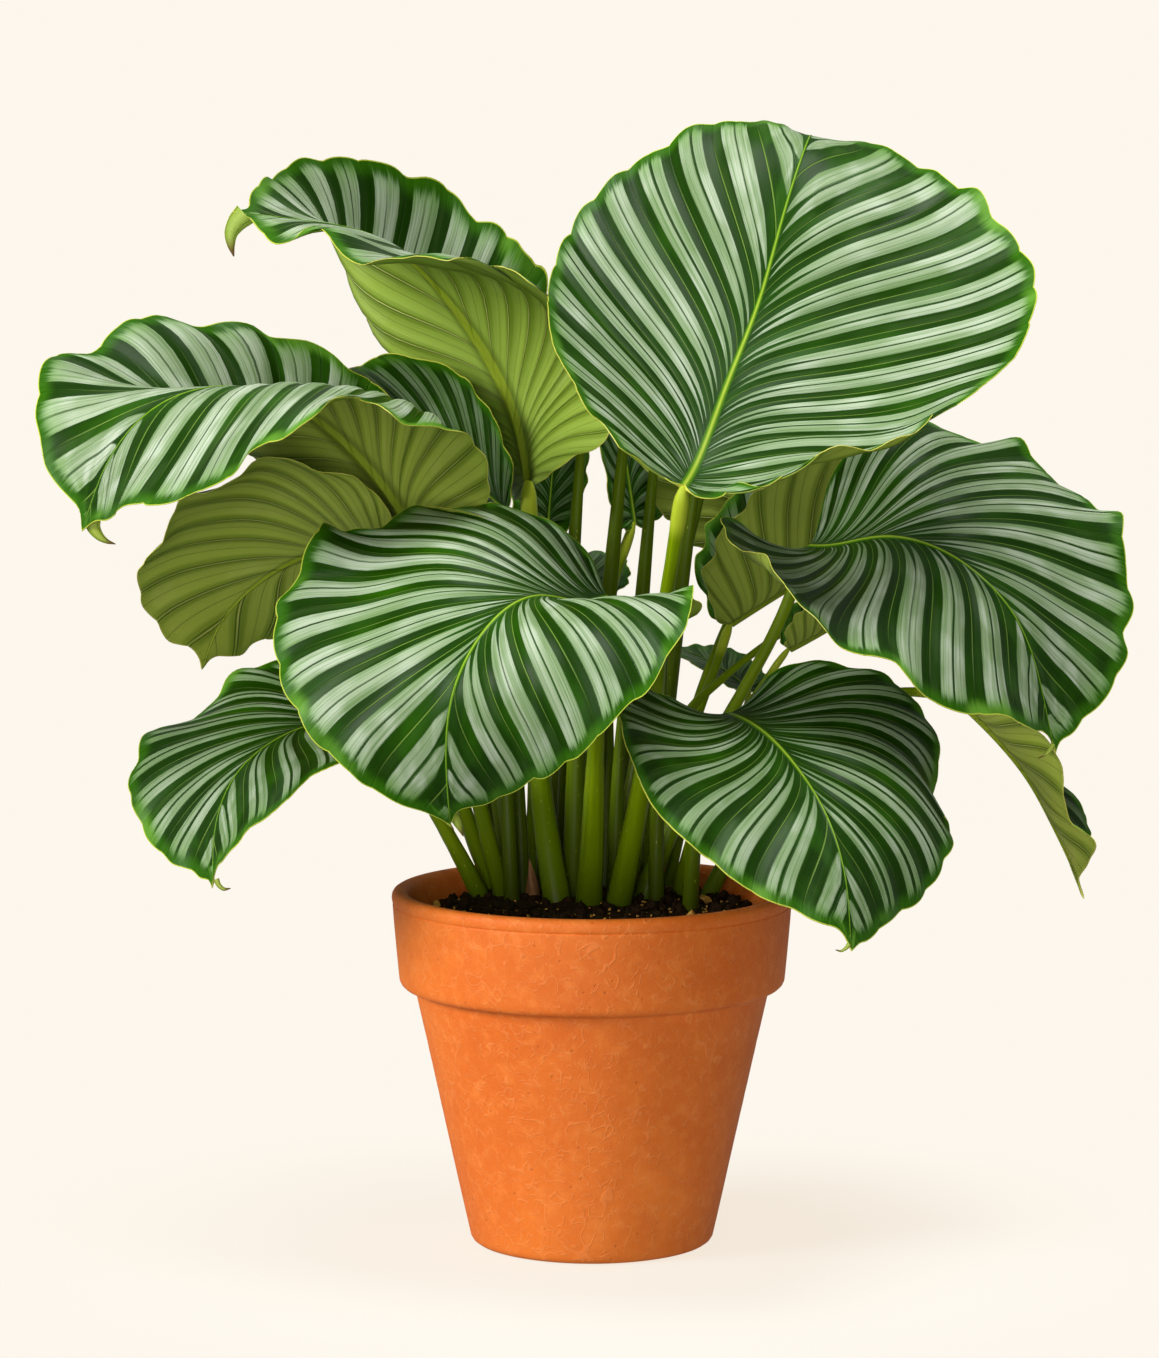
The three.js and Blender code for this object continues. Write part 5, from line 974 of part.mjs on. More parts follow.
// Young shoots between the stalks: each one's radius at the soil and points along its centreline.
const SHOOTS = [
  {
    id: '01',
    spearRadius: 4.7,
    spear: [
      -2.55, 43.58, 165.3, -0.05, 50.79, 215.33, 3.74, 58, 265.35, 8.22, 65.21, 315.38, 13.09, 72.43, 365.4, 18.16,
      79.64, 415.43, 21.99, 85.05, 452.95,
    ],
  },
  {
    id: '02',
    spearRadius: 4.77,
    spear: [
      15.64, 64.61, 165.3, 18, 70.71, 210.18, 21.15, 76.81, 255.06, 24.67, 82.91, 299.94, 28.52, 89, 344.83, 32.75,
      95.1, 389.71, 36.22, 99.67, 423.37,
    ],
  },
  {
    id: '03',
    spearRadius: 4.68,
    spear: [
      28.96, 47.57, 165.3, 32.29, 46.11, 209.15, 36.82, 44.65, 252.99, 41.91, 43.18, 296.84, 47.44, 41.72, 340.69,
      53.44, 40.26, 384.53, 58.29, 39.16, 417.42,
    ],
  },
  {
    id: '04',
    spearRadius: 4.67,
    spear: [
      14.62, 41.85, 165.3, 19.09, 48.88, 204.76, 26, 55.92, 244.23, 34.35, 62.96, 283.69, 43.89, 69.99, 323.16,
      54.39, 77.03, 362.62, 62.79, 82.31, 392.22,
    ],
  },
  {
    id: '05',
    spearRadius: 4.76,
    spear: [
      -19.65, 60.29, 165.3, -17.5, 65.5, 211.4, -14.73, 70.7, 257.5, -11.76, 75.91, 303.61, -8.65, 81.12, 349.71,
      -5.33, 86.33, 395.81, -2.65, 90.24, 430.39,
    ],
  },
  {
    id: '06',
    spearRadius: 3.58,
    spear: [
      -50.89, 62.22, 165.3, -51.9, 64.09, 180, -53.1, 65.96, 194.71, -54.32, 67.83, 209.41, -55.63, 69.7, 224.12,
      -57.12, 71.57, 238.82, -58.42, 72.98, 249.85,
    ],
  },
  {
    id: '07',
    spearRadius: 3.79,
    spear: [
      -40.44, 30.23, 165.3, -41.52, 29.99, 190.72, -42.77, 29.74, 216.13, -43.97, 29.5, 241.55, -45.01, 29.25,
      266.96, -45.88, 29.01, 292.38, -46.45, 28.83, 311.44,
    ],
  },
  {
    id: '08',
    spearRadius: 3.73,
    spear: [
      -35.21, 45.14, 165.3, -35.97, 46.67, 187.88, -36.96, 48.2, 210.46, -37.96, 49.72, 233.04, -38.83, 51.25,
      255.62, -39.49, 52.78, 278.2, -39.85, 53.93, 295.13,
    ],
  },
  {
    id: '09',
    spearRadius: 5.31,
    spear: [
      -8.93, 32.91, 165.3, -8.47, 31.31, 193.22, -8.01, 29.71, 221.13, -7.55, 28.11, 249.05, -7.09, 26.51, 276.97,
      -6.63, 24.91, 304.88, -6.29, 23.71, 325.82,
    ],
  },
  {
    id: '10',
    spearRadius: 3.77,
    spear: [
      -23.74, 48.75, 165.3, -24.41, 50.31, 181.89, -25, 51.87, 198.47, -25.39, 53.43, 215.06, -25.58, 54.98, 231.64,
      -25.64, 56.54, 248.23, -25.69, 57.71, 260.67,
    ],
  },
  {
    id: '11',
    spearRadius: 3.71,
    spear: [
      11.74, 27.34, 165.3, 11.73, 27.23, 186.26, 12.13, 27.12, 207.23, 12.89, 27.01, 228.19, 13.97, 26.9, 249.16,
      15.28, 26.79, 270.12, 16.33, 26.71, 285.84,
    ],
  },
  {
    id: '12',
    spearRadius: 3.76,
    spear: [
      32.31, 24, 165.3, 32.34, 23.78, 188.18, 32.77, 23.56, 211.07, 33.58, 23.34, 233.95, 34.72, 23.12, 256.84,
      36.11, 22.9, 279.72, 37.24, 22.73, 296.88,
    ],
  },
  {
    id: '13',
    spearRadius: 4.6,
    spear: [
      6.64, 53.08, 165.3, 7.01, 55.96, 186.65, 7.39, 58.85, 208, 7.76, 61.73, 229.35, 8.13, 64.61, 250.7, 8.5, 67.5,
      272.05, 8.78, 69.66, 288.06,
    ],
  },
  {
    id: '14',
    spearRadius: 3.79,
    spear: [
      49.03, -3.68, 165.3, 49.63, -5.36, 182.11, 50.45, -7.04, 198.93, 51.45, -8.72, 215.74, 52.71, -10.4, 232.56,
      54.29, -12.08, 249.37, 55.73, -13.34, 261.98,
    ],
  },
];

// Weights of the four control values around t, and their derivatives.
function weights(t, [from, to]) {
  const h = (to - from) / (NET_SIZE - 3);
  const q = (t - from) / h;
  const k = Math.min(Math.max(Math.floor(q), 0), NET_SIZE - 4);
  const w = q - k;
  return {
    k,
    value: [
      (1 - w) ** 3 / 6,
      (3 * w ** 3 - 6 * w ** 2 + 4) / 6,
      (-3 * w ** 3 + 3 * w ** 2 + 3 * w + 1) / 6,
      w ** 3 / 6,
    ],
    slope: [
      -((1 - w) ** 2) / 2 / h,
      (9 * w ** 2 - 12 * w) / 6 / h,
      (-9 * w ** 2 + 6 * w + 3) / 6 / h,
      w ** 2 / 2 / h,
    ],
  };
}

// Point and upper normal of a blade's middle surface at flat x, y.
function surface(net, x, y) {
  const bx = weights(x, NET_X);
  const by = weights(y, NET_Y);
  const point = new THREE.Vector3();
  const alongX = new THREE.Vector3();
  const alongY = new THREE.Vector3();
  const control = new THREE.Vector3();
  for (let i = 0; i < 4; i++)
    for (let j = 0; j < 4; j++) {
      control.fromArray(net, 3 * ((bx.k + i) * NET_SIZE + by.k + j));
      point.addScaledVector(control, bx.value[i] * by.value[j]);
      alongX.addScaledVector(control, bx.slope[i] * by.value[j]);
      alongY.addScaledVector(control, bx.value[i] * by.slope[j]);
    }
  return { point, normal: alongX.cross(alongY).normalize() };
}

// Margin point at share s of its run from base to tip.
function margin(pairs, s) {
  const last = pairs.length / 2 - 1;
  const k = Math.min(Math.floor(s * last), last - 1);
  const w = s * last - k;
  return [0, 1].map((c) => pairs[2 * k + c] * (1 - w) + pairs[2 * k + 2 + c] * w);
}

// Direction of a side vein as it leaves the midrib, in degrees from the tip's direction.
function veinAngle(s) {
  return s < 0.5 ? 108 - 66 * s : 75 - 80 * (s - 0.5);
}

// Flat points of one row of a half blade, along a side vein from the midrib to the margin.
function veinRow(pairs, side, s, shares) {
  const start = [0, s ** 2.1];
  const end = margin(pairs, s);
  const reach = VEIN_REACH * Math.hypot(end[0] - start[0], end[1] - start[1]);
  const angle = THREE.MathUtils.degToRad(veinAngle(s));
  const middle = [start[0] + side * reach * Math.sin(angle), start[1] + reach * Math.cos(angle)];
  return shares.map((t) =>
    [0, 1].map((c) => (1 - t) ** 2 * start[c] + 2 * t * (1 - t) * middle[c] + t ** 2 * end[c]),
  );
}

// One blade as a closed thin solid with its midrib standing out below.
function bladeGeometry({ net, right, left, length }) {
  const rows = length > LARGE_BLADE ? 16 : 10;
  const shares = length > LARGE_BLADE ? [0, 0.045, 0.28, 0.53, 0.77, 1] : [0, 0.06, 0.55, 1];
  const columns = shares.length;
  const flat = [];
  const depth = [];
  const grid = { 1: [], [-1]: [] };
  const add = (x, y, below) => {
    flat.push([x, y]);
    depth.push(below);
    return flat.length - 1;
  };
  for (let i = 0; i < rows; i++) {
    const s = i / (rows - 1);
    const y = s ** 2.1;
    const rib = i === 0 || i === rows - 1 ? MARGIN_THICKNESS / 2 : BLADE_THICKNESS / 2 + MIDRIB_DEPTH * (1 - y);
    const middle = i === rows - 1 ? add(...margin(right, 1), rib) : add(0, y, rib);
    for (const [side, pairs] of [[1, right], [-1, left]]) {
      if (i === 0 || i === rows - 1) {
        grid[side].push(Array(columns).fill(middle));
        continue;
      }
      const row = veinRow(pairs, side, s, shares);
      grid[side].push(
        row.map(([x, yy], j) =>
          j === 0 ? middle : add(x, yy, (j === columns - 1 ? MARGIN_THICKNESS : BLADE_THICKNESS) / 2),
        ),
      );
    }
  }
  const count = flat.length;
  const above = [];
  const below = [];
  flat.forEach(([x, y], v) => {
    const { point, normal } = surface(net, x, y);
    const up = Math.min(depth[v], BLADE_THICKNESS / 2);
    above.push(...point.clone().addScaledVector(normal, up).toArray());
    below.push(...point.clone().addScaledVector(normal, -depth[v]).toArray());
  });
  const index = [];
  const triangle = (a, b, c) => {
    if (a === b || b === c || a === c) return;
    index.push(a, b, c, a + count, c + count, b + count);
  };
  for (const side of [1, -1])
    for (let i = 0; i < rows - 1; i++)
      for (let j = 0; j < columns - 1; j++) {
        const [a, b] = [grid[side][i][j], grid[side][i + 1][j]];
        const [d, c] = [grid[side][i][j + 1], grid[side][i + 1][j + 1]];
        if (side > 0) {
          triangle(a, d, c);
          triangle(a, c, b);
        } else {
          triangle(a, b, c);
          triangle(a, c, d);
        }
      }
  const edge = columns - 1;
  for (let i = 0; i < rows - 1; i++) {
    const [a, b] = [grid[1][i][edge], grid[1][i + 1][edge]];
    index.push(a, a + count, b, b, a + count, b + count);
    const [c, d] = [grid[-1][i][edge], grid[-1][i + 1][edge]];
    index.push(c, d, c + count, d, d + count, c + count);
  }
  return new THREE.BufferGeometry()
    .setAttribute('position', new THREE.Float32BufferAttribute([...above, ...below], 3))
    .setIndex(index);
}

// Rings along a curve, closed by a fan at each end. The first ring is level at height z0.
function tubeGeometry(curve, stations, radii, sides, z0) {
  const steps = 200;
  const frames = curve.computeFrenetFrames(steps, false);
  const points = [];
  stations.forEach((t, i) => {
    const centre = curve.getPointAt(t);
    const k = Math.round(t * steps);
    for (let j = 0; j < sides; j++) {
      const a = (2 * Math.PI * j) / sides;
      const p = centre
        .clone()
        .addScaledVector(frames.normals[k], radii[i] * Math.cos(a))
        .addScaledVector(frames.binormals[k], radii[i] * Math.sin(a));
      if (i === 0) p.addScaledVector(frames.tangents[k], (z0 - p.z) / frames.tangents[k].z);
      points.push(p);
    }
  });
  const bottom = points.length;
  const first = curve.getPointAt(0);
  points.push(first.addScaledVector(frames.tangents[0], (z0 - first.z) / frames.tangents[0].z));
  points.push(curve.getPointAt(1));
  const index = [];
  for (let i = 0; i < stations.length - 1; i++)
    for (let j = 0; j < sides; j++) {
      const a = i * sides + j;
      const b = i * sides + ((j + 1) % sides);
      index.push(a, b, b + sides, a, b + sides, a + sides);
    }
  const top = (stations.length - 1) * sides;
  for (let j = 0; j < sides; j++) {
    const n = (j + 1) % sides;
    index.push(bottom, n, j, bottom + 1, top + j, top + n);
  }
  return new THREE.BufferGeometry()
    .setFromPoints(points)
    .setIndex(index);
}

function curveThrough(values) {
  const points = [];
  for (let i = 0; i < values.length; i += 3) points.push(new THREE.Vector3().fromArray(values, i));
  return new THREE.CatmullRomCurve3(points, false, 'catmullrom', 0.5);
}

// One stalk: sheathed and thicker at the soil, slim above, swollen just below the blade.
function stalkGeometry({ stalk, stalkRadius }) {
  const curve = curveThrough(stalk);
  const radii = STALK_STATIONS.map((t) => {
    const slim = stalkRadius * (1 - (1 - STALK_NECK) * Math.min(1, t / 0.6));
    if (t === 0.91 || t === 0.97) return slim * PULVINUS;
    return t === 1 ? 0.42 * slim : slim;
  });
  return tubeGeometry(curve, STALK_STATIONS, radii, STALK_SIDES, SOIL_TOP_Z + GAP);
}

// Young leaf still rolled into a spear, tapering to its tip.
function shootGeometry({ spear, spearRadius }) {
  const radii = SHOOT_STATIONS.map((t) => spearRadius * (1 - 0.88 * t ** 2.4));
  return tubeGeometry(curveThrough(spear), SHOOT_STATIONS, radii, STALK_SIDES, SOIL_TOP_Z + GAP);
}

// Inner wall radius of the pot at height z.
function innerRadius(z) {
  return (
    INNER_FLOOR_RADIUS +
    ((INNER_MOUTH_RADIUS - INNER_FLOOR_RADIUS) * (z - FLOOR_THICKNESS - 2.5)) / (POT_HEIGHT - 5 - FLOOR_THICKNESS - 2.5)
  );
}

function lathe(profile) {
  const geometry = new THREE.LatheGeometry(
    profile.map(([r, z]) => new THREE.Vector2(r, z)),
    POT_SEGMENTS,
  );
  return geometry.rotateX(Math.PI / 2);
}

// Pot: foot, tapered body, collar with a faint turned line below its rounded rim, hollow and drain hole.
const crest = POT_HEIGHT;
const pot = lathe([
  [DRAIN_RADIUS, 0],
  [FOOT_RADIUS, 0],
  [FOOT_RADIUS + 3, 1.4],
  [BODY_FOOT_RADIUS, 4.8],
  [(BODY_FOOT_RADIUS + BODY_TOP_RADIUS) / 2, (4.8 + BODY_TOP_Z) / 2],
  [BODY_TOP_RADIUS, BODY_TOP_Z],
  [COLLAR_FOOT_RADIUS - 2.6, BODY_TOP_Z + 1.8],
  [COLLAR_FOOT_RADIUS - 0.4, COLLAR_FOOT_Z - 1.2],
  [COLLAR_FOOT_RADIUS, COLLAR_FOOT_Z + 1],
  [RIM_RADIUS - 0.5, crest - 8],
  [RIM_RADIUS - 1.1, crest - 7.1],
  [RIM_RADIUS - 0.3, crest - 6.2],
  [RIM_RADIUS, crest - 3.6],
  [RIM_RADIUS - 0.8, crest - 1.3],
  [RIM_RADIUS - 3, crest],
  [RIM_RADIUS - 6.2, crest - 0.5],
  [INNER_MOUTH_RADIUS + 0.9, crest - 2.4],
  [INNER_MOUTH_RADIUS, crest - 5],
  [INNER_FLOOR_RADIUS, FLOOR_THICKNESS + 2.5],
  [INNER_FLOOR_RADIUS - 3, FLOOR_THICKNESS],
  [DRAIN_RADIUS, FLOOR_THICKNESS],
  [DRAIN_RADIUS, 0],
]);

// Soil: fills the pot to a level top with a slightly sunken edge.
const soil = lathe([
  [0, FLOOR_THICKNESS + GAP],
  [INNER_FLOOR_RADIUS - 3 - GAP, FLOOR_THICKNESS + GAP],
  [INNER_FLOOR_RADIUS - GAP, FLOOR_THICKNESS + 2.5 + GAP],
  [innerRadius(SOIL_TOP_Z - 3) - 1.3 * GAP, SOIL_TOP_Z - 3],
  [innerRadius(SOIL_TOP_Z - 3) - 5, SOIL_TOP_Z - 1],
  [innerRadius(SOIL_TOP_Z - 3) - 12, SOIL_TOP_Z],
  [0, SOIL_TOP_Z],
]);

// Dry sheath left at the clump's base: a thin tapering scale.
const DRY_SHEATH = [-29.5, 38, 165.6, -30, 37.6, 172, -30.8, 37, 179, -31.6, 36.6, 186];
const drySheath = tubeGeometry(
  curveThrough(DRY_SHEATH),
  [0, 0.3, 0.65, 1],
  [3.4, 3, 1.9, 0.5],
  5,
  SOIL_TOP_Z + GAP,
);

const plant = new THREE.Group();
plant.name = 'potted_calathea';
function piece(name, geometry, color, roughness) {
  const mesh = new THREE.Mesh(geometry, new THREE.MeshStandardMaterial({ color, roughness, metalness: 0 }));
  mesh.name = name;
  plant.add(mesh);
}
piece('pot', pot, TERRACOTTA, 0.8);
piece('soil', soil, SOIL_BROWN, 0.95);
for (const leaf of LEAVES) {
  piece('blade_' + leaf.id, bladeGeometry(leaf), BLADE_GREEN, 0.45);
  piece('stalk_' + leaf.id, stalkGeometry(leaf), STALK_GREEN, 0.5);
}
for (const shoot of SHOOTS) piece('shoot_' + shoot.id, shootGeometry(shoot), STALK_GREEN, 0.5);
piece('dry_sheath', drySheath, SHEATH_BROWN, 0.85);

export default plant;
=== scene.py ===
"""Looks of a striped calathea in a terracotta pot. Lengths in the tables are millimetres, and objects are metres."""

import math

import bpy
import numpy as np
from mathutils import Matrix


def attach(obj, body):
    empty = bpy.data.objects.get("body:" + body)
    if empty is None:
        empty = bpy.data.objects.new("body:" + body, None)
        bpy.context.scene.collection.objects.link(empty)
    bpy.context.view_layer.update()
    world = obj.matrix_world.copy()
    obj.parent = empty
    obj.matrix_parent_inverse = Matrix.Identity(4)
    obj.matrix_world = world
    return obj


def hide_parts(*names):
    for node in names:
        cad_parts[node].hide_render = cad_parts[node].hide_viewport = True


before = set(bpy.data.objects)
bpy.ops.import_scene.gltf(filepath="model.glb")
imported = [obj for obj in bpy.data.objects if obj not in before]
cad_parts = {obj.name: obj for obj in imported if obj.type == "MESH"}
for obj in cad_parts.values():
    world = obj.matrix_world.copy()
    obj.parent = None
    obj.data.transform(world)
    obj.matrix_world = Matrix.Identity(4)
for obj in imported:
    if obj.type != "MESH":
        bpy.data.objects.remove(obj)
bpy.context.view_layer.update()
rng = np.random.default_rng(7)

# One entry for each leaf: its surface's control points, its two margins as flat x, y pairs, and its stalk's centreline.
LEAVES = [
{
    "id": '01', "length": 238.3, "stalkRadius": 6,
    "net": [
        -15.7, -148.5, 645.7, -179.9, -129.7, 443.3, -97.5, -87, 507.7, -139.3, -43.7, 526.3, -102.5, -0.2, 533.7, -119.3, 44.5, 571.8, -75.7, 97.3,
        581.7, -102.9, 122.6, 624.5, 53.8, 149.1, 620.6, -120.9, -168.7, 385.1, -81.8, -121.9, 462.3, -90.4, -79.3, 474.4, -68.5, -40.3, 498.7, -68.4,
        0.4, 522.2, -52.8, 43.4, 547.4, -44.9, 78.1, 583.3, -21.5, 120, 606, -38.8, 156.9, 639, -41.6, -158.8, 431.4, -50.2, -119.8, 416.9, -33.5,
        -77.5, 449, -27.1, -37.6, 476.6, -16.4, 5.3, 499.1, -6.8, 35.9, 536.3, 12.8, 73.9, 563.7, 19.2, 104.9, 592.3, 56.3, 142.6, 617.7, -15.4,
        -164.4, 354.2, 12.5, -112, 409.2, 3.1, -68.4, 426.3, 16.5, -24, 441.7, 30.6, 4.7, 482.8, 47.1, 26.3, 522.6, 56.2, 50.3, 562, 79.2, 97.4,
        590.1, 56.1, 150.2, 587.3, 83.6, -129.2, 431.2, 21.3, -108.1, 372.4, 48.5, -49, 370.8, 63.5, -32.1, 433.9, 84.3, -3.2, 467.2, 92.8, 8.2,
        514.5, 112.9, 34.3, 566.4, 103.6, 103.9, 522.6, 111.9, 82.4, 450.7, 10.6, -170.3, 403.3, 98.8, -125.7, 364.4, 95.6, -81.7, 401.6, 118.5,
        -35.8, 410.1, 130.4, -17.6, 460.1, 146.4, 1.2, 505.2, 156.9, 40.5, 527.8, 172.1, 77.8, 577, 194.8, 151.8, 584.3, 161.8, -189.3, 260.6, 84.7,
        -137.9, 491.2, 147.7, -103, 375, 162, -68.5, 424.5, 182.8, -36.7, 454.1, 194.5, -8.8, 491, 211, 16.3, 543.2, 220.2, 64.6, 537.4, 228.1, 80.3,
        598.4, -2.9, -199.7, 690.1, 183.9, -185.8, 326.6, 144.5, -144.1, 453.3, 197.8, -108, 434.9, 223.4, -67, 454, 253.4, -34.7, 500.8, 246.4, 9,
        504.2, 276, 37.2, 569.9, 276.9, 107.1, 531.6, 620.9, -327.7, -611.2, 64.8, -196, 689.4, 230.3, -169.6, 350.5, 268.2, -134.6, 395.4, 251.5,
        -96.7, 489.3, 276.9, -48.9, 440.8, 333, -30.5, 581.4, 288.1, 46.5, 451.7, 378.6, -40.4, 780.2,
    ],
    "right": [
        0, 0, 0.045, -0.048, 0.086, -0.035, 0.11, 0.027, 0.177, -0.037, 0.213, -0.007, 0.265, -0.012, 0.321, -0.032, 0.36, -0.004, 0.384, 0.038, 0.41,
        0.073, 0.441, 0.101, 0.473, 0.126, 0.508, 0.145, 0.487, 0.224, 0.541, 0.22, 0.581, 0.23, 0.58, 0.278, 0.579, 0.324, 0.587, 0.358, 0.591,
        0.393, 0.592, 0.429, 0.589, 0.466, 0.582, 0.503, 0.572, 0.54, 0.563, 0.575, 0.55, 0.61, 0.535, 0.646, 0.512, 0.677, 0.49, 0.711, 0.463, 0.74,
        0.432, 0.764, 0.406, 0.798, 0.376, 0.831, 0.339, 0.846, 0.303, 0.866, 0.268, 0.9, 0.229, 0.912, 0.19, 0.923, 0.151, 0.95, 0.109, 0.971, 0.066,
        0.975, 0.026, 1.005, 0, 1.03,
    ],
    "left": [
        0, 0, -0.03, -0.011, -0.062, -0.004, -0.093, -0.019, -0.128, -0.034, -0.165, -0.046, -0.195, -0.024, -0.223, -0, -0.256, 0.008, -0.283, 0.029,
        -0.303, 0.066, -0.325, 0.094, -0.348, 0.117, -0.369, 0.145, -0.385, 0.178, -0.398, 0.213, -0.407, 0.25, -0.416, 0.285, -0.422, 0.321, -0.426,
        0.357, -0.429, 0.393, -0.429, 0.43, -0.426, 0.467, -0.421, 0.503, -0.417, 0.54, -0.41, 0.576, -0.398, 0.61, -0.384, 0.643, -0.372, 0.678,
        -0.357, 0.711, -0.339, 0.742, -0.315, 0.768, -0.291, 0.792, -0.271, 0.824, -0.248, 0.851, -0.221, 0.872, -0.195, 0.896, -0.165, 0.908, -0.137,
        0.926, -0.11, 0.953, -0.075, 0.928, -0.05, 1.002, -0.026, 1.034, 0, 1.03,
    ],
    "stalk": [
        12.6, 10.9, 165, 15.8, 4.2, 181.7, 18.8, -2.4, 198.5, 21.8, -9.1, 215.3, 24.6, -15.8, 232.1, 27.1, -22.4, 248.9, 29.4, -29.1, 265.8, 31.2,
        -35.9, 282.7, 32.7, -42.6, 299.7, 34.3, -49.4, 316.6, 36.4, -56.2, 333.4, 38.9, -63.2, 350.2, 41.1, -70.4, 366.8, 43, -78, 383.4,
    ],
    'bands': [16, 14],
    'origin': [2.2, 3.2],
    'scallop': 0.01,
    'ruffle': 0.013,
    'age': 0.5,
},
{
    "id": '02', "length": 215.3, "stalkRadius": 5.4,
    "net": [
        333.3, 173.2, 850.4, 144.6, 217.5, 324.9, 238.8, 127.6, 470.8, 286.8, 171.5, 448, 189.9, 105.2, 302.9, 395.3, 123.9, 406, 324.2, 61.1, 339.6,
        371.5, 119.7, 291.3, 397.1, -87.2, 239.5, 81.8, 183.8, 331.7, 179.5, 156.1, 475, 187.6, 144.5, 358.5, 230.2, 95.7, 416, 253.4, 98.3, 351.3,
        304.2, 44.1, 389.8, 308.5, 62.1, 297.4, 347, 41, 283.3, 324.2, 75.5, 219.1, 117.2, 140.9, 493.9, 118.4, 110, 410.8, 169.8, 83.5, 425.5, 199.7,
        70.4, 381.9, 235.5, 42.3, 377.7, 256.6, 37.1, 329.2, 287.9, 24.2, 304, 296.2, 22.2, 264.3, 349, -6, 227.4, 55.7, 111.8, 350.3, 108.6, 92.1,
        389.3, 135.2, 62.4, 380.3, 171.3, 27.5, 389.1, 208.7, 7.9, 361.3, 230.7, -0.9, 325.5, 258.6, -14.8, 287.2, 281.9, -22.7, 238.9, 261.7, -17.1,
        204.9, 53.8, 108.5, 370.8, 91.7, 71.5, 325.9, 128.1, 41.6, 333.6, 143.1, 3.2, 356.2, 174.5, -26.1, 350.6, 212.2, -45.4, 323.7, 215, -37.4,
        274.8, 215.5, -41.3, 236.3, 261.7, -74.3, 195.6, 36.4, 71.6, 360.7, 60.7, 38.7, 378.2, 76.3, 4.9, 344, 115.5, -20.7, 323.5, 145.6, -57.3,
        339.1, 173.4, -76.1, 307.2, 204.8, -92.2, 286.9, 219.4, -92.2, 237.7, 236.4, -102.9, 210.7, 17.7, 22.7, 440.2, 37.3, -1.5, 388, 61.8, -29.3,
        366.1, 77.6, -60.7, 334.3, 111.8, -84.4, 313.4, 150.4, -115.6, 310.4, 151, -107.6, 238.7, 212.3, -128.7, 247.5, 199.9, -121.3, 162, -43.8,
        -8.8, 369.5, 15.3, -45, 425.2, 13.4, -73.5, 354.7, 96.1, -93.2, 394.1, 75.6, -129.1, 325.5, 118.2, -146.4, 294.1, 151.9, -172.2, 285.4, 155.2,
        -157.8, 211.5, 233.6, -193.1, 249.8, 113, -82.2, 794.2, -66.5, -82.2, 329.8, 62.7, -101.8, 472.6, -16, -128.1, 322.1, 106.3, -151.9, 373.6,
        83.6, -204, 293.8, 86, -166.5, 214.4, 186.4, -237.6, 286.9, 69.6, -134.7, 54.1,
    ],
    "right": [
        0, 0, 0.037, -0.017, 0.077, -0.022, 0.116, -0.04, 0.159, -0.047, 0.199, -0.027, 0.235, -0.027, 0.267, -0.026, 0.301, -0.017, 0.349, 0.033,
        0.374, 0.058, 0.398, 0.085, 0.424, 0.114, 0.446, 0.145, 0.465, 0.177, 0.476, 0.207, 0.488, 0.241, 0.533, 0.295, 0.539, 0.33, 0.529, 0.358,
        0.538, 0.398, 0.531, 0.431, 0.519, 0.464, 0.515, 0.501, 0.515, 0.541, 0.514, 0.581, 0.502, 0.616, 0.469, 0.642, 0.437, 0.669, 0.434, 0.708,
        0.42, 0.742, 0.395, 0.771, 0.366, 0.799, 0.336, 0.825, 0.305, 0.85, 0.27, 0.871, 0.232, 0.889, 0.202, 0.913, 0.18, 0.937, 0.142, 0.953, 0.087,
        0.965, 0.033, 0.973, 0.002, 0.992, 0, 1.03,
    ],
    "left": [
        0, 0, -0.039, -0.013, -0.083, -0.025, -0.129, -0.035, -0.175, -0.038, -0.221, -0.031, -0.265, -0.021, -0.309, -0.009, -0.345, 0.015, -0.381,
        0.041, -0.432, 0.049, -0.469, 0.074, -0.489, 0.109, -0.489, 0.155, -0.5, 0.194, -0.52, 0.227, -0.559, 0.247, -0.592, 0.273, -0.586, 0.317,
        -0.577, 0.357, -0.568, 0.396, -0.566, 0.434, -0.579, 0.467, -0.575, 0.504, -0.56, 0.542, -0.561, 0.574, -0.561, 0.608, -0.526, 0.644, -0.5,
        0.674, -0.477, 0.705, -0.458, 0.739, -0.439, 0.774, -0.406, 0.8, -0.365, 0.821, -0.328, 0.844, -0.306, 0.875, -0.267, 0.896, -0.227, 0.915,
        -0.188, 0.934, -0.15, 0.953, -0.109, 0.97, -0.069, 0.99, -0.029, 1.003, 0, 1.03,
    ],
    "stalk": [
        25.5, 32.8, 165, 30.6, 34, 179.3, 36.1, 35.2, 193.5, 42.2, 36.5, 207.4, 49, 37.7, 221.1, 56.1, 38.9, 234.6, 63.2, 40, 248, 70.4, 41.2, 261.4,
        77.9, 42.4, 274.7, 85.3, 43.7, 288, 92.3, 45.1, 301.5, 98.5, 46.7, 315.3, 103.9, 48.5, 329.5, 108.8, 50.3, 343.8,
    ],
    'bands': [13, 14],
    'age': 0.35,
    'tails': [[[224.79, -46.3, 256.33, 1.22], [223.36, -46.3, 253.38, 1.1], [220.95, -46.3, 250.92, 0.73], [217.79, -46.3, 249.44, 0.24]]],
},
{
    "id": '03', "length": 188.8, "stalkRadius": 4.8,
    "net": [
        383.7, 61, 595.6, 154, 59.8, 237.2, 243.8, 11.2, 298.7, 178.7, 6.3, 239.2, 256.9, -24.7, 208.2, 169.7, -35.9, 163.2, 243.7, -61.9, 149, 184.4,
        -67.1, 111.2, 345.2, -119.2, 87.5, 115.6, 67.2, 247.6, 179, 28.3, 316.8, 168.9, -0.6, 280.8, 198.1, -30.7, 254.5, 156.1, -41.1, 209.5, 204.3,
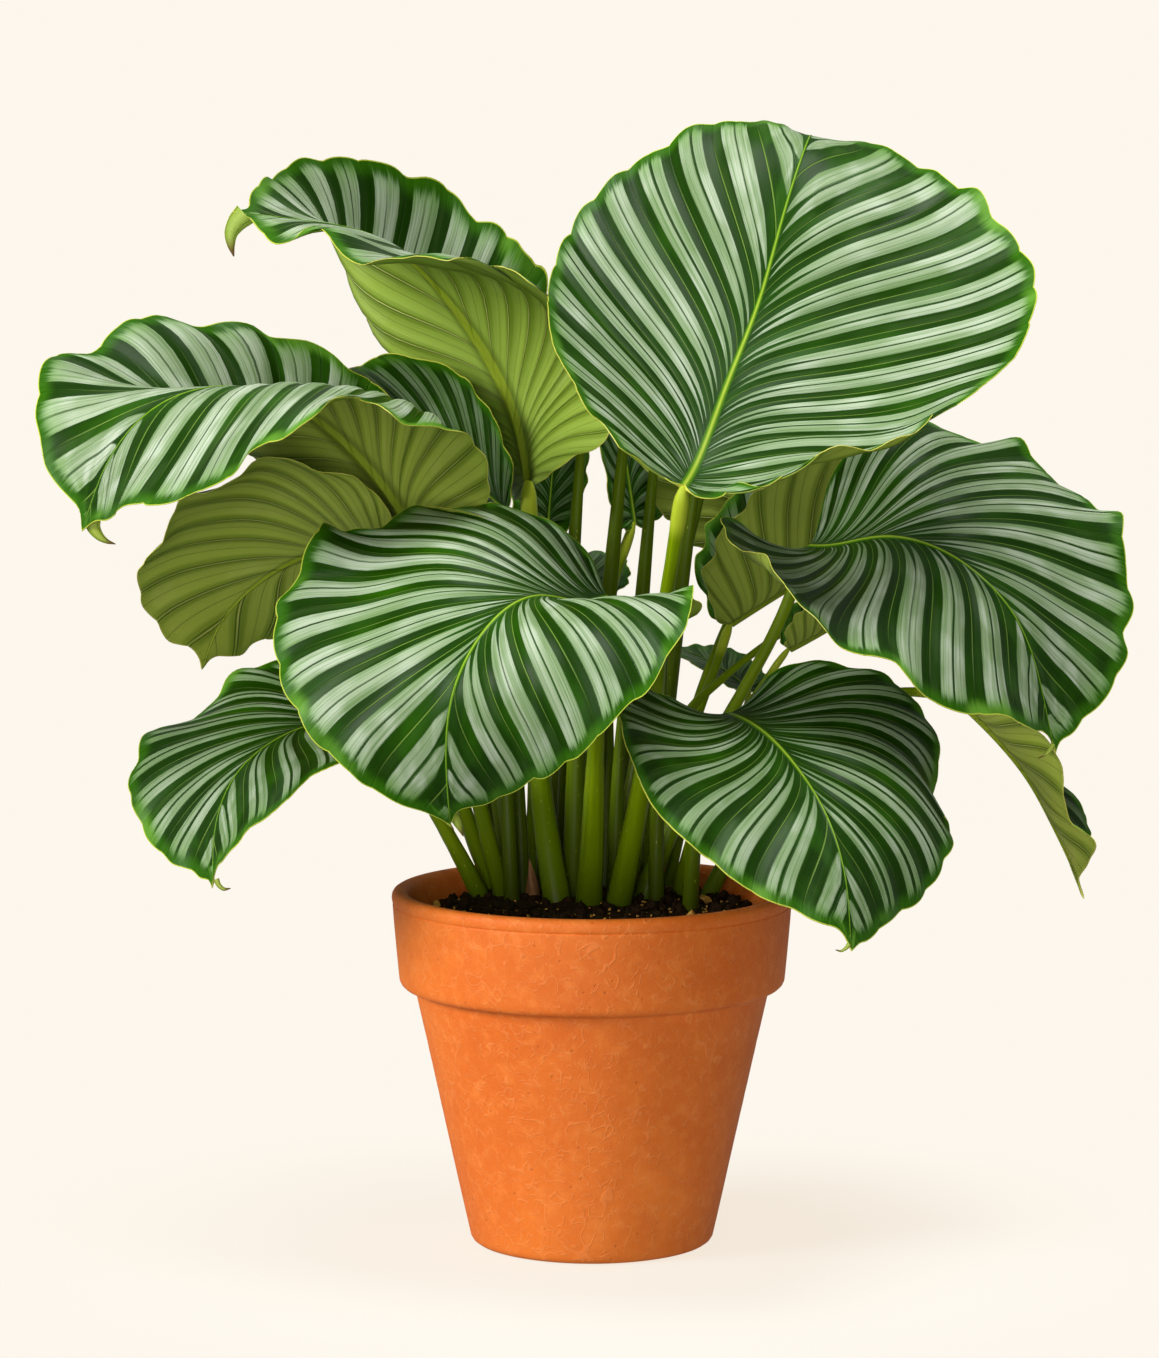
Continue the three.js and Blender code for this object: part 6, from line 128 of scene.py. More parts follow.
        -75, 195.4, 190.3, -88.4, 160.9, 195.9, -101.4, 125.3, 174.1, -108.5, 95.1, 131.6, 35.9, 374.1, 126.5, 10.1, 287, 146.1, -27.3, 298.3, 160.9,
        -56.4, 272.2, 164.2, -77.1, 238.3, 174.2, -103.7, 214.9, 164.9, -114.8, 174.4, 165.7, -128.1, 144.9, 167.5, -146, 104.9, 70.5, 30.8, 267.9,
        87.4, -12.4, 322.1, 105.4, -40.7, 287, 121.8, -76.7, 280.3, 138.6, -109.1, 260.2, 147.7, -132.1, 226.1, 142.2, -144.5, 188.9, 144.2, -160.7,
        154.2, 138.3, -166.4, 114.1, 42.8, 20.7, 318.5, 59.5, -12.8, 246.7, 71.6, -52.3, 267.2, 84.8, -87.9, 264.4, 96.7, -121.6, 253.2, 111.7,
        -155.3, 236.6, 124.9, -181.9, 207.4, 115.2, -187.8, 159.6, 160.3, -236.3, 158.5, 10.3, 3.2, 275.1, 21.5, -33.7, 303, 30.6, -67.1, 273.1, 44.9,
        -101.8, 260.9, 59.8, -136, 250.7, 73.2, -170.3, 236.3, 74.9, -187, 197.9, 96.9, -226.3, 191.1, 84.6, -231.1, 115.6, -22.2, -22.6, 351.1, -4.5,
        -53.9, 306.9, 4, -88.4, 299.5, 13.8, -122.2, 281.8, 24.1, -154.5, 261.8, 31.4, -182.2, 234.2, 44.7, -210.3, 210.1, 44.6, -230.2, 165.5, 72,
        -270.5, 177, -44.6, -37.5, 321, -43.1, -74.9, 345.4, -29.4, -108.8, 315.9, -10.8, -143.8, 305, -7, -176.7, 278, -5.2, -200.5, 243.6, -0.1,
        -225, 209.4, 15.5, -254.7, 192.6, 2.8, -266, 111.8, -103.4, -77.2, 512.6, -65.8, -93.3, 326.9, -52.3, -132.1, 353.7, -57.7, -163.3, 318.6,
        -46.2, -194.6, 291.9, -42.4, -218.4, 250.3, -27, -247.6, 232.5, -44.8, -257.8, 148.7, 43.7, -337.6, 327.9,
    ],
    "right": [
        0, 0, 0.034, -0.018, 0.072, -0.023, 0.109, -0.039, 0.148, -0.05, 0.185, -0.025, 0.221, -0.015, 0.258, -0.004, 0.292, 0.013, 0.331, 0.024,
        0.351, 0.06, 0.364, 0.098, 0.403, 0.116, 0.428, 0.144, 0.442, 0.18, 0.458, 0.213, 0.458, 0.252, 0.476, 0.284, 0.491, 0.318, 0.491, 0.356,
        0.493, 0.393, 0.49, 0.428, 0.488, 0.465, 0.486, 0.504, 0.481, 0.541, 0.471, 0.577, 0.458, 0.611, 0.441, 0.643, 0.425, 0.676, 0.411, 0.712,
        0.39, 0.743, 0.363, 0.769, 0.332, 0.791, 0.311, 0.823, 0.285, 0.851, 0.256, 0.876, 0.226, 0.899, 0.191, 0.914, 0.155, 0.927, 0.127, 0.954,
        0.092, 0.969, 0.049, 0.976, 0.018, 0.997, 0, 1.03,
    ],
    "left": [
        0, 0, -0.033, 0, -0.072, -0.014, -0.114, -0.035, -0.155, -0.04, -0.195, -0.032, -0.236, -0.026, -0.275, -0.013, -0.305, 0.014, -0.331, 0.046,
        -0.36, 0.071, -0.4, 0.082, -0.433, 0.102, -0.445, 0.145, -0.456, 0.185, -0.476, 0.216, -0.488, 0.251, -0.503, 0.284, -0.515, 0.318, -0.525,
        0.353, -0.528, 0.389, -0.522, 0.428, -0.499, 0.475, -0.48, 0.52, -0.484, 0.55, -0.503, 0.569, -0.507, 0.596, -0.477, 0.639, -0.446, 0.677,
        -0.421, 0.709, -0.4, 0.739, -0.38, 0.769, -0.357, 0.797, -0.33, 0.824, -0.298, 0.849, -0.266, 0.872, -0.231, 0.892, -0.196, 0.912, -0.163,
        0.931, -0.131, 0.951, -0.099, 0.972, -0.065, 0.992, -0.035, 1.005, 0, 1.03,
    ],
    "stalk": [
        44.6, 51, 165, 46.1, 44, 173, 47.7, 37, 181, 49.3, 30.1, 189, 50.9, 23.1, 197, 52.7, 16.1, 205, 54.4, 9.1, 212.9, 56.2, 2.2, 220.9, 57.9,
        -4.7, 229, 59.6, -11.6, 237, 61.2, -18.4, 245.1, 62.8, -25.2, 253.3, 64.3, -32, 261.4, 65.8, -38.8, 269.6,
    ],
    'bands': [12, 13],
    'age': 0.92,
    'tails': [[[118.06, -186.18, 181.44, 1.15], [116.69, -186.18, 179.57, 0.92], [114.39, -186.18, 178.17, 0.58], [111.99, -186.18, 178.64, 0.23]]],
},
{
    "id": '04', "length": 215.4, "stalkRadius": 6.6,
    "net": [
        109.3, -22.7, 273.9, 203.5, -143.8, 384, 135.5, -125.1, 368.1, 122.8, -193.8, 346.5, 151.9, -220.8, 267.7, 89.4, -230.3, 263.1, 94.1, -237.3,
        184, 78.3, -205.2, 190.5, 156.2, -181.9, 92.1, 176.5, -75.4, 360.1, 124.1, -89.7, 351, 115.6, -139.8, 359, 101.7, -166.5, 334.5, 79.3, -198.1,
        304.2, 64, -216.8, 255.1, 47.1, -207.2, 226, 51.2, -184, 182.5, 44, -158.1, 168.4, 108.4, -35.1, 327.7, 105.4, -83.9, 334.8, 66.8, -104.6,
        354, 51.8, -156.7, 343.3, 43, -180.7, 307, 17.8, -203.4, 280.3, 10, -188.2, 226.7, 20.6, -155.6, 208.7, 24.2, -134, 159.6, 82.2, -17.7, 303.1,
        55.9, -58.4, 302.3, 37.9, -99.8, 313.7, 12.9, -127.5, 344.2, -7.9, -176.6, 336.3, -25, -190.1, 285.7, -21.9, -152.8, 257.2, -14.4, -125.7,
        222.9, -27.5, -93.1, 190.8, 64.4, -16.4, 329.7, 28, -33.1, 336.5, -8.6, -65, 315.7, -23.2, -107.3, 330.7, -44.4, -141.4, 328.3, -70.2, -170.1,
        299.6, -68.3, -157.7, 245.9, -66.8, -121.6, 222.2, -62.5, -101.6, 167.8, 26.7, 21.6, 379.8, 2.5, -19.9, 367.6, -27.3, -50.5, 366.4, -57.6,
        -85.3, 359.9, -86.1, -121.7, 344.9, -104.8, -136.9, 299.9, -115.6, -139.4, 263.3, -115.5, -135.2, 203.7, -112.7, -122.8, 188.6, -12, 42.3,
        364.3, -41, 11.3, 395.3, -68.8, -21.2, 367.4, -94.4, -57.5, 364.4, -116.3, -79.4, 326.6, -147.8, -116, 320.4, -160.3, -122.7, 259.2, -166.7,
        -118.3, 242.2, -181.9, -119.2, 155.2, -53.6, 66.6, 493.3, -70.3, 37.2, 362.2, -103.8, 0.2, 397.4, -137.4, -21.5, 344.3, -148.9, -95.4, 406.1,
        -183, -67.3, 298.5, -199.1, -103.8, 311.7, -213.3, -97.3, 226.3, -206.2, -115.4, 265.4, 42.5, 119.9, -314.9, -151, 53.9, 590.2, -112.9, 44.1,
        222.1, -191.1, -40.5, 505.8, -176.7, -19.8, 364.9, -185.6, -91.7, 356.2, -265.9, -54.5, 268.2, -226.6, -99.8, 322, -375.9, 8.3, 46.6,
    ],
    "right": [
        0, 0, 0.039, -0.018, 0.082, -0.036, 0.126, -0.043, 0.169, -0.039, 0.209, -0.023, 0.252, -0.014, 0.299, -0.011, 0.338, 0.007, 0.378, 0.023,
        0.392, 0.07, 0.403, 0.119, 0.461, 0.113, 0.514, 0.116, 0.513, 0.17, 0.506, 0.23, 0.515, 0.273, 0.539, 0.295, 0.558, 0.318, 0.573, 0.34, 0.579,
        0.377, 0.571, 0.427, 0.561, 0.467, 0.551, 0.502, 0.536, 0.537, 0.528, 0.573, 0.534, 0.612, 0.511, 0.645, 0.488, 0.678, 0.466, 0.71, 0.442,
        0.741, 0.415, 0.77, 0.386, 0.797, 0.355, 0.823, 0.325, 0.851, 0.292, 0.875, 0.253, 0.891, 0.216, 0.91, 0.183, 0.937, 0.143, 0.951, 0.104,
        0.968, 0.063, 0.985, 0.026, 1.005, 0, 1.03,
    ],
    "left": [
        0, 0, -0.028, -0.02, -0.062, -0.024, -0.093, -0.029, -0.126, -0.048, -0.159, -0.035, -0.189, -0.018, -0.218, -0.003, -0.242, 0.02, -0.28,
        0.028, -0.308, 0.052, -0.311, 0.097, -0.333, 0.129, -0.351, 0.163, -0.367, 0.191, -0.38, 0.22, -0.392, 0.251, -0.4, 0.282, -0.411, 0.319,
        -0.419, 0.356, -0.423, 0.393, -0.419, 0.43, -0.413, 0.466, -0.412, 0.503, -0.411, 0.541, -0.404, 0.577, -0.385, 0.608, -0.373, 0.643, -0.362,
        0.677, -0.347, 0.71, -0.328, 0.74, -0.309, 0.769, -0.286, 0.796, -0.264, 0.822, -0.24, 0.847, -0.214, 0.87, -0.188, 0.888, -0.162, 0.914,
        -0.136, 0.938, -0.108, 0.957, -0.077, 0.969, -0.045, 0.975, -0.015, 0.992, 0, 1.03,
    ],
    "stalk": [
        -1.4, 10.9, 165, -1.1, 5.6, 177.5, -0.4, 0.3, 190.1, 0.1, -4.9, 202.6, 0.6, -10.2, 215.2, 1, -15.5, 227.7, 1.4, -20.7, 240.3, 1.9, -26, 252.8,
        2.5, -31.1, 265.4, 3.4, -36.2, 278, 4.4, -41.2, 290.6, 5.6, -46.2, 303.3, 6.9, -51.1, 315.9, 8.3, -55.9, 328.5,
    ],
    'bands': [15, 13],
    'age': 0.45,
    'tails': [[[-66.19, -131.78, 234.14, 2.35], [-63.62, -131.78, 229.38, 1.88], [-61.04, -131.78, 223.67, 0.28]], [[-69.88, -134.78, 234.1, 1.65], [-68.24, -134.78, 230.77, 1.18], [-65.43, -134.78, 227.21, 0.24]]],
},
{
    "id": '05', "length": 168.5, "stalkRadius": 4.6,
    "net": [
        64.3, -19.7, 232.3, 17.7, -43.1, 245.8, 6.5, -72.6, 243.9, -24.3, -99.7, 257.6, -25.9, -128.7, 241.7, -88.8, -162.2, 286.3, -67.1, -181.5,
        223.3, -104.8, -204.4, 255.5, -134.1, -238.9, 160.5, 9.3, 6.6, 241.6, -4.9, -23.1, 244.1, -28, -50.3, 249.6, -45.8, -78.2, 251.5, -71.6,
        -107.3, 260, -86, -133.1, 248.1, -116.3, -160.9, 253.3, -124.8, -181, 215.8, -127.3, -197.3, 208.1, -13.3, 28.8, 242.6, -37.2, 1, 247, -55.8,
        -27.7, 250.4, -77.9, -56.2, 255.8, -96.2, -83.5, 253.3, -124.2, -113, 264.1, -134.2, -134.7, 228.1, -144.6, -153.1, 212.1, -176.4, -180.3,
        186.6, -45.3, 50.3, 243.6, -65.9, 22.1, 248.9, -86.5, -5.6, 252.8, -105.8, -33.6, 256.9, -127.9, -61.9, 262.8, -147.3, -87.6, 247.6, -162.4,
        -109.8, 226.1, -183.3, -131.2, 202.1, -160, -140.1, 156.2, -77.6, 73.7, 262.4, -96.1, 46.3, 255.1, -116.7, 17.2, 257.4, -135.3, -12, 261.7,
        -155.2, -39, 257.3, -177.3, -64.9, 243.9, -183.5, -80.7, 213.7, -170.2, -87.8, 175.7, -217.6, -126, 165.1, -99.6, 93.7, 283, -126.2, 63.3,
        283.3, -142, 34.9, 278.4, -165.7, 7.1, 273.9, -186, -17.2, 257.2, -200.9, -38.8, 234.8, -210, -55.8, 203.5, -214.3, -69.9, 173.6, -208.2,
        -77.9, 133.1, -148.8, 100.9, 321.7, -148.6, 80.3, 296.1, -180.3, 50.9, 296.8, -190.3, 34, 259.4, -213.4, 5.8, 256.9, -231.6, -15.9, 232.3,
        -236.9, -31.1, 201.3, -247.3, -47.2, 168.7, -250.9, -65.8, 140.2, -152.5, 132.6, 310.6, -189.5, 101.8, 298, -202, 82.9, 276.5, -208.4, 59.9,
        242.7, -248.2, 28.7, 265, -248.1, 13.9, 218.3, -273.7, -7.3, 202.9, -271.2, -22.3, 163.9, -295.1, -37, 141.5, -206.2, 139, 250.3, -209.4, 133,
        302.9, -222.9, 97.1, 271, -267.4, 83.3, 279.2, -249.1, 60, 208.2, -309.1, 26.8, 249.7, -274.7, 24.6, 177, -330.4, -2.6, 181.9, -238.4, -11.8,
        80,
    ],
    "right": [
        0, 0, 0.036, -0.018, 0.073, -0.031, 0.113, -0.039, 0.154, -0.041, 0.191, -0.016, 0.231, -0.015, 0.277, -0.02, 0.312, 0.003, 0.35, 0.019,
        0.364, 0.062, 0.387, 0.094, 0.429, 0.109, 0.453, 0.14, 0.456, 0.182, 0.464, 0.222, 0.48, 0.255, 0.497, 0.286, 0.503, 0.323, 0.508, 0.359,
        0.512, 0.395, 0.523, 0.424, 0.532, 0.453, 0.518, 0.497, 0.494, 0.541, 0.472, 0.579, 0.462, 0.612, 0.467, 0.644, 0.46, 0.677, 0.435, 0.71,
        0.403, 0.74, 0.373, 0.767, 0.347, 0.795, 0.326, 0.825, 0.299, 0.851, 0.267, 0.874, 0.234, 0.895, 0.199, 0.914, 0.167, 0.936, 0.13, 0.95,
        0.094, 0.967, 0.062, 0.988, 0.02, 1.003, 0, 1.03,
    ],
    "left": [
        0, 0, -0.031, -0.021, -0.067, -0.032, -0.104, -0.032, -0.14, -0.033, -0.175, -0.023, -0.215, -0.027, -0.253, -0.019, -0.272, 0.021, -0.301,
        0.042, -0.337, 0.057, -0.36, 0.086, -0.387, 0.113, -0.399, 0.15, -0.404, 0.188, -0.44, 0.212, -0.458, 0.245, -0.453, 0.285, -0.46, 0.32,
        -0.46, 0.357, -0.468, 0.393, -0.485, 0.431, -0.464, 0.467, -0.448, 0.501, -0.457, 0.54, -0.45, 0.577, -0.442, 0.615, -0.429, 0.652, -0.416,
        0.687, -0.383, 0.706, -0.342, 0.72, -0.334, 0.761, -0.332, 0.805, -0.312, 0.835, -0.283, 0.858, -0.246, 0.875, -0.193, 0.882, -0.161, 0.902,
        -0.156, 0.937, -0.135, 0.959, -0.09, 0.97, -0.031, 0.972, -0.007, 0.993, 0, 1.03,
    ],
    "stalk": [
        -55.8, 44.7, 165, -59.4, 43.1, 172.4, -62.9, 41.6, 179.9, -66.6, 40.2, 187.3, -70.4, 38.7, 194.7, -74.3, 37.2, 202, -78.3, 35.8, 209.2, -82.5,
        34.4, 216.4, -86.7, 33.1, 223.5, -91, 31.8, 230.6, -95.3, 30.7, 237.7, -99.7, 29.6, 244.8, -104.1, 28.6, 251.9, -108.5, 27.5, 259,
    ],
    'bands': [12, 12],
    'age': 0.9,
    'tails': [[[-180.78, -89.25, 196.49, 1.44], [-179.61, -89.25, 193.57, 1.2], [-177.22, -89.25, 191.63, 0.96], [-174.1, -89.25, 191.87, 0.24]]],
},
{
    "id": '06', "length": 163.5, "stalkRadius": 4.4,
    "net": [
        107.7, -98.5, 411.4, -232.6, -82.5, 422, -155.4, -78.6, 356.2, -233.4, -24.2, 443.2, -220.5, -56.5, 340.5, -268.5, -10.9, 391.3, -252.3,
        -28.2, 287, -326.8, -4.4, 368.3, -225.6, -41.1, 69.5, -180.3, -94.4, 365.4, -132.3, -51.6, 408.4, -176.5, -28.5, 417.8, -178.4, -29.6, 356.6,
        -226.8, 1.5, 389.3, -208.9, -10.3, 312.8, -270.1, 11.6, 342.5, -275.7, 19.1, 288.9, -317.9, 31.6, 317.1, -78.6, -47.4, 430.4, -141.1, -46.6,
        362.3, -147.1, -8.1, 400.3, -176.6, 13.9, 392, -194.9, 23.1, 361.4, -226.1, 38.3, 349.4, -247.3, 46.8, 319.1, -263.1, 50.9, 295.4, -282.3,
        58.8, 250.2, -92.1, -44.5, 369.5, -93.4, -4.9, 398.9, -122.9, 13.3, 378.7, -148.1, 37, 374.3, -177.1, 52.5, 357.8, -199.4, 63.3, 333.1,
        -223.1, 70.8, 307.5, -236.7, 75.9, 271.7, -243.3, 79.7, 253.4, -49.6, -18.6, 361.4, -79.6, 2.6, 352.8, -114.1, 14.2, 346.2, -127.4, 46.2,
        344.7, -150.7, 69.4, 337.5, -175.4, 85.6, 321.5, -195.1, 95.6, 297.1, -197.9, 90.8, 267.7, -222, 93.8, 225.2, -65.6, -31.7, 311.5, -86.8, -13,
        316.1, -103.7, 20, 309.9, -110.1, 52.9, 314.8, -125.8, 83.4, 314.9, -147.8, 110, 311, -175.4, 126.4, 292.9, -188.7, 123, 251.9, -206.4, 136.3,
        252.8, -53.8, -34, 287.9, -65.2, 2, 281.5, -79.9, 30, 284, -93.4, 62, 284.5, -106.4, 93, 286.4, -123.1, 122.4, 285.8, -146.7, 147, 278.8,
        -171.5, 160.4, 260.2, -187.3, 167.9, 223.7, -30.9, -16.8, 248.2, -48.7, 5.4, 257.8, -61.5, 40.2, 254.4, -72.2, 71.5, 257.1, -85.7, 104.3,
        259.1, -102, 135.1, 260.9, -124.4, 162.1, 254.8, -144.3, 176.9, 235.7, -172.1, 200.6, 239.7, -24, -38.8, 257.4, -25.1, 26.4, 218.9, -39, 46.1,
        230, -53.7, 81.4, 227, -63.6, 114.9, 232.1, -77, 149.3, 234.9, -97.9, 179.2, 236.7, -127.8, 205.8, 235.8, -127, 173.4, 115.5,
    ],
    "right": [
        0, 0, 0.034, -0.018, 0.071, -0.03, 0.109, -0.043, 0.149, -0.037, 0.184, -0.014, 0.226, -0.022, 0.266, -0.017, 0.294, 0.012, 0.325, 0.035,
        0.347, 0.066, 0.376, 0.091, 0.417, 0.107, 0.427, 0.147, 0.433, 0.186, 0.459, 0.214, 0.473, 0.248, 0.49, 0.282, 0.499, 0.318, 0.481, 0.357,
        0.49, 0.393, 0.509, 0.43, 0.497, 0.467, 0.489, 0.503, 0.478, 0.538, 0.463, 0.572, 0.472, 0.614, 0.457, 0.649, 0.421, 0.672, 0.407, 0.707,
        0.39, 0.74, 0.369, 0.771, 0.349, 0.805, 0.311, 0.82, 0.283, 0.845, 0.256, 0.873, 0.217, 0.888, 0.187, 0.911, 0.172, 0.943, 0.139, 0.961,
        0.092, 0.968, 0.048, 0.975, 0.018, 0.997, 0, 1.03,
    ],
    "left": [
        0, 0, -0.037, -0.037, -0.079, -0.05, -0.125, -0.041, -0.168, -0.035, -0.209, -0.026, -0.26, -0.029, -0.296, -0.008, -0.337, 0.007, -0.388,
        0.007, -0.399, 0.061, -0.439, 0.076, -0.469, 0.103, -0.493, 0.138, -0.511, 0.174, -0.511, 0.219, -0.514, 0.261, -0.536, 0.29, -0.553, 0.321,
        -0.568, 0.351, -0.576, 0.384, -0.576, 0.421, -0.563, 0.464, -0.552, 0.503, -0.54, 0.54, -0.522, 0.578, -0.5, 0.616, -0.49, 0.649, -0.486,
        0.678, -0.458, 0.713, -0.443, 0.741, -0.419, 0.769, -0.388, 0.798, -0.357, 0.825, -0.326, 0.852, -0.293, 0.877, -0.255, 0.896, -0.218, 0.914,
        -0.183, 0.938, -0.146, 0.96, -0.103, 0.965, -0.059, 0.971, -0.023, 0.997, 0, 1.03,
    ],
    "stalk": [
        -47.9, 53.3, 165, -53.7, 50.5, 179.4, -59.2, 46.8, 193.7, -63.8, 43.2, 208.4, -67.9, 39.7, 223.3, -72.3, 36, 238, -76.8, 32, 252.7, -80.4,
        27.3, 267.3, -82.6, 21.8, 282, -83.6, 16.4, 296.8, -83.9, 11.8, 311.9, -84.9, 7.6, 327.1, -89, 5, 342, -101.9, 8.5, 349,
    ],
},
{
    "id": '07', "length": 232.1, "stalkRadius": 4.6,
    "net": [
        -18.4, -43.5, 33.5, 60.1, -182.8, 473.9, -52.7, -138.1, 314.2, -12.5, -188.7, 509.9, -118.9, -174.2, 323.2, -137.7, -205.7, 492.5, -99.1,
        -174.8, 227.3, -233.5, -213.1, 471.5, -16.2, -151.3, -248.4, 37.6, -125.1, 377.5, 1.4, -95.8, 358.6, -17, -114.8, 427.2, -85.4, -120.9, 370.7,
        -104.8, -143.9, 470.1, -125.3, -141.1, 346.7, -180.2, -155.1, 398.7, -183.1, -148.1, 283.2, -275.3, -169.1, 397.4, 35.1, -43.1, 341.2, -20.5,
        -72.2, 360.3, -46.1, -60.8, 404.9, -83.7, -79.8, 430, -124.8, -89.2, 423.5, -175.9, -113.7, 414.6, -180.4, -100, 340.3, -237.7, -114.8, 343.7,
        -223.6, -98, 230.8, -32.5, -25.4, 289.4, -29.7, -13.1, 354.7, -67, -23.8, 383.3, -94.9, -21.5, 432, -149.5, -49.2, 439.4, -179.9, -55.9,
        402.1, -226.1, -71.8, 385.5, -236, -60.3, 324.9, -270.7, -70.3, 320.2, -14, 13.3, 289.4, -83.6, 1, 321.9, -96.2, 15.6, 369.4, -119.8, 15.6,
        404.4, -158.1, 7.9, 436.7, -216.7, -23.9, 430.8, -240.6, -19, 386.5, -241.8, -8.4, 337.4, -289, -13.7, 307, -67.4, 55.9, 277.4, -83.2, 58.1,
        309.1, -116, 54.6, 346.1, -165, 38.6, 362.9, -187.6, 39.6, 402.4, -224.9, 30.6, 439, -269.3, 15.9, 401.9, -314, 14.1, 371, -312.8, -13.4,
        305.7, -39.4, 130.5, 274.5, -91.4, 112.8, 318.9, -129.6, 108.5, 348.4, -153.5, 106, 387.7, -197.9, 90.6, 412.9, -242.7, 81.3, 413, -294.8,
        51.4, 470.4, -320.5, 47.2, 406.5, -400.7, 36.2, 474, -94.8, 138.6, 324.1, -36.2, 148.7, 347.1, -77.1, 121.4, 403.5, -124.4, 106, 433.6,
        -185.5, 132.2, 445, -229.8, 108.9, 498.4, -277.3, 132.4, 394.8, -353, 88.9, 496.6, -344.7, 99.5, 275.3, 1047.7, 191, 407.1, -276.5, 172.6,
        377.2, 207.9, 151.4, 453.6, -130.1, 168.2, 455.4, -133.4, 137.4, 496, -347.1, 153.3, 399.9, -269.9, 128.6, 710.8, -340.6, 175.2, 203.1,
        -404.2, 108.4, 1366,
    ],
    "right": [
        0, 0, 0.048, -0.017, 0.099, -0.034, 0.152, -0.042, 0.206, -0.022, 0.26, -0.025, 0.315, -0.028, 0.364, -0.009, 0.412, 0.007, 0.449, 0.041,
        0.485, 0.07, 0.537, 0.078, 0.568, 0.112, 0.593, 0.147, 0.621, 0.178, 0.642, 0.214, 0.662, 0.249, 0.662, 0.282, 0.684, 0.32, 0.702, 0.358,
        0.688, 0.392, 0.68, 0.428, 0.703, 0.469, 0.687, 0.504, 0.652, 0.539, 0.659, 0.575, 0.654, 0.608, 0.626, 0.644, 0.604, 0.678, 0.573, 0.709,
        0.542, 0.739, 0.487, 0.762, 0.471, 0.796, 0.467, 0.829, 0.408, 0.852, 0.357, 0.873, 0.313, 0.895, 0.267, 0.913, 0.219, 0.928, 0.18, 0.959,
        0.13, 0.972, 0.077, 0.983, 0.028, 0.997, 0, 1.03,
    ],
    "left": [
        0, 0, -0.037, -0.015, -0.073, -0.035, -0.114, -0.042, -0.155, -0.028, -0.196, -0.029, -0.237, -0.022, -0.274, -0.008, -0.307, 0.012, -0.339,
        0.035, -0.365, 0.06, -0.385, 0.088, -0.414, 0.116, -0.452, 0.151, -0.457, 0.18, -0.47, 0.212, -0.498, 0.25, -0.521, 0.289, -0.54, 0.329,
        -0.534, 0.362, -0.487, 0.383, -0.459, 0.409, -0.499, 0.461, -0.514, 0.505, -0.525, 0.547, -0.514, 0.581, -0.491, 0.613, -0.446, 0.64, -0.428,
        0.673, -0.436, 0.711, -0.419, 0.743, -0.39, 0.771, -0.353, 0.797, -0.324, 0.823, -0.3, 0.85, -0.268, 0.873, -0.232, 0.893, -0.192, 0.911,
        -0.163, 0.933, -0.14, 0.954, -0.1, 0.97, -0.059, 0.983, -0.024, 1.001, 0, 1.03,
    ],
    "stalk": [
        -44.5, 42.3, 165, -48, 39.9, 179.3, -51.6, 37.7, 193.7, -55, 35.5, 208.1, -58.4, 33.3, 222.5, -61.9, 31.1, 236.8, -65.8, 29, 251.1, -70, 27.1,
        265.3, -74.3, 25.4, 279.5, -78.3, 23.8, 293.8, -82.1, 21, 308, -84.9, 17.9, 322.4, -86.7, 14.9, 336.9, -87.9, 12, 351.5,
    ],
    'bands': [15, 14],
    'origin': [3.6, 3.6],
    'ruffle': 0.014,
    'scallop': 0.009,
    'sweep': 14,
    'age': 0.02,
    'tails': [[[-245.62, -17.06, 363.49, 4.18], [-244.92, -17.06, 359.54, 3.44], [-242.27, -17.06, 355.6, 2.33], [-238.61, -17.06, 352.99, 1.23], [-234.45, -17.06, 351.66, 0.25]]],
},
{
    "id": '08', "length": 230.6, "stalkRadius": 6.6,
    "net": [
        -60.6, -113.3, 495.7, 113, -95.6, 344.4, 69.7, -77.4, 438.4, 54, -120.3, 461.8, -0.7, -110, 470.7, -10.2, -133.4, 567.6, -113.9, -142, 348,
        -65.8, -171.3, 780.3, -396.1, -218.7, -499.6, 76, -59.7, 294.5, 42.8, -51.4, 384.5, 53.4, -46.6, 418, 25.7, -48.5, 462, -13.2, -68.7, 486.5,
        -62.8, -83.9, 485.2, -89.4, -106.3, 545.3, -152.7, -114.1, 429.2, -131.3, -118.4, 761.4, 1.7, -27.7, 344.2, 23.4, -16, 353.8, 27.4, 0.6,
        410.9, 4.2, -9.5, 456, -36.2, -21.1, 471.3, -71.5, -35.9, 516.8, -124.4, -54.1, 437.2, -149.7, -68.9, 566.7, -236.6, -93.1, 313.9, -15.2, 3.1,
        303.3, -43.3, 8.5, 376.6, -2.8, 36.7, 400.5, -8, 48.9, 454.6, -44.2, 27.9, 495.5, -97.5, 8.6, 468, -129, -13.5, 538.2, -190.4, -14.6, 421.6,
        -177, -1.4, 632.9, -33.8, 52.8, 308.2, -27.2, 63.9, 338.3, -34.3, 78.6, 394, -44.3, 77.8, 431.7, -71.2, 76.4, 472.4, -102.2, 53.4, 517.3,
        -153.8, 35.4, 497.6, -190.6, 21.9, 533.2, -262.6, -0.9, 472.9, -15.6, 138.2, 282.4, -25.5, 126.8, 343.5, -57.1, 120.3, 377.4, -96.1, 106.1,
        409.9, -119.1, 96.7, 448.9, -130.8, 98.9, 491.2, -160.1, 81.6, 525.3, -198.1, 66.8, 540.8, -236.3, 35.7, 577.4, 10.4, 182.2, 343, -34.9,
        181.3, 346.1, -57, 171.4, 395.5, -82.8, 168.9, 429.3, -127.9, 161, 461.6, -134.6, 144.3, 515.4, -167.1, 128.1, 539.3, -201.2, 111.2, 570,
        -248.2, 103.6, 588.2, -32.8, 240.9, 263.4, 14.5, 211.4, 408, -24, 202, 422.6, -51.4, 166, 471.9, -97.6, 195, 486.1, -113.2, 180.3, 528.6,
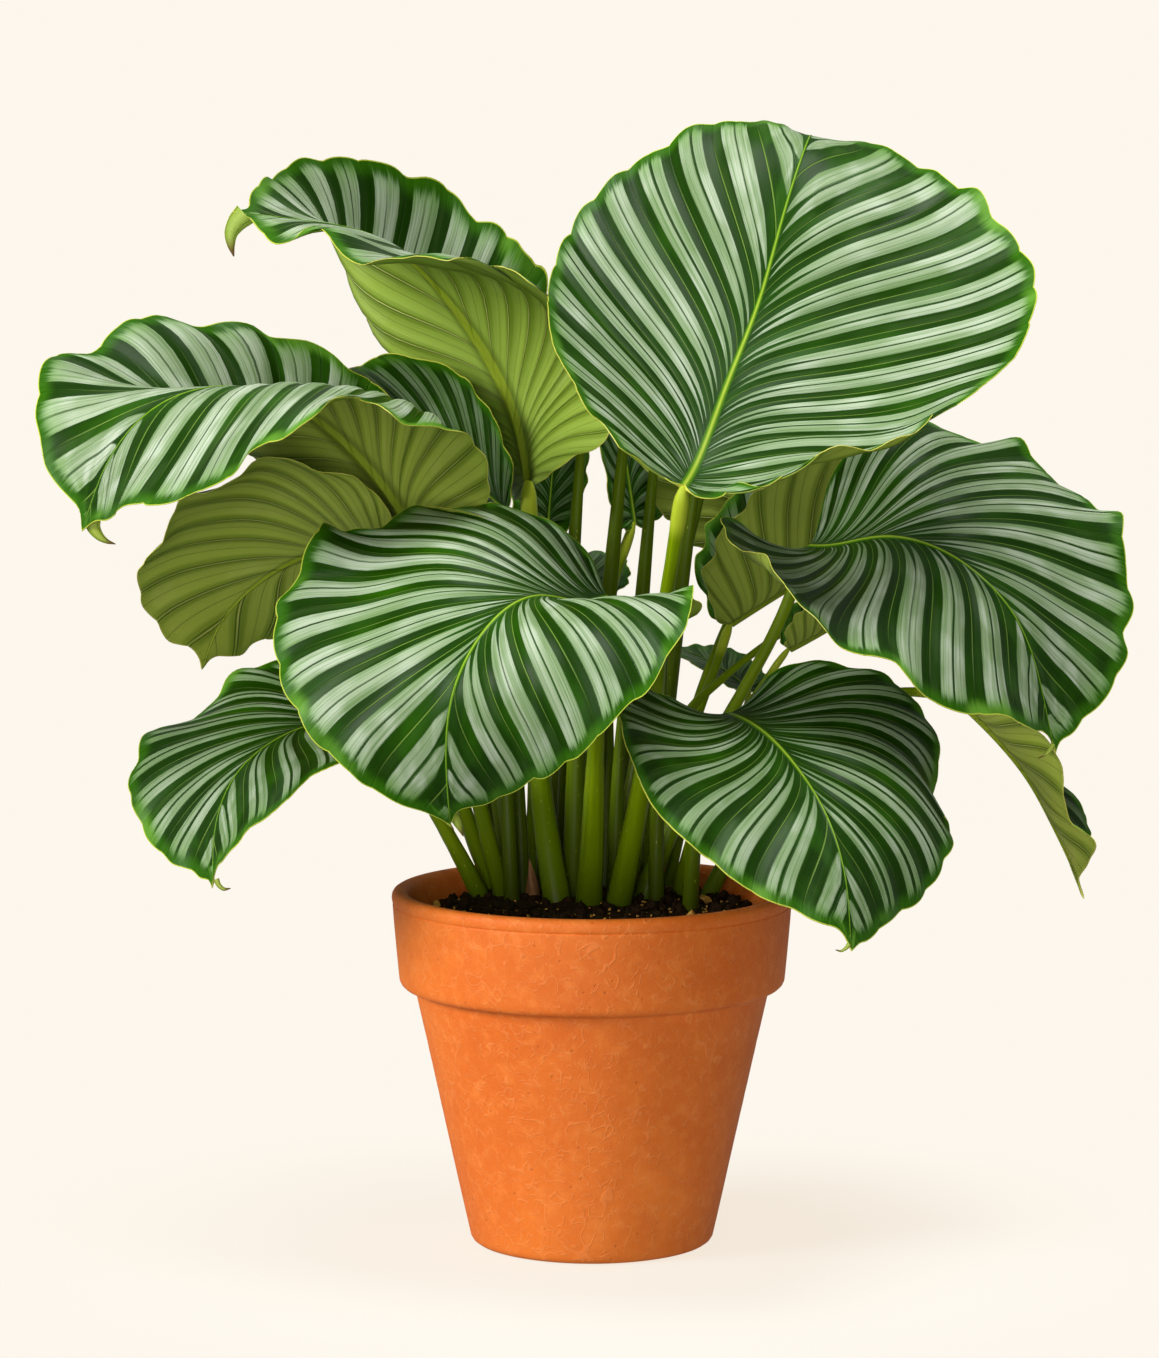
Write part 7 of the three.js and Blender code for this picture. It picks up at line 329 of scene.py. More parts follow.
        -135.9, 163.4, 613.8, -197.9, 151.3, 608.5, -187, 124.2, 675.3, 709.9, 152.2, 1199.4, -142.7, 270.7, 216.9, 158.8, 208.6, 656.1, 40.3, 213.2,
        577.6, 8.9, 200.3, 545.9, 22.3, 208.9, 730.1, -231.8, 212.7, 566.4, -69.7, 181.8, 722.8, -593.5, 227, 497.3,
    ],
    "right": [
        0, 0, 0.049, -0.017, 0.101, -0.026, 0.155, -0.034, 0.21, -0.033, 0.267, -0.043, 0.319, -0.025, 0.364, 0.009, 0.416, 0.013, 0.464, 0.027,
        0.502, 0.058, 0.539, 0.085, 0.564, 0.125, 0.595, 0.154, 0.64, 0.162, 0.66, 0.187, 0.677, 0.226, 0.683, 0.283, 0.693, 0.319, 0.701, 0.356,
        0.704, 0.393, 0.701, 0.428, 0.696, 0.465, 0.694, 0.504, 0.687, 0.541, 0.67, 0.575, 0.648, 0.606, 0.632, 0.644, 0.61, 0.679, 0.586, 0.712,
        0.551, 0.74, 0.516, 0.768, 0.481, 0.796, 0.448, 0.828, 0.406, 0.85, 0.358, 0.869, 0.308, 0.889, 0.266, 0.911, 0.223, 0.932, 0.178, 0.951,
        0.129, 0.965, 0.077, 0.98, 0.022, 0.995, 0, 1.03,
    ],
    "left": [
        0, 0, -0.034, -0.014, -0.067, -0.028, -0.102, -0.032, -0.142, -0.032, -0.183, -0.029, -0.22, -0.019, -0.256, -0.004, -0.295, 0.01, -0.322,
        0.035, -0.348, 0.061, -0.372, 0.09, -0.395, 0.12, -0.431, 0.142, -0.447, 0.177, -0.442, 0.22, -0.465, 0.25, -0.485, 0.282, -0.489, 0.319,
        -0.489, 0.354, -0.471, 0.388, -0.463, 0.421, -0.516, 0.475, -0.509, 0.511, -0.445, 0.53, -0.429, 0.563, -0.466, 0.613, -0.469, 0.653, -0.438,
        0.681, -0.409, 0.71, -0.388, 0.741, -0.374, 0.773, -0.35, 0.802, -0.325, 0.831, -0.287, 0.851, -0.239, 0.865, -0.174, 0.875, -0.176, 0.91,
        -0.182, 0.941, -0.155, 0.962, -0.105, 0.975, -0.058, 0.984, -0.017, 0.997, 0, 1.03,
    ],
    "stalk": [
        -17, 20.2, 165, -19.8, 24.2, 181, -22.4, 28.3, 197, -24.7, 32.3, 213, -26.5, 36.3, 229.1, -27.9, 40.4, 245.2, -28.8, 44.5, 261.4, -29.3, 48.5,
        277.6, -29.6, 52.6, 293.8, -29.8, 56.7, 310, -30.2, 60.7, 326.2, -30.8, 64.8, 342.3, -31.7, 68.8, 358.5, -32.8, 72.8, 374.7,
    ],
    'bands': [17, 17],
    'origin': [4.2, 4.2],
    'ruffle': 0.014,
    'scallop': 0.009,
    'sweep': 26,
    'age': 0.0,
    'tails': [[[-172.3, 26.98, 512.27, 5.96], [-176.3, 26.98, 508.31, 4.97], [-179.33, 26.98, 502.87, 3.48], [-179.47, 26.98, 496.93, 1.99], [-178.18, 26.98, 491.48, 0.37]]],
},
{
    "id": '09', "length": 139.1, "stalkRadius": 3.7,
    "net": [
        -14.2, 100.9, 236.2, -29.5, 121.6, 247.8, -44.4, 143.1, 260.2, -58.6, 164.7, 272.6, -73.3, 186.5, 285.5, -87.4, 208.2, 298.1, -102.6, 229.4,
        310.6, -117.9, 250.6, 322.7, -136.6, 270.3, 333.6, -15.9, 84.2, 261.7, -30.9, 105.7, 274, -45.7, 127.1, 286.3, -60.5, 148.5, 298.6, -75.1,
        170, 311.1, -90, 191.4, 323.5, -105.3, 212.6, 335.9, -121.6, 233.1, 348.2, -137.4, 253.8, 360.5, -17.3, 68.4, 287.9, -32.2, 89.6, 300.1,
        -47.2, 111, 312.3, -62.1, 132.4, 324.6, -77.2, 153.6, 336.9, -92.4, 174.8, 349.2, -108.3, 195.6, 361.5, -124.6, 216.1, 373.5, -141.2, 236.5,
        385.5, -18, 52.7, 314.1, -33.3, 73.8, 326.3, -48.3, 95.1, 338.5, -63.6, 116.3, 350.6, -79, 137.3, 362.6, -95, 158, 374.6, -111.5, 178.4,
        386.6, -128.8, 198.2, 398.6, -145.7, 217.9, 410.9, -17.3, 37.8, 341.4, -33.2, 58.6, 353, -48.9, 79.6, 364.9, -63.9, 100.9, 376.9, -82, 120.6,
        388.3, -98.2, 141, 399.6, -116.8, 159.8, 410.8, -134.8, 178.9, 422, -154.1, 197.9, 433.1, -14.6, 24.1, 369.5, -31.3, 44.6, 380.4, -47.4, 65.4,
        392.2, -64.4, 85.6, 403.3, -82.9, 104.6, 414, -105.7, 120.8, 421.1, -127.2, 137.9, 429.7, -146.6, 156.3, 440.8, -166.1, 174.6, 449.9, -13.4,
        10.1, 396.3, -30.2, 30.4, 407.9, -48, 50.2, 418.8, -65.4, 70.3, 430.3, -89.2, 85.9, 437.7, -113.5, 99.7, 441.6, -137.3, 115, 446.1, -158.1,
        132.7, 458.8, -180.1, 149.3, 464.8, -12.8, -4.7, 423.2, -31.9, 14.6, 434.3, -49.4, 34.3, 444.9, -70.2, 52.5, 455.1, -94.5, 67.2, 460.7,
        -120.7, 81, 465.4, -145.2, 95.7, 470.8, -167.3, 111.6, 477.1, -189.3, 128.4, 489, -19.6, -22.2, 451.5, -31.8, -0.8, 459.7, -52, 18.3, 471.8,
        -72.4, 35.3, 478.9, -101, 49.3, 486.8, -127.1, 60.7, 485.9, -154.2, 73.7, 487.8, -176.7, 90.8, 501.5, -195.7, 109, 505.7,
    ],
    "right": [
        0, 0, 0.03, -0.021, 0.066, -0.029, 0.102, -0.029, 0.137, -0.034, 0.173, -0.028, 0.212, -0.031, 0.244, -0.012, 0.263, 0.026, 0.299, 0.037,
        0.334, 0.053, 0.353, 0.086, 0.375, 0.115, 0.385, 0.153, 0.401, 0.185, 0.438, 0.209, 0.444, 0.246, 0.439, 0.285, 0.457, 0.317, 0.467, 0.351,
        0.465, 0.39, 0.458, 0.43, 0.45, 0.469, 0.444, 0.506, 0.443, 0.54, 0.444, 0.573, 0.436, 0.608, 0.417, 0.643, 0.394, 0.677, 0.37, 0.71, 0.345,
        0.74, 0.319, 0.769, 0.3, 0.795, 0.279, 0.82, 0.256, 0.846, 0.232, 0.877, 0.206, 0.906, 0.176, 0.921, 0.15, 0.941, 0.12, 0.958, 0.085, 0.969,
        0.051, 0.983, 0.018, 0.997, 0, 1.03,
    ],
    "left": [
        0, 0, -0.033, -0.017, -0.066, -0.035, -0.104, -0.039, -0.14, -0.021, -0.177, -0.029, -0.216, -0.028, -0.249, -0.009, -0.282, 0.008, -0.302,
        0.042, -0.329, 0.066, -0.372, 0.078, -0.387, 0.114, -0.396, 0.152, -0.418, 0.182, -0.431, 0.216, -0.455, 0.246, -0.471, 0.281, -0.453, 0.322,
        -0.461, 0.357, -0.479, 0.393, -0.475, 0.43, -0.474, 0.467, -0.46, 0.503, -0.443, 0.537, -0.457, 0.577, -0.449, 0.614, -0.418, 0.642, -0.404,
        0.675, -0.386, 0.707, -0.37, 0.741, -0.359, 0.779, -0.32, 0.795, -0.287, 0.813, -0.274, 0.852, -0.246, 0.876, -0.215, 0.897, -0.184, 0.916,
        -0.145, 0.922, -0.12, 0.951, -0.093, 0.981, -0.052, 0.981, -0.019, 0.998, 0, 1.03,
    ],
    "stalk": [
        -40.2, 59.3, 165, -43.1, 60.6, 179.8, -45.7, 61.3, 194.7, -47.8, 61.9, 209.7, -49.1, 62.4, 224.8, -49.7, 62.5, 240, -49.6, 63.4, 255.1, -49.4,
        65.6, 270.1, -48.6, 67.3, 285.2, -47.5, 68.5, 300.2, -46.1, 69.6, 315.3, -44.7, 70.4, 330.4, -43.2, 71.1, 345.4, -41.6, 71.8, 360.5,
    ],
    'tone': 2.0,
    'bands': [11, 11],
},
{
    "id": '10', "length": 127.6, "stalkRadius": 4.2,
    "net": [
        206.1, 158.2, 273.7, 222.4, 143.8, 254.4, 240.6, 130.5, 241.1, 259, 117.5, 226, 274.2, 100.3, 211.7, 292.5, 91, 190.8, 300.9, 74.8, 168.3,
        308.6, 74, 146.9, 309.3, 49.8, 111.5, 189.7, 132.3, 273.7, 208.5, 120.2, 260.1, 226.7, 107, 245.1, 244.5, 93.5, 230.8, 262.1, 80.4, 214.2,
        275.2, 67.1, 195.7, 285.3, 58.1, 172.8, 290.4, 45.4, 148.5, 295.5, 40.1, 127.5, 176.4, 108.8, 279.9, 194, 95.5, 264.6, 212.3, 82.8, 250.1,
        230.6, 69.7, 235.7, 248.6, 55.6, 221.9, 263.1, 42.7, 202.4, 269, 31, 177.9, 272.5, 24.5, 154.6, 279.2, 11.3, 128.5, 162, 83.5, 284.2, 180.5,
        71.3, 269.6, 198.2, 58.9, 254.8, 214.9, 46.7, 238.1, 233.8, 33.7, 225.3, 249.9, 18.6, 208.6, 247.6, 14.3, 179.8, 254.5, 1.1, 156.5, 254.7,
        -6.9, 132.5, 153.6, 56.8, 297.3, 169.6, 44.5, 277.8, 188, 33.1, 263.1, 204.4, 21.9, 247.3, 215.9, 9.8, 228.2, 226, -0.5, 208.3, 233.6, -13.7,
        188.4, 240.9, -24.6, 167.8, 252.8, -38.2, 142.4, 153.6, 30.7, 311.6, 171, 20.2, 296.5, 189.1, 9.8, 280.1, 204.4, -2.2, 262.6, 223.7, -12.1,
        246.6, 223.3, -29.8, 222.7, 254.8, -32.4, 207.5, 252.6, -48.4, 182.2, 271.1, -56.6, 165.5, 158.5, 9.1, 331.8, 175.8, -0.9, 314.4, 194.3,
        -11.6, 297.9, 212.4, -21.6, 281.3, 230.9, -31, 263.4, 243.9, -43.3, 243, 247.2, -57.9, 220.7, 268.3, -68.1, 201.7, 267.4, -82.1, 176.5, 162.3,
        -12.3, 348.4, 181.6, -22.7, 333, 199.6, -33.2, 315.9, 217.8, -42.8, 298.6, 233.4, -55.1, 280.1, 245.6, -67.1, 259.4, 265.4, -79.3, 239.9,
        267.7, -92, 216.9, 295, -103.2, 199.9, 172.9, -32.5, 370.8, 185.9, -44.4, 350.1, 205.7, -53.6, 333.5, 222.3, -64.4, 317, 241.9, -71.6, 295.2,
        264.1, -84.8, 278.5, 252.3, -102.5, 253.2, 296.7, -112.7, 238.4, 248.8, -124.8, 202.2,
    ],
    "right": [
        0, 0, 0.022, -0.018, 0.048, -0.023, 0.071, -0.036, 0.097, -0.051, 0.12, -0.028, 0.142, -0.015, 0.167, -0.004, 0.188, 0.014, 0.22, 0.026,
        0.232, 0.058, 0.231, 0.096, 0.26, 0.117, 0.282, 0.145, 0.289, 0.18, 0.301, 0.213, 0.295, 0.251, 0.305, 0.285, 0.333, 0.318, 0.324, 0.356,
        0.313, 0.393, 0.32, 0.43, 0.321, 0.468, 0.322, 0.505, 0.326, 0.545, 0.323, 0.582, 0.31, 0.615, 0.295, 0.647, 0.277, 0.677, 0.254, 0.705,
        0.225, 0.732, 0.202, 0.759, 0.198, 0.791, 0.207, 0.825, 0.23, 0.868, 0.222, 0.899, 0.187, 0.917, 0.144, 0.927, 0.103, 0.934, 0.059, 0.938,
        0.029, 0.945, 0.01, 0.959, 0, 0.987, 0, 1.03,
    ],
    "left": [
        0, 0, -0.021, -0.019, -0.046, -0.027, -0.07, -0.026, -0.094, -0.045, -0.12, -0.041, -0.138, -0.016, -0.162, -0.004, -0.18, 0.017, -0.206,
        0.033, -0.235, 0.051, -0.233, 0.09, -0.241, 0.123, -0.27, 0.147, -0.282, 0.179, -0.294, 0.212, -0.297, 0.248, -0.287, 0.286, -0.309, 0.32,
        -0.325, 0.355, -0.309, 0.393, -0.309, 0.43, -0.309, 0.467, -0.306, 0.503, -0.304, 0.539, -0.304, 0.573, -0.303, 0.607, -0.299, 0.641, -0.274,
        0.677, -0.289, 0.708, -0.268, 0.74, -0.231, 0.765, -0.207, 0.793, -0.209, 0.832, -0.182, 0.851, -0.155, 0.868, -0.138, 0.892, -0.116, 0.91,
        -0.107, 0.941, -0.086, 0.961, -0.051, 0.958, -0.032, 0.979, -0.015, 1.001, 0, 1.03,
    ],
    "stalk": [
        58.6, 45, 165, 64.4, 44.1, 177.2, 70.7, 43.2, 189.2, 77.8, 42.3, 200.6, 85.7, 41.5, 211.6, 94, 40.7, 222.2, 102.5, 40, 232.8, 111, 39.3,
        243.3, 119.9, 38.6, 253.5, 129.9, 38.1, 262.5, 141.7, 37.7, 269.1, 154.9, 37.6, 271.8, 168.4, 37.7, 271.6, 181.9, 38, 270.1,
    ],
    'tone': 2.0,
    'bands': [10, 10],
},
{
    "id": '11', "length": 150, "stalkRadius": 4,
    "net": [
        -34.9, 141.2, 354.2, -8.8, 144.5, 376.4, 20.1, 148.2, 394.2, 49.1, 151.8, 411.8, 78.8, 155.6, 428.2, 108.8, 159.4, 444, 139.4, 163.2, 458.5,
        170.1, 167.1, 473, 202.9, 171.3, 482.5, -27.3, 128.7, 345.9, 0.9, 132.2, 364, 29.1, 135.8, 382.1, 57.9, 139.4, 399.3, 87.1, 143.1, 415.6,
        116.8, 146.9, 431.1, 147, 150.7, 445.7, 177.6, 154.5, 459.3, 208.2, 158.4, 472.9, -4.6, 118, 315.2, 22.1, 121.4, 333.9, 49.5, 124.8, 351.3,
        77.4, 128.4, 367.9, 105.7, 131.9, 383.8, 134.5, 135.6, 398.8, 163.7, 139.3, 412.9, 193.3, 143, 426.3, 223.5, 146.8, 438.3, 10, 106.3, 296.6,
        36.6, 109.7, 314, 63.4, 113.1, 331.2, 90.7, 116.5, 347.4, 118.5, 120, 363, 146.7, 123.6, 377.6, 175.2, 127.2, 391.5, 204.3, 130.9, 404.5,
        233.4, 134.5, 417.1, 37.2, 96.2, 259.5, 62.2, 99.4, 277, 88, 102.6, 293.4, 114.2, 105.9, 309.1, 140.9, 109.3, 323.9, 167.9, 112.7, 338, 195.4,
        116.2, 351.3, 223.2, 119.7, 363.9, 251.6, 123.3, 375.1, 13.4, 79.7, 296.6, 40, 83, 314, 66.8, 86.4, 331.2, 94.1, 89.9, 347.4, 121.8, 93.4,
        363, 150, 96.9, 377.6, 178.6, 100.6, 391.5, 207.6, 104.2, 404.5, 236.8, 107.9, 417.1, 2.2, 64.7, 315.2, 28.8, 68.1, 333.9, 56.2, 71.6, 351.3,
        84.1, 75.1, 367.9, 112.5, 78.7, 383.8, 141.2, 82.3, 398.8, 170.5, 86, 412.9, 200, 89.7, 426.3, 230.2, 93.5, 438.3, -17.2, 48.8, 345.9, 11,
        52.3, 364, 39.2, 55.9, 382.1, 68, 59.5, 399.3, 97.2, 63.2, 415.6, 126.9, 67, 431.1, 157.1, 70.8, 445.7, 187.7, 74.6, 459.3, 218.2, 78.5,
        472.9, -21.4, 34.7, 354.2, 4.6, 38, 376.4, 33.5, 41.6, 394.2, 62.6, 45.3, 411.8, 92.2, 49.1, 428.2, 122.2, 52.8, 444, 152.9, 56.7, 458.5,
        183.5, 60.6, 473, 216.3, 64.7, 482.5,
    ],
    "right": [
        0, 0, 0.032, -0.015, 0.063, -0.035, 0.098, -0.041, 0.133, -0.029, 0.168, -0.028, 0.201, -0.015, 0.237, -0.01, 0.274, 0, 0.287, 0.041, 0.31,
        0.068, 0.347, 0.084, 0.367, 0.115, 0.388, 0.145, 0.399, 0.181, 0.4, 0.22, 0.43, 0.247, 0.449, 0.281, 0.438, 0.32, 0.442, 0.357, 0.443, 0.393,
        0.446, 0.43, 0.46, 0.468, 0.442, 0.503, 0.419, 0.536, 0.428, 0.576, 0.421, 0.612, 0.406, 0.646, 0.391, 0.679, 0.359, 0.703, 0.347, 0.737,
        0.342, 0.779, 0.309, 0.799, 0.278, 0.819, 0.255, 0.846, 0.227, 0.868, 0.209, 0.903, 0.179, 0.923, 0.137, 0.922, 0.111, 0.947, 0.085, 0.973,
        0.05, 0.984, 0.021, 1.001, 0, 1.03,
    ],
    "left": [
        0, 0, -0.032, -0.017, -0.065, -0.028, -0.098, -0.046, -0.134, -0.037, -0.166, -0.016, -0.203, -0.021, -0.237, -0.01, -0.268, 0.008, -0.297,
        0.031, -0.308, 0.069, -0.338, 0.091, -0.376, 0.109, -0.385, 0.147, -0.395, 0.183, -0.411, 0.215, -0.419, 0.251, -0.446, 0.281, -0.452, 0.318,
        -0.433, 0.357, -0.443, 0.393, -0.453, 0.43, -0.448, 0.467, -0.449, 0.504, -0.427, 0.538, -0.413, 0.572, -0.426, 0.614, -0.411, 0.648, -0.383,
        0.675, -0.368, 0.708, -0.345, 0.736, -0.333, 0.772, -0.319, 0.808, -0.277, 0.818, -0.249, 0.84, -0.233, 0.875, -0.204, 0.896, -0.178, 0.921,
        -0.144, 0.934, -0.106, 0.938, -0.084, 0.971, -0.053, 0.989, -0.019, 0.999, 0, 1.03,
    ],
    "stalk": [
        16.6, 52, 165, 19.9, 55.8, 175.7, 23.3, 59.5, 186.4, 26.8, 63.2, 197, 30.7, 66.8, 207.6, 35, 70.2, 218, 39.8, 73.3, 228.3, 45.7, 76.4, 238.1,
        51.8, 81.8, 246.6, 55.4, 87.8, 255.9, 59.3, 90.9, 266.6, 63.6, 93.6, 277.3, 67.3, 96.9, 288, 70.5, 100.4, 298.7,
    ],
    'tone': 1.0,
},
{
    "id": '12', "length": 160, "stalkRadius": 4.4,
    "net": [
        203, 226.7, 284.7, 204.2, 224.2, 317.7, 205.8, 221.1, 350.5, 207.3, 218, 383.4, 208.9, 214.9, 416.3, 210.4, 211.8, 449.2, 212, 208.7, 482.1,
        213.5, 205.7, 515, 215.4, 202, 547.8, 172.9, 209.3, 284.5, 174.5, 206.1, 317.4, 176.1, 203, 350.2, 177.6, 199.9, 383.1, 179.2, 196.8, 416,
        180.7, 193.7, 448.9, 182.3, 190.6, 481.8, 183.8, 187.5, 514.7, 185.3, 184.6, 547.6, 145.3, 187.1, 283.7, 146.8, 184.1, 316.6, 148.3, 181,
        349.5, 149.9, 177.9, 382.4, 151.4, 174.8, 415.2, 153, 171.7, 448.1, 154.5, 168.6, 481, 156.1, 165.5, 513.9, 157.6, 162.4, 546.8, 116.3, 167.5,
        283.2, 117.9, 164.3, 316.1, 119.5, 161.2, 349, 121, 158.1, 381.9, 122.5, 155, 414.7, 124.1, 151.9, 447.6, 125.6, 148.9, 480.5, 127.2, 145.8,
        513.4, 128.7, 142.8, 546.3, 89.4, 143.8, 282.3, 90.9, 140.8, 315.2, 92.4, 137.7, 348, 94, 134.6, 380.9, 95.5, 131.6, 413.8, 97.1, 128.5,
        446.7, 98.6, 125.4, 479.6, 100.2, 122.3, 512.5, 101.8, 119.1, 545.3, 54.3, 136.5, 283.2, 55.9, 133.3, 316.1, 57.4, 130.2, 349, 59, 127.1,
        381.9, 60.5, 124, 414.7, 62.1, 120.9, 447.6, 63.6, 117.9, 480.5, 65.2, 114.8, 513.4, 66.7, 111.7, 546.3, 21.3, 125.1, 283.7, 22.8, 122.1,
        316.6, 24.3, 119, 349.5, 25.9, 115.9, 382.4, 27.4, 112.8, 415.2, 28.9, 109.7, 448.1, 30.5, 106.6, 481, 32, 103.5, 513.9, 33.6, 100.3, 546.8,
        -13.1, 116.3, 284.5, -11.5, 113.1, 317.4, -10, 110, 350.2, -8.4, 106.9, 383.1, -6.9, 103.8, 416, -5.3, 100.7, 448.9, -3.8, 97.6, 481.8, -2.2,
        94.5, 514.7, -0.7, 91.6, 547.6, -45.1, 102.7, 284.7, -43.8, 100.2, 317.7, -42.2, 97, 350.5, -40.7, 94, 383.4, -39.1, 90.9, 416.3, -37.6, 87.8,
        449.2, -36, 84.7, 482.1, -34.6, 81.7, 515, -32.7, 78, 547.8,
    ],
    "right": [
        0, 0, 0.033, -0.015, 0.063, -0.032, 0.098, -0.045, 0.134, -0.031, 0.168, -0.027, 0.201, -0.016, 0.235, -0.006, 0.274, -0, 0.292, 0.036, 0.308,
        0.07, 0.345, 0.086, 0.368, 0.114, 0.386, 0.146, 0.402, 0.179, 0.401, 0.219, 0.424, 0.249, 0.451, 0.28, 0.442, 0.32, 0.44, 0.357, 0.445, 0.393,
        0.443, 0.43, 0.457, 0.468, 0.448, 0.504, 0.42, 0.536, 0.423, 0.574, 0.422, 0.612, 0.406, 0.645, 0.393, 0.68, 0.362, 0.705, 0.342, 0.734,
        0.341, 0.778, 0.312, 0.802, 0.278, 0.819, 0.255, 0.846, 0.226, 0.867, 0.206, 0.899, 0.181, 0.926, 0.139, 0.925, 0.109, 0.943, 0.085, 0.973,
        0.05, 0.984, 0.02, 1.001, 0, 1.03,
    ],
    "left": [
        0, 0, -0.031, -0.018, -0.065, -0.028, -0.099, -0.031, -0.134, -0.031, -0.172, -0.046, -0.204, -0.024, -0.228, 0.006, -0.265, 0.013, -0.295,
        0.032, -0.322, 0.057, -0.348, 0.083, -0.353, 0.124, -0.376, 0.152, -0.412, 0.174, -0.418, 0.213, -0.423, 0.25, -0.432, 0.285, -0.434, 0.321,
        -0.456, 0.355, -0.46, 0.393, -0.435, 0.429, -0.438, 0.466, -0.445, 0.504, -0.437, 0.54, -0.435, 0.578, -0.41, 0.608, -0.389, 0.639, -0.396,
        0.681, -0.379, 0.714, -0.348, 0.738, -0.328, 0.768, -0.301, 0.792, -0.284, 0.825, -0.268, 0.861, -0.227, 0.868, -0.195, 0.884, -0.175, 0.917,
        -0.146, 0.936, -0.118, 0.959, -0.083, 0.969, -0.046, 0.973, -0.02, 1, 0, 1.03,
    ],
    "stalk": [
        28.9, 59.3, 165, 31.6, 64.5, 179.2, 36.4, 69.9, 192.7, 41, 76.2, 206, 43.9, 83.6, 219.1, 47, 90.6, 232.5, 50.9, 97, 245.9, 55.2, 102.9, 259.4,
        60, 108.4, 273, 65.5, 115.4, 285.6, 71.3, 122, 298.2, 77.6, 128.4, 310.7, 84.1, 134.7, 323.1, 90.9, 140.9, 335.5,
    ],
    'tone': 1.0,
},
{
    "id": '13', "length": 150, "stalkRadius": 4.2,
    "net": [
        -29.6, -1.4, 309.2, -32.5, 1.8, 340.7, -37, 6.9, 371.7, -41.6, 11.9, 402.6, -46.6, 17.5, 433.5, -51.8, 23.3, 464.2, -57.5, 29.5, 494.8, -63.1,
        35.8, 525.4, -70.4, 43.9, 555.3, -10.5, 22, 308.3, -14.8, 26.8, 339.3, -19.1, 31.6, 370.3, -23.7, 36.8, 401.1, -28.7, 42.3, 431.9, -33.9,
        48.1, 462.5, -39.4, 54.2, 493.1, -45.3, 60.7, 523.4, -51.2, 67.3, 553.8, 0.4, 54.6, 305.2, -3.5, 58.9, 336, -7.8, 63.8, 366.7, -12.4, 68.9,
        397.3, -17.3, 74.3, 427.9, -22.5, 80.1, 458.3, -28, 86.2, 488.6, -33.8, 92.6, 518.7, -40, 99.5, 548.7, 15.7, 82.3, 303.2, 11.6, 86.9, 333.8,
        7.3, 91.7, 364.4, 2.7, 96.8, 394.9, -2.2, 102.2, 425.2, -7.3, 108, 455.5, -12.8, 114, 485.6, -18.6, 120.4, 515.6, -24.5, 127, 545.6, 24.2,
        117.6, 299.4, 20.4, 121.8, 329.8, 16.1, 126.6, 360.1, 11.6, 131.6, 390.2, 6.8, 137, 420.3, 1.7, 142.7, 450.3, -3.8, 148.7, 480.1, -9.4, 155,
        509.9, -15.6, 161.8, 539.4, 60.2, 122.3, 303.2, 56, 127, 333.8, 51.8, 131.7, 364.4, 47.2, 136.8, 394.9, 42.3, 142.2, 425.2, 37.1, 148, 455.5,
        31.7, 154, 485.6, 25.9, 160.5, 515.6, 20, 167, 545.6, 89.3, 134.7, 305.2, 85.5, 139, 336, 81.1, 143.8, 366.7, 76.5, 148.9, 397.3, 71.6, 154.4,
        427.9, 66.4, 160.1, 458.3, 60.9, 166.2, 488.6, 55.2, 172.6, 518.7, 49, 179.5, 548.7, 122.9, 142.1, 308.3, 118.6, 146.9, 339.3, 114.3, 151.6,
        370.3, 109.6, 156.8, 401.1, 104.7, 162.3, 431.9, 99.5, 168.1, 462.5, 93.9, 174.3, 493.1, 88.1, 180.8, 523.4, 82.2, 187.3, 553.8, 148.3, 158.6,
        309.2, 145.3, 161.9, 340.7, 140.8, 166.9, 371.7, 136.2, 172, 402.6, 131.2, 177.6, 433.5, 126, 183.4, 464.2, 120.4, 189.6, 494.8, 114.7, 195.9,
        525.4, 107.5, 204, 555.3,
    ],
    "right": [
        0, 0, 0.014, -0.017, 0.03, -0.027, 0.045, -0.031, 0.061, -0.049, 0.077, -0.036, 0.081, -0.01, 0.102, -0.005, 0.12, 0.011, 0.133, 0.033, 0.149,
        0.057, 0.141, 0.091, 0.151, 0.12, 0.182, 0.145, 0.182, 0.179, 0.18, 0.215, 0.185, 0.249, 0.183, 0.285, 0.203, 0.319, 0.211, 0.356, 0.187,
        0.393, 0.19, 0.43, 0.2, 0.467, 0.197, 0.504, 0.201, 0.54, 0.185, 0.575, 0.168, 0.608, 0.185, 0.646, 0.182, 0.68, 0.161, 0.709, 0.153, 0.739,
        0.138, 0.767, 0.136, 0.797, 0.14, 0.83, 0.111, 0.847, 0.09, 0.866, 0.091, 0.895, 0.079, 0.916, 0.07, 0.938, 0.053, 0.954, 0.026, 0.958, 0.021,
        0.981, 0.012, 1.002, 0, 1.03,
    ],
    "left": [
        0, 0, -0.011, -0.02, -0.028, -0.03, -0.044, -0.034, -0.058, -0.031, -0.071, -0.024, -0.098, -0.031, -0.11, -0.012, -0.106, 0.019, -0.126,
        0.036, -0.144, 0.059, -0.155, 0.086, -0.17, 0.115, -0.16, 0.151, -0.165, 0.183, -0.195, 0.212, -0.195, 0.248, -0.189, 0.284, -0.193, 0.32,
        -0.188, 0.357, -0.204, 0.393, -0.213, 0.43, -0.188, 0.466, -0.186, 0.503, -0.195, 0.54, -0.19, 0.575, -0.193, 0.612, -0.176, 0.644, -0.155,
        0.674, -0.169, 0.711, -0.166, 0.743, -0.144, 0.769, -0.134, 0.797, -0.117, 0.82, -0.112, 0.848, -0.116, 0.88, -0.089, 0.894, -0.066, 0.908,
        -0.064, 0.935, -0.052, 0.953, -0.041, 0.972, -0.024, 0.984, -0.005, 0.998, 0, 1.03,
    ],
    "stalk": [
        -7.4, 57, 165, -5.1, 61.8, 179.3, -2.9, 66.6, 193.5, -1, 71.5, 207.8, 0.5, 76.4, 222.2, 1.7, 81.2, 236.6, 2.6, 86.1, 251, 3.5, 90.9, 265.3,
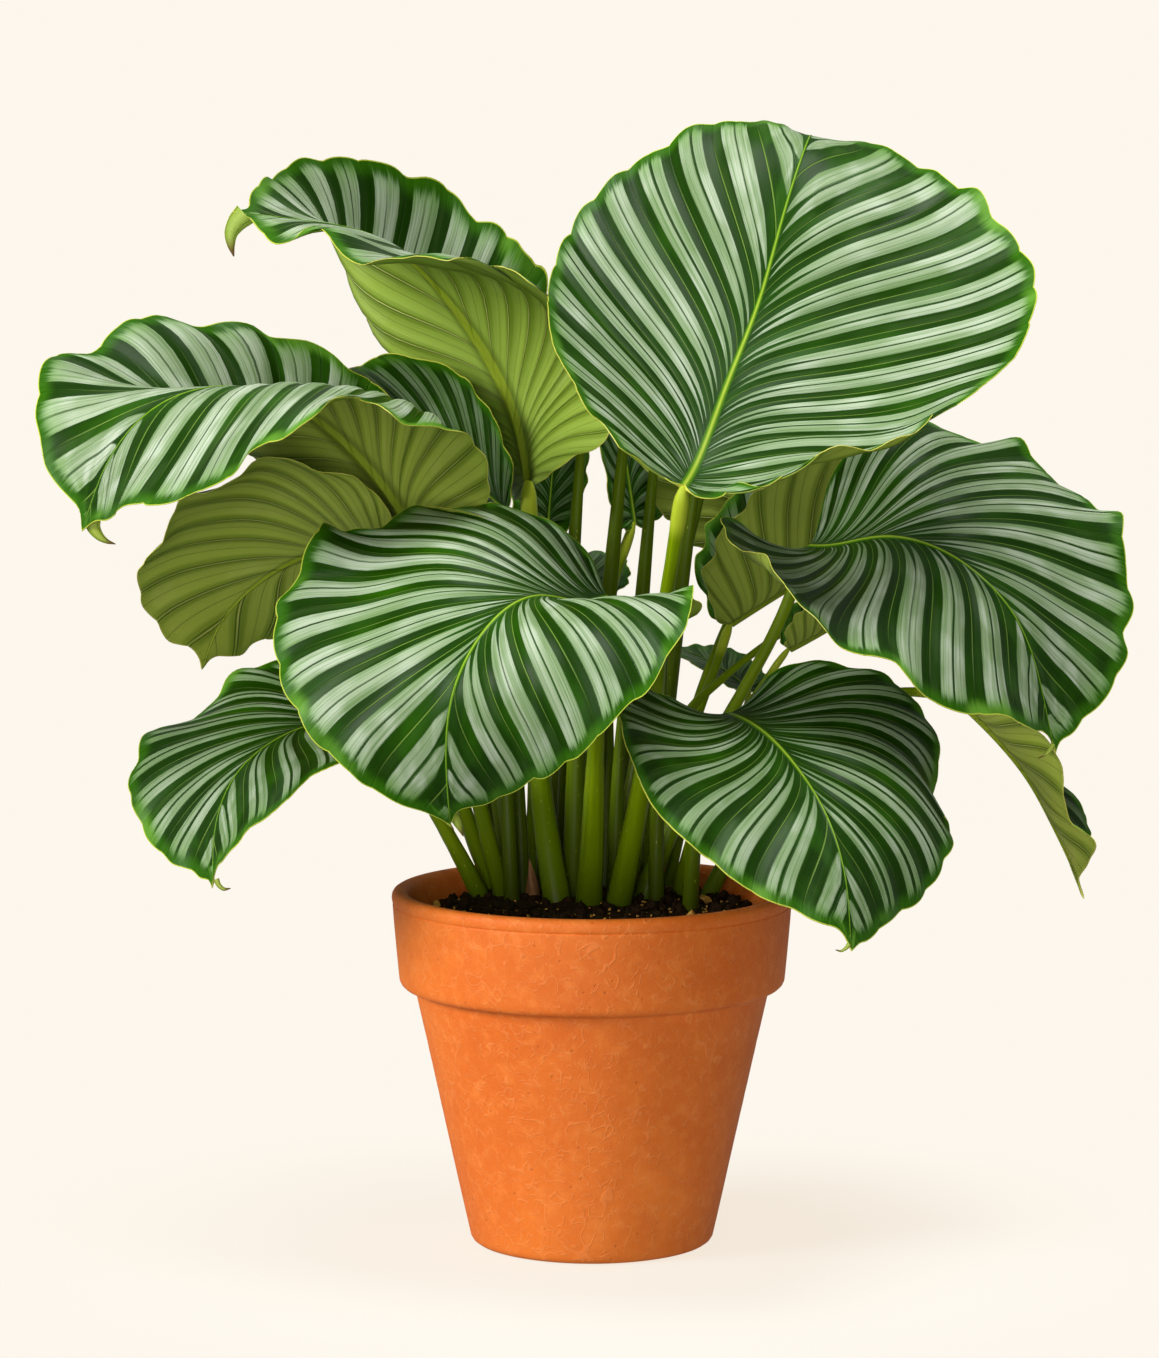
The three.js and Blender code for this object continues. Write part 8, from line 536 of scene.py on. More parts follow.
        4.6, 95.8, 279.7, 6.2, 100.7, 294.1, 8.6, 105.5, 308.3, 12.1, 110.5, 322.3, 16.6, 115.4, 335.9, 21.8, 120.3, 349.4,
    ],
    'tone': 2.0,
},
{
    "id": '14', "length": 85, "stalkRadius": 3.2,
    "net": [
        -97.2, 145.2, 319.1, -96.6, 146.6, 337.5, -95.4, 149.5, 355.6, -94.1, 153, 373.6, -92.4, 157.1, 391.5, -90.6, 161.7, 409.2, -88.5, 167, 426.7,
        -86.2, 172.7, 444, -83.3, 179.9, 460.7, -80.1, 140.5, 318.9, -79.2, 142.9, 337, -78, 145.7, 355, -76.7, 149.2, 372.9, -75, 153.2, 390.7,
        -73.2, 157.9, 408.3, -71.1, 163.1, 425.7, -68.8, 168.9, 442.9, -66.3, 175.1, 459.9, -60.9, 141.3, 318, -60, 143.4, 335.8, -58.9, 146.2, 353.6,
        -57.6, 149.6, 371.2, -56, 153.6, 388.7, -54.1, 158.2, 406.1, -52.1, 163.3, 423.2, -49.8, 169, 440.1, -47.3, 175.3, 456.8, -42.8, 139.2, 317.4,
        -41.9, 141.5, 335.1, -40.8, 144.3, 352.7, -39.4, 147.6, 370.1, -37.9, 151.6, 387.5, -36.1, 156.1, 404.6, -34, 161.2, 421.6, -31.8, 166.8,
        438.3, -29.3, 172.9, 454.9, -22.9, 141.5, 316.3, -22.1, 143.6, 333.7, -21, 146.3, 350.9, -19.7, 149.6, 368.1, -18.2, 153.5, 385.1, -16.4,
        157.9, 401.9, -14.4, 162.9, 418.5, -12.2, 168.4, 435, -9.7, 174.6, 451.2, -10.2, 126.2, 317.4, -9.2, 128.5, 335.1, -8.1, 131.2, 352.7, -6.8,
        134.6, 370.1, -5.2, 138.5, 387.5, -3.4, 143, 404.6, -1.4, 148.1, 421.6, 0.9, 153.8, 438.3, 3.3, 159.9, 454.9, 4.4, 115.2, 318, 5.2, 117.3,
        335.8, 6.3, 120.1, 353.6, 7.7, 123.5, 371.2, 9.3, 127.5, 388.7, 11.1, 132, 406.1, 13.2, 137.2, 423.2, 15.5, 142.9, 440.1, 18, 149.2, 456.8,
        17.8, 101.3, 318.9, 18.7, 103.8, 337, 19.9, 106.6, 355, 21.2, 110, 372.9, 22.9, 114.1, 390.7, 24.7, 118.7, 408.3, 26.8, 123.9, 425.7, 29.1,
        129.8, 442.9, 31.6, 135.9, 459.9, 33.3, 92.9, 319.1, 33.9, 94.3, 337.5, 35.1, 97.3, 355.6, 36.4, 100.7, 373.6, 38.1, 104.8, 391.5, 39.9,
        109.5, 409.2, 42.1, 114.8, 426.7, 44.3, 120.5, 444, 47.2, 127.7, 460.7,
    ],
    "right": [
        0, 0, 0.019, -0.018, 0.04, -0.031, 0.061, -0.043, 0.084, -0.026, 0.103, -0.019, 0.134, -0.03, 0.152, -0.011, 0.166, 0.013, 0.183, 0.036,
        0.192, 0.066, 0.221, 0.085, 0.243, 0.111, 0.234, 0.151, 0.244, 0.183, 0.263, 0.214, 0.271, 0.248, 0.286, 0.282, 0.278, 0.32, 0.265, 0.357,
        0.288, 0.393, 0.293, 0.43, 0.28, 0.467, 0.278, 0.503, 0.265, 0.538, 0.267, 0.575, 0.279, 0.614, 0.254, 0.644, 0.233, 0.674, 0.234, 0.709,
        0.222, 0.74, 0.216, 0.773, 0.199, 0.8, 0.165, 0.815, 0.159, 0.846, 0.156, 0.88, 0.129, 0.895, 0.109, 0.914, 0.087, 0.93, 0.066, 0.945, 0.059,
        0.977, 0.034, 0.986, 0.009, 0.997, 0, 1.03,
    ],
    "left": [
        0, 0, -0.02, -0.017, -0.038, -0.036, -0.062, -0.038, -0.083, -0.021, -0.106, -0.03, -0.131, -0.026, -0.151, -0.009, -0.171, 0.009, -0.176,
        0.041, -0.194, 0.064, -0.23, 0.081, -0.233, 0.116, -0.235, 0.151, -0.25, 0.181, -0.256, 0.215, -0.278, 0.247, -0.287, 0.282, -0.266, 0.321,
        -0.274, 0.357, -0.29, 0.393, -0.286, 0.43, -0.287, 0.467, -0.273, 0.503, -0.26, 0.538, -0.279, 0.577, -0.273, 0.612, -0.248, 0.643, -0.241,
        0.676, -0.229, 0.707, -0.224, 0.741, -0.222, 0.776, -0.189, 0.795, -0.167, 0.817, -0.166, 0.851, -0.149, 0.875, -0.132, 0.897, -0.111, 0.916,
        -0.08, 0.923, -0.073, 0.953, -0.06, 0.979, -0.031, 0.981, -0.011, 0.999, 0, 1.03,
    ],
    "stalk": [
        -30.4, 60, 165, -31.3, 65.4, 179.2, -31.2, 70.6, 193.5, -30.5, 77.4, 207.1, -30.3, 84.6, 220.5, -29, 91.3, 234.1, -27.2, 97.7, 247.7, -24.4,
        104, 261.3, -24.7, 110.1, 275.2, -24.5, 116.3, 289.1, -24, 122.5, 303, -23.7, 128.5, 317, -23.3, 134.8, 330.8, -22.4, 143, 343.6,
    ],
    'tone': 2.0,
},
{
    "id": '15', "length": 60, "stalkRadius": 3.2,
    "net": [
        -28.4, 94.6, 300.5, -32.4, 100.9, 313, -38, 110, 322.4, -44.6, 120.5, 329.6, -51.8, 132, 333.8, -59.3, 144.1, 335.1, -66.8, 156, 333.2, -74,
        167.5, 328.5, -80.1, 177.3, 319.9, -17.4, 101.6, 300.9, -21.8, 108.6, 312.1, -27.3, 117.4, 321.6, -33.8, 127.7, 328.5, -40.9, 139.1, 332.7,
        -48.3, 150.9, 333.9, -55.7, 162.7, 332.1, -62.6, 173.9, 327.4, -69, 184, 320.1, -7.8, 110.6, 299.4, -11.9, 117.2, 310.3, -17.2, 125.7, 319.3,
        -23.3, 135.6, 326, -30.1, 146.4, 330, -37.2, 157.8, 331.2, -44.3, 169.1, 329.4, -51, 179.8, 324.9, -57, 189.4, 317.8, 2.5, 118.8, 298.6, -1.6,
        125.3, 309.1, -6.7, 133.5, 317.9, -12.7, 143.1, 324.3, -19.3, 153.6, 328.2, -26.2, 164.6, 329.4, -33, 175.6, 327.7, -39.5, 186, 323.3, -45.4,
        195.4, 316.4, 11.9, 128.3, 296.8, 8.1, 134.3, 306.8, 3.3, 142, 315.1, -2.4, 151.1, 321.2, -8.6, 161.1, 324.9, -15.1, 171.5, 326, -21.6, 181.8,
        324.4, -27.7, 191.6, 320.2, -33.2, 200.5, 313.7, 24.5, 132.6, 298.6, 20.4, 139.1, 309.1, 15.3, 147.2, 317.9, 9.3, 156.8, 324.3, 2.7, 167.4,
        328.2, -4.1, 178.4, 329.4, -11, 189.4, 327.7, -17.5, 199.8, 323.3, -23.4, 209.2, 316.4, 36.3, 138.2, 299.4, 32.2, 144.8, 310.3, 26.9, 153.2,
        319.3, 20.7, 163.1, 326, 14, 174, 330, 6.9, 185.3, 331.2, -0.2, 196.6, 329.4, -6.9, 207.3, 324.9, -12.9, 217, 317.8, 48.7, 142.9, 300.9, 44.3,
        150, 312.1, 38.8, 158.7, 321.6, 32.4, 169.1, 328.5, 25.3, 180.4, 332.7, 17.9, 192.3, 333.9, 10.5, 204.1, 332.1, 3.5, 215.2, 327.4, -2.8,
        225.4, 320.1, 59.8, 149.7, 300.5, 55.8, 156, 313, 50.2, 165.1, 322.4, 43.6, 175.6, 329.6, 36.4, 187.1, 333.8, 28.9, 199.2, 335.1, 21.4, 211.2,
        333.2, 14.2, 222.6, 328.5, 8.1, 232.5, 319.9,
    ],
    "right": [
        0, 0, 0.03, -0.017, 0.062, -0.024, 0.093, -0.04, 0.128, -0.049, 0.158, -0.023, 0.189, -0.014, 0.223, -0.007, 0.252, 0.011, 0.286, 0.026, 0.3,
        0.061, 0.311, 0.097, 0.349, 0.115, 0.371, 0.144, 0.378, 0.181, 0.392, 0.214, 0.394, 0.251, 0.41, 0.284, 0.436, 0.317, 0.422, 0.356, 0.413,
        0.393, 0.424, 0.43, 0.422, 0.467, 0.426, 0.505, 0.418, 0.541, 0.388, 0.571, 0.39, 0.609, 0.393, 0.649, 0.369, 0.678, 0.351, 0.709, 0.327,
        0.736, 0.305, 0.764, 0.302, 0.806, 0.274, 0.829, 0.235, 0.84, 0.216, 0.87, 0.192, 0.894, 0.167, 0.918, 0.143, 0.943, 0.103, 0.943, 0.074,
        0.959, 0.05, 0.988, 0.019, 1.001, 0, 1.03,
    ],
    "left": [
        0, 0, -0.03, -0.018, -0.063, -0.022, -0.093, -0.038, -0.128, -0.049, -0.159, -0.027, -0.19, -0.017, -0.22, -0.002, -0.25, 0.014, -0.288,
        0.024, -0.302, 0.059, -0.312, 0.097, -0.346, 0.117, -0.367, 0.146, -0.382, 0.179, -0.397, 0.212, -0.391, 0.252, -0.407, 0.285, -0.434, 0.318,
        -0.425, 0.356, -0.418, 0.393, -0.421, 0.43, -0.416, 0.466, -0.428, 0.505, -0.421, 0.541, -0.39, 0.572, -0.389, 0.609, -0.388, 0.647, -0.37,
        0.679, -0.357, 0.712, -0.326, 0.736, -0.302, 0.762, -0.3, 0.805, -0.274, 0.83, -0.239, 0.844, -0.216, 0.87, -0.188, 0.889, -0.167, 0.918,
        -0.145, 0.947, -0.104, 0.945, -0.074, 0.959, -0.048, 0.985, -0.019, 1, 0, 1.03,
    ],
    "stalk": [
        4.6, 62, 165, 4.7, 67.8, 176.2, 4.7, 73.7, 187.5, 4.8, 79.5, 198.7, 4.9, 85.4, 210, 4.9, 91.2, 221.2, 5, 97.1, 232.5, 5.1, 102.9, 243.7, 5.2,
        108.8, 255, 5.3, 114.6, 266.2, 5.4, 120.5, 277.4, 5.6, 126.3, 288.7, 5.7, 132.1, 299.9, 5.8, 138, 311.2,
    ],
    'tone': 2.0,
},
{
    "id": '16', "length": 62, "stalkRadius": 3,
    "net": [
        62, 79.4, 320.8, 71.8, 81.6, 326.1, 81.9, 83.8, 330.5, 91.8, 86, 335.4, 101.6, 88.2, 340.7, 111.1, 90.3, 346.3, 120.5, 92.4, 352.2, 129.6,
        94.4, 358.7, 139.2, 96.6, 364.3, 64.9, 73.1, 316.8, 75.4, 75.4, 320.8, 85.7, 77.7, 325.4, 95.8, 79.9, 330.4, 105.7, 82.1, 335.8, 115.4, 84.3,
        341.5, 124.9, 86.4, 347.6, 134.3, 88.5, 353.9, 143.2, 90.5, 360.9, 71.4, 67.5, 303.2, 82.2, 69.9, 307.8, 92.9, 72.3, 312.6, 103.5, 74.7,
        317.8, 113.8, 77, 323.4, 124, 79.2, 329.3, 133.9, 81.4, 335.7, 143.6, 83.6, 342.4, 153.2, 85.7, 349.3, 75.9, 61.5, 294.8, 87.1, 64, 299.2,
        98.2, 66.5, 304.2, 109, 68.9, 309.5, 119.7, 71.3, 315.3, 130.1, 73.6, 321.4, 140.3, 75.9, 327.9, 150.3, 78.1, 334.8, 160, 80.2, 342.2, 83.4,
        56.2, 278.3, 95.1, 58.8, 283.2, 106.7, 61.4, 288.4, 118.1, 63.9, 294, 129.3, 66.4, 300, 140.3, 68.9, 306.5, 151, 71.2, 313.3, 161.5, 73.6,
        320.6, 171.9, 75.9, 328.1, 78.8, 48.2, 294.8, 90.1, 50.7, 299.2, 101.1, 53.2, 304.2, 112, 55.6, 309.5, 122.6, 57.9, 315.3, 133.1, 60.3, 321.4,
        143.3, 62.5, 327.9, 153.3, 64.8, 334.8, 162.9, 66.9, 342.2, 77.3, 40.9, 303.2, 88.1, 43.3, 307.8, 98.8, 45.7, 312.6, 109.4, 48, 317.8, 119.8,
        50.3, 323.4, 129.9, 52.6, 329.3, 139.9, 54.8, 335.7, 149.6, 57, 342.4, 159.1, 59.1, 349.3, 73.7, 33.1, 316.8, 84.3, 35.5, 320.8, 94.5, 37.7,
        325.4, 104.7, 40, 330.4, 114.6, 42.2, 335.8, 124.3, 44.4, 341.5, 133.8, 46.5, 347.6, 143.1, 48.5, 353.9, 152.1, 50.5, 360.9, 73.8, 26.1,
        320.8, 83.6, 28.3, 326.1, 93.8, 30.6, 330.5, 103.7, 32.8, 335.4, 113.4, 34.9, 340.7, 123, 37.1, 346.3, 132.4, 39.2, 352.2, 141.4, 41.2, 358.7,
        151, 43.3, 364.3,
    ],
    "right": [
        0, 0, 0.026, -0.018, 0.054, -0.029, 0.083, -0.042, 0.113, -0.043, 0.138, -0.016, 0.169, -0.016, 0.204, -0.015, 0.225, 0.01, 0.248, 0.033,
        0.263, 0.064, 0.279, 0.094, 0.317, 0.111, 0.331, 0.144, 0.327, 0.184, 0.345, 0.215, 0.357, 0.249, 0.371, 0.283, 0.385, 0.318, 0.367, 0.357,
        0.364, 0.393, 0.386, 0.43, 0.38, 0.467, 0.373, 0.504, 0.364, 0.539, 0.346, 0.572, 0.354, 0.611, 0.354, 0.649, 0.321, 0.675, 0.305, 0.706,
        0.295, 0.739, 0.278, 0.769, 0.269, 0.805, 0.238, 0.824, 0.204, 0.837, 0.196, 0.874, 0.176, 0.901, 0.147, 0.916, 0.122, 0.935, 0.09, 0.942,
        0.068, 0.965, 0.046, 0.991, 0.017, 1, 0, 1.03,
    ],
    "left": [
        0, 0, -0.026, -0.019, -0.056, -0.022, -0.083, -0.034, -0.114, -0.048, -0.142, -0.031, -0.17, -0.019, -0.194, -0.001, -0.219, 0.017, -0.257,
        0.025, -0.273, 0.056, -0.277, 0.095, -0.304, 0.118, -0.324, 0.147, -0.341, 0.179, -0.357, 0.211, -0.347, 0.251, -0.357, 0.286, -0.385, 0.318,
        -0.38, 0.356, -0.375, 0.393, -0.373, 0.43, -0.365, 0.466, -0.379, 0.504, -0.379, 0.542, -0.349, 0.573, -0.343, 0.608, -0.342, 0.645, -0.329,
        0.678, -0.321, 0.714, -0.292, 0.738, -0.265, 0.761, -0.265, 0.802, -0.246, 0.83, -0.215, 0.847, -0.193, 0.871, -0.164, 0.887, -0.146, 0.915,
        -0.132, 0.948, -0.094, 0.949, -0.064, 0.959, -0.042, 0.983, -0.017, 1, 0, 1.03,
    ],
    "stalk": [
        36.6, 66, 165, 40.4, 65.7, 175.2, 42.9, 64.5, 185.7, 45.4, 64.2, 196.3, 48.8, 63.9, 206.7, 52.8, 63.5, 216.8, 57.6, 63.1, 226.6, 62.8, 62.7,
        236.1, 68.4, 62.3, 245.4, 74.3, 61.8, 254.6, 80.4, 61.3, 263.6, 86.6, 60.8, 272.6, 92.8, 60.3, 281.5, 99, 59.7, 290.4,
    ],
    'tone': 2.0,
},
{
    "id": '17', "length": 56.2, "stalkRadius": 3,
    "net": [
        66.6, 75.2, 254.3, 59.8, 80.8, 263.2, 52, 87.3, 270.5, 43.7, 94.3, 276.8, 34.9, 101.6, 281.8, 25.8, 109.2, 285.5, 16.4, 117, 287.9, 6.8, 125,
        289.2, -2.8, 133, 288.3, 74.2, 84.7, 254.2, 67.1, 90.7, 262.4, 59.4, 97, 269.7, 51.2, 103.9, 275.8, 42.5, 111.2, 280.8, 33.4, 118.7, 284.5,
        24.1, 126.5, 287, 14.6, 134.4, 288, 5.1, 142.3, 287.9, 80.5, 95.3, 252.3, 73.6, 101.1, 260.4, 66.1, 107.3, 267.5, 58.1, 114, 273.5, 49.6,
        121.1, 278.4, 40.7, 128.5, 282, 31.6, 136.1, 284.4, 22.3, 143.8, 285.5, 13.1, 151.5, 285.2, 87.4, 105.4, 251.1, 80.6, 111.1, 259.1, 73.2,
        117.3, 266.1, 65.3, 123.9, 272, 56.9, 130.8, 276.8, 48.2, 138.1, 280.4, 39.2, 145.6, 282.7, 30.1, 153.2, 283.8, 21, 160.8, 283.6, 93.4, 116.3,
        248.8, 86.9, 121.7, 256.6, 79.7, 127.7, 263.4, 72, 134.1, 269.2, 63.9, 140.9, 273.9, 55.4, 148, 277.3, 46.7, 155.2, 279.6, 37.8, 162.6, 280.6,
        28.9, 170, 280.4, 103, 124.2, 251.1, 96.2, 129.8, 259.1, 88.8, 136, 266.1, 80.9, 142.6, 272, 72.5, 149.6, 276.8, 63.8, 156.8, 280.4, 54.8,
        164.3, 282.7, 45.7, 171.9, 283.8, 36.6, 179.5, 283.6, 111.7, 132.8, 252.3, 104.8, 138.5, 260.4, 97.3, 144.8, 267.5, 89.3, 151.5, 273.5, 80.8,
        158.6, 278.4, 71.9, 165.9, 282, 62.8, 173.5, 284.4, 53.6, 181.2, 285.5, 44.3, 189, 285.2, 121, 140.9, 254.2, 113.9, 146.8, 262.4, 106.2,
        153.2, 269.7, 98, 160.1, 275.8, 89.3, 167.3, 280.8, 80.2, 174.9, 284.5, 70.9, 182.7, 287, 61.4, 190.5, 288, 51.9, 198.4, 287.9, 129, 150.1,
        254.3, 122.2, 155.7, 263.2, 114.4, 162.2, 270.5, 106.1, 169.2, 276.8, 97.3, 176.5, 281.8, 88.2, 184.1, 285.5, 78.8, 191.9, 287.9, 69.3, 199.9,
        289.2, 59.6, 207.9, 288.3,
    ],
    "right": [
        0, 0, 0.029, -0.018, 0.06, -0.032, 0.093, -0.042, 0.126, -0.026, 0.157, -0.02, 0.196, -0.032, 0.225, -0.011, 0.25, 0.014, 0.276, 0.037, 0.294,
        0.067, 0.33, 0.084, 0.357, 0.109, 0.355, 0.153, 0.371, 0.184, 0.394, 0.213, 0.406, 0.248, 0.423, 0.282, 0.416, 0.32, 0.406, 0.357, 0.43,
        0.393, 0.435, 0.43, 0.42, 0.467, 0.416, 0.503, 0.402, 0.538, 0.402, 0.575, 0.41, 0.615, 0.38, 0.644, 0.356, 0.672, 0.351, 0.71, 0.334, 0.741,
        0.319, 0.774, 0.295, 0.801, 0.256, 0.813, 0.241, 0.847, 0.227, 0.882, 0.192, 0.895, 0.164, 0.914, 0.133, 0.929, 0.104, 0.945, 0.084, 0.979,
        0.049, 0.986, 0.016, 0.997, 0, 1.03,
    ],
    "left": [
        0, 0, -0.028, -0.021, -0.061, -0.029, -0.094, -0.026, -0.127, -0.037, -0.16, -0.033, -0.195, -0.027, -0.225, -0.01, -0.242, 0.025, -0.276,
        0.037, -0.313, 0.05, -0.325, 0.087, -0.342, 0.119, -0.358, 0.151, -0.373, 0.183, -0.405, 0.209, -0.411, 0.246, -0.399, 0.287, -0.416, 0.32,
        -0.426, 0.356, -0.428, 0.393, -0.432, 0.43, -0.411, 0.466, -0.407, 0.502, -0.424, 0.542, -0.41, 0.577, -0.39, 0.609, -0.379, 0.643, -0.359,
        0.674, -0.357, 0.713, -0.345, 0.748, -0.305, 0.764, -0.284, 0.792, -0.271, 0.826, -0.245, 0.85, -0.224, 0.879, -0.19, 0.892, -0.155, 0.902,
        -0.14, 0.939, -0.114, 0.962, -0.077, 0.965, -0.046, 0.981, -0.017, 0.998, 0, 1.03,
    ],
    "stalk": [
        46.6, 64, 165, 49.2, 68.7, 172.4, 51.8, 73.4, 179.8, 54.5, 78.2, 187.1, 57.1, 83.1, 194.4, 59.7, 88.2, 201.6, 62.3, 93.6, 208.5, 65.2, 97.8,
        216, 68.2, 101.3, 223.9, 71.1, 104.9, 231.8, 74.3, 110, 238.8, 77.4, 115, 245.8, 80.4, 119.8, 252.9, 83.5, 124.6, 260.1,
    ],
    'tone': 2.0,
},
{
    "id": '18', "length": 105.6, "stalkRadius": 4.2,
    "net": [
        -128.1, 5.4, 282.7, -133.9, 17.7, 308.1, -143.8, 39, 323.1, -155.2, 63.5, 329.2, -166.8, 88.4, 324.5, -176.9, 110, 310.1, -183.9, 125, 287.9,
        -187.3, 132.1, 261.1, -184.6, 126.4, 233, -107.2, 14.7, 284.5, -113.9, 29, 306.3, -123.3, 49.3, 321.5, -134.5, 73.2, 327.1, -145.8, 97.4,
        322.7, -155.6, 118.4, 308.6, -162.5, 133.2, 287, -165.5, 139.6, 260.9, -164.5, 137.5, 234.1, -88.5, 28.8, 282.2, -94.6, 41.7, 302.8, -103.4,
        60.7, 316.9, -113.9, 83, 322.2, -124.4, 105.5, 318, -133.5, 125.1, 304.9, -139.9, 138.8, 284.8, -142.7, 144.8, 260.5, -141.6, 142.4, 235.5,
        -69, 41, 281, -74.8, 53.5, 300.5, -83.2, 71.5, 313.9, -93.2, 92.8, 319, -103.2, 114.2, 315, -111.8, 132.8, 302.5, -117.9, 145.9, 283.4,
        -120.6, 151.6, 260.3, -119.6, 149.5, 236.5, -50.7, 55.8, 278.4, -55.9, 67, 296.2, -63.5, 83.3, 308.3, -72.5, 102.6, 312.9, -81.5, 121.9,
        309.3, -89.4, 138.8, 298, -94.9, 150.6, 280.7, -97.3, 155.8, 259.8, -96.4, 153.7, 238.3, -27.5, 60.3, 281, -33.4, 72.9, 300.5, -41.8, 90.9,
        313.9, -51.7, 112.1, 319, -61.7, 133.5, 315, -70.4, 152.1, 302.5, -76.5, 165.2, 283.4, -79.1, 170.9, 260.3, -78.2, 168.9, 236.5, -5.6, 67.5,
        282.2, -11.7, 80.4, 302.8, -20.5, 99.4, 316.9, -30.9, 121.7, 322.2, -41.4, 144.2, 318, -50.5, 163.8, 304.9, -57, 177.5, 284.8, -59.8, 183.5,
        260.5, -58.6, 181.1, 235.5, 17.2, 72.7, 284.5, 10.5, 87, 306.3, 1.1, 107.3, 321.5, -10.1, 131.3, 327.1, -21.4, 155.5, 322.7, -31.2, 176.4,
        308.6, -38.1, 191.2, 287, -41.1, 197.6, 260.9, -40.1, 195.6, 234.1, 37.7, 82.8, 282.7, 32, 95.1, 308.1, 22.1, 116.4, 323.1, 10.6, 140.9,
        329.2, -1, 165.8, 324.5, -11.1, 187.4, 310.1, -18.1, 202.4, 287.9, -21.4, 209.5, 261.1, -18.7, 203.8, 233,
    ],
    "right": [
        0, 0, 0.034, -0.019, 0.071, -0.031, 0.11, -0.026, 0.148, -0.031, 0.19, -0.047, 0.225, -0.022, 0.257, 0, 0.292, 0.015, 0.321, 0.038, 0.36,
        0.052, 0.385, 0.082, 0.39, 0.126, 0.419, 0.151, 0.449, 0.177, 0.46, 0.213, 0.476, 0.247, 0.474, 0.286, 0.477, 0.322, 0.506, 0.355, 0.504,
        0.393, 0.487, 0.43, 0.489, 0.466, 0.482, 0.503, 0.485, 0.541, 0.485, 0.579, 0.451, 0.607, 0.434, 0.639, 0.434, 0.681, 0.413, 0.712, 0.392,
        0.743, 0.364, 0.769, 0.329, 0.787, 0.316, 0.827, 0.293, 0.86, 0.251, 0.868, 0.221, 0.89, 0.19, 0.912, 0.159, 0.933, 0.133, 0.965, 0.091,
        0.968, 0.051, 0.974, 0.022, 1, 0, 1.03,
    ],
    "left": [
        0, 0, -0.036, -0.015, -0.071, -0.03, -0.109, -0.037, -0.148, -0.042, -0.187, -0.035, -0.219, -0.006, -0.259, -0.004, -0.301, 0, -0.324, 0.034,
        -0.35, 0.062, -0.374, 0.091, -0.396, 0.121, -0.434, 0.141, -0.448, 0.177, -0.445, 0.22, -0.468, 0.249, -0.485, 0.283, -0.492, 0.319, -0.501,
        0.356, -0.485, 0.393, -0.483, 0.429, -0.505, 0.468, -0.493, 0.504, -0.476, 0.539, -0.468, 0.574, -0.451, 0.607, -0.451, 0.647, -0.441, 0.684,
        -0.401, 0.704, -0.381, 0.735, -0.368, 0.772, -0.341, 0.799, -0.318, 0.83, -0.282, 0.847, -0.245, 0.859, -0.227, 0.899, -0.198, 0.925, -0.158,
        0.931, -0.125, 0.95, -0.089, 0.962, -0.055, 0.982, -0.024, 1.003, 0, 1.03,
    ],
    "stalk": [
        -16.4, 75, 165, -16.8, 75.5, 176.4, -17.4, 76, 187.8, -18.3, 76.4, 199.2, -19.8, 76.7, 210.5, -22, 76.9, 221.7, -25, 76.8, 232.7, -29, 76.4,
        243.4, -33.8, 75.6, 253.7, -40, 75.4, 263.3, -46.5, 75.4, 272.7, -52.3, 75.4, 282.5, -56.8, 75.6, 293, -60.1, 75.9, 304,
    ],
    'tone': 1.0,
},
{
    "id": '19', "length": 112.5, "stalkRadius": 3.2,
    "net": [
        52.5, 172.3, 324.8, 70.4, 182.8, 346.5, 93.9, 196.4, 357.5, 119, 211, 360.5, 143.7, 225.4, 354.3, 165.8, 238.2, 340, 182.8, 248.1, 318.4, 194,
        254.7, 292.2, 195, 255.2, 262.1, 65, 151.6, 326, 83.9, 162.6, 343.9, 106.5, 175.8, 355.2, 131, 190, 358, 155.1, 204, 352, 176.5, 216.5, 338,
        193.3, 226.2, 317.1, 203.8, 232.3, 291.3, 207.6, 234.5, 263.3, 81.5, 133.2, 321.5, 98.9, 143.3, 338.7, 120, 155.6, 349.2, 142.9, 168.9, 351.7,
        165.4, 182, 346.2, 185.4, 193.6, 333.1, 201, 202.7, 313.6, 210.8, 208.4, 289.5, 213.9, 210.2, 263.2, 96.2, 113.8, 319, 113, 123.5, 335.2,
        133.1, 135.2, 345.2, 154.9, 147.9, 347.6, 176.3, 160.3, 342.4, 195.3, 171.4, 329.8, 210.2, 180.1, 311.3, 219.5, 185.5, 288.4, 222.8, 187.4,
        263.4, 113.5, 95.8, 313.8, 128.6, 104.6, 328.7, 146.9, 115.2, 337.8, 166.7, 126.7, 340, 186.1, 138, 335.2, 203.4, 148.1, 323.8, 216.9, 155.9,
        307, 225.4, 160.9, 286.2, 228.1, 162.5, 263.5, 120.5, 71.9, 319, 137.3, 81.6, 335.2, 157.4, 93.3, 345.2, 179.2, 106, 347.6, 200.6, 118.5,
        342.4, 219.7, 129.5, 329.8, 234.6, 138.2, 311.3, 243.9, 143.6, 288.4, 247.1, 145.5, 263.4, 130.1, 49.5, 321.5, 147.6, 59.6, 338.7, 168.7,
        71.9, 349.2, 191.6, 85.2, 351.7, 214.1, 98.3, 346.2, 234, 109.9, 333.1, 249.7, 119, 313.6, 259.5, 124.7, 289.5, 262.6, 126.5, 263.2, 138, 26,
        326, 156.9, 37.1, 343.9, 179.5, 50.2, 355.2, 204.1, 64.5, 358, 228.1, 78.5, 352, 249.6, 90.9, 338, 266.3, 100.7, 317.1, 276.8, 106.7, 291.3,
        280.6, 109, 263.3, 149.8, 4.9, 324.8, 167.8, 15.3, 346.5, 191.2, 29, 357.5, 216.3, 43.6, 360.5, 241.1, 58, 354.3, 263.1, 70.8, 340, 280.2,
        80.7, 318.4, 291.4, 87.2, 292.2, 292.3, 87.8, 262.1,
    ],
    "right": [
        0, 0, 0.033, -0.018, 0.067, -0.033, 0.104, -0.04, 0.14, -0.021, 0.177, -0.026, 0.217, -0.032, 0.248, -0.008, 0.279, 0.012, 0.304, 0.04, 0.329,
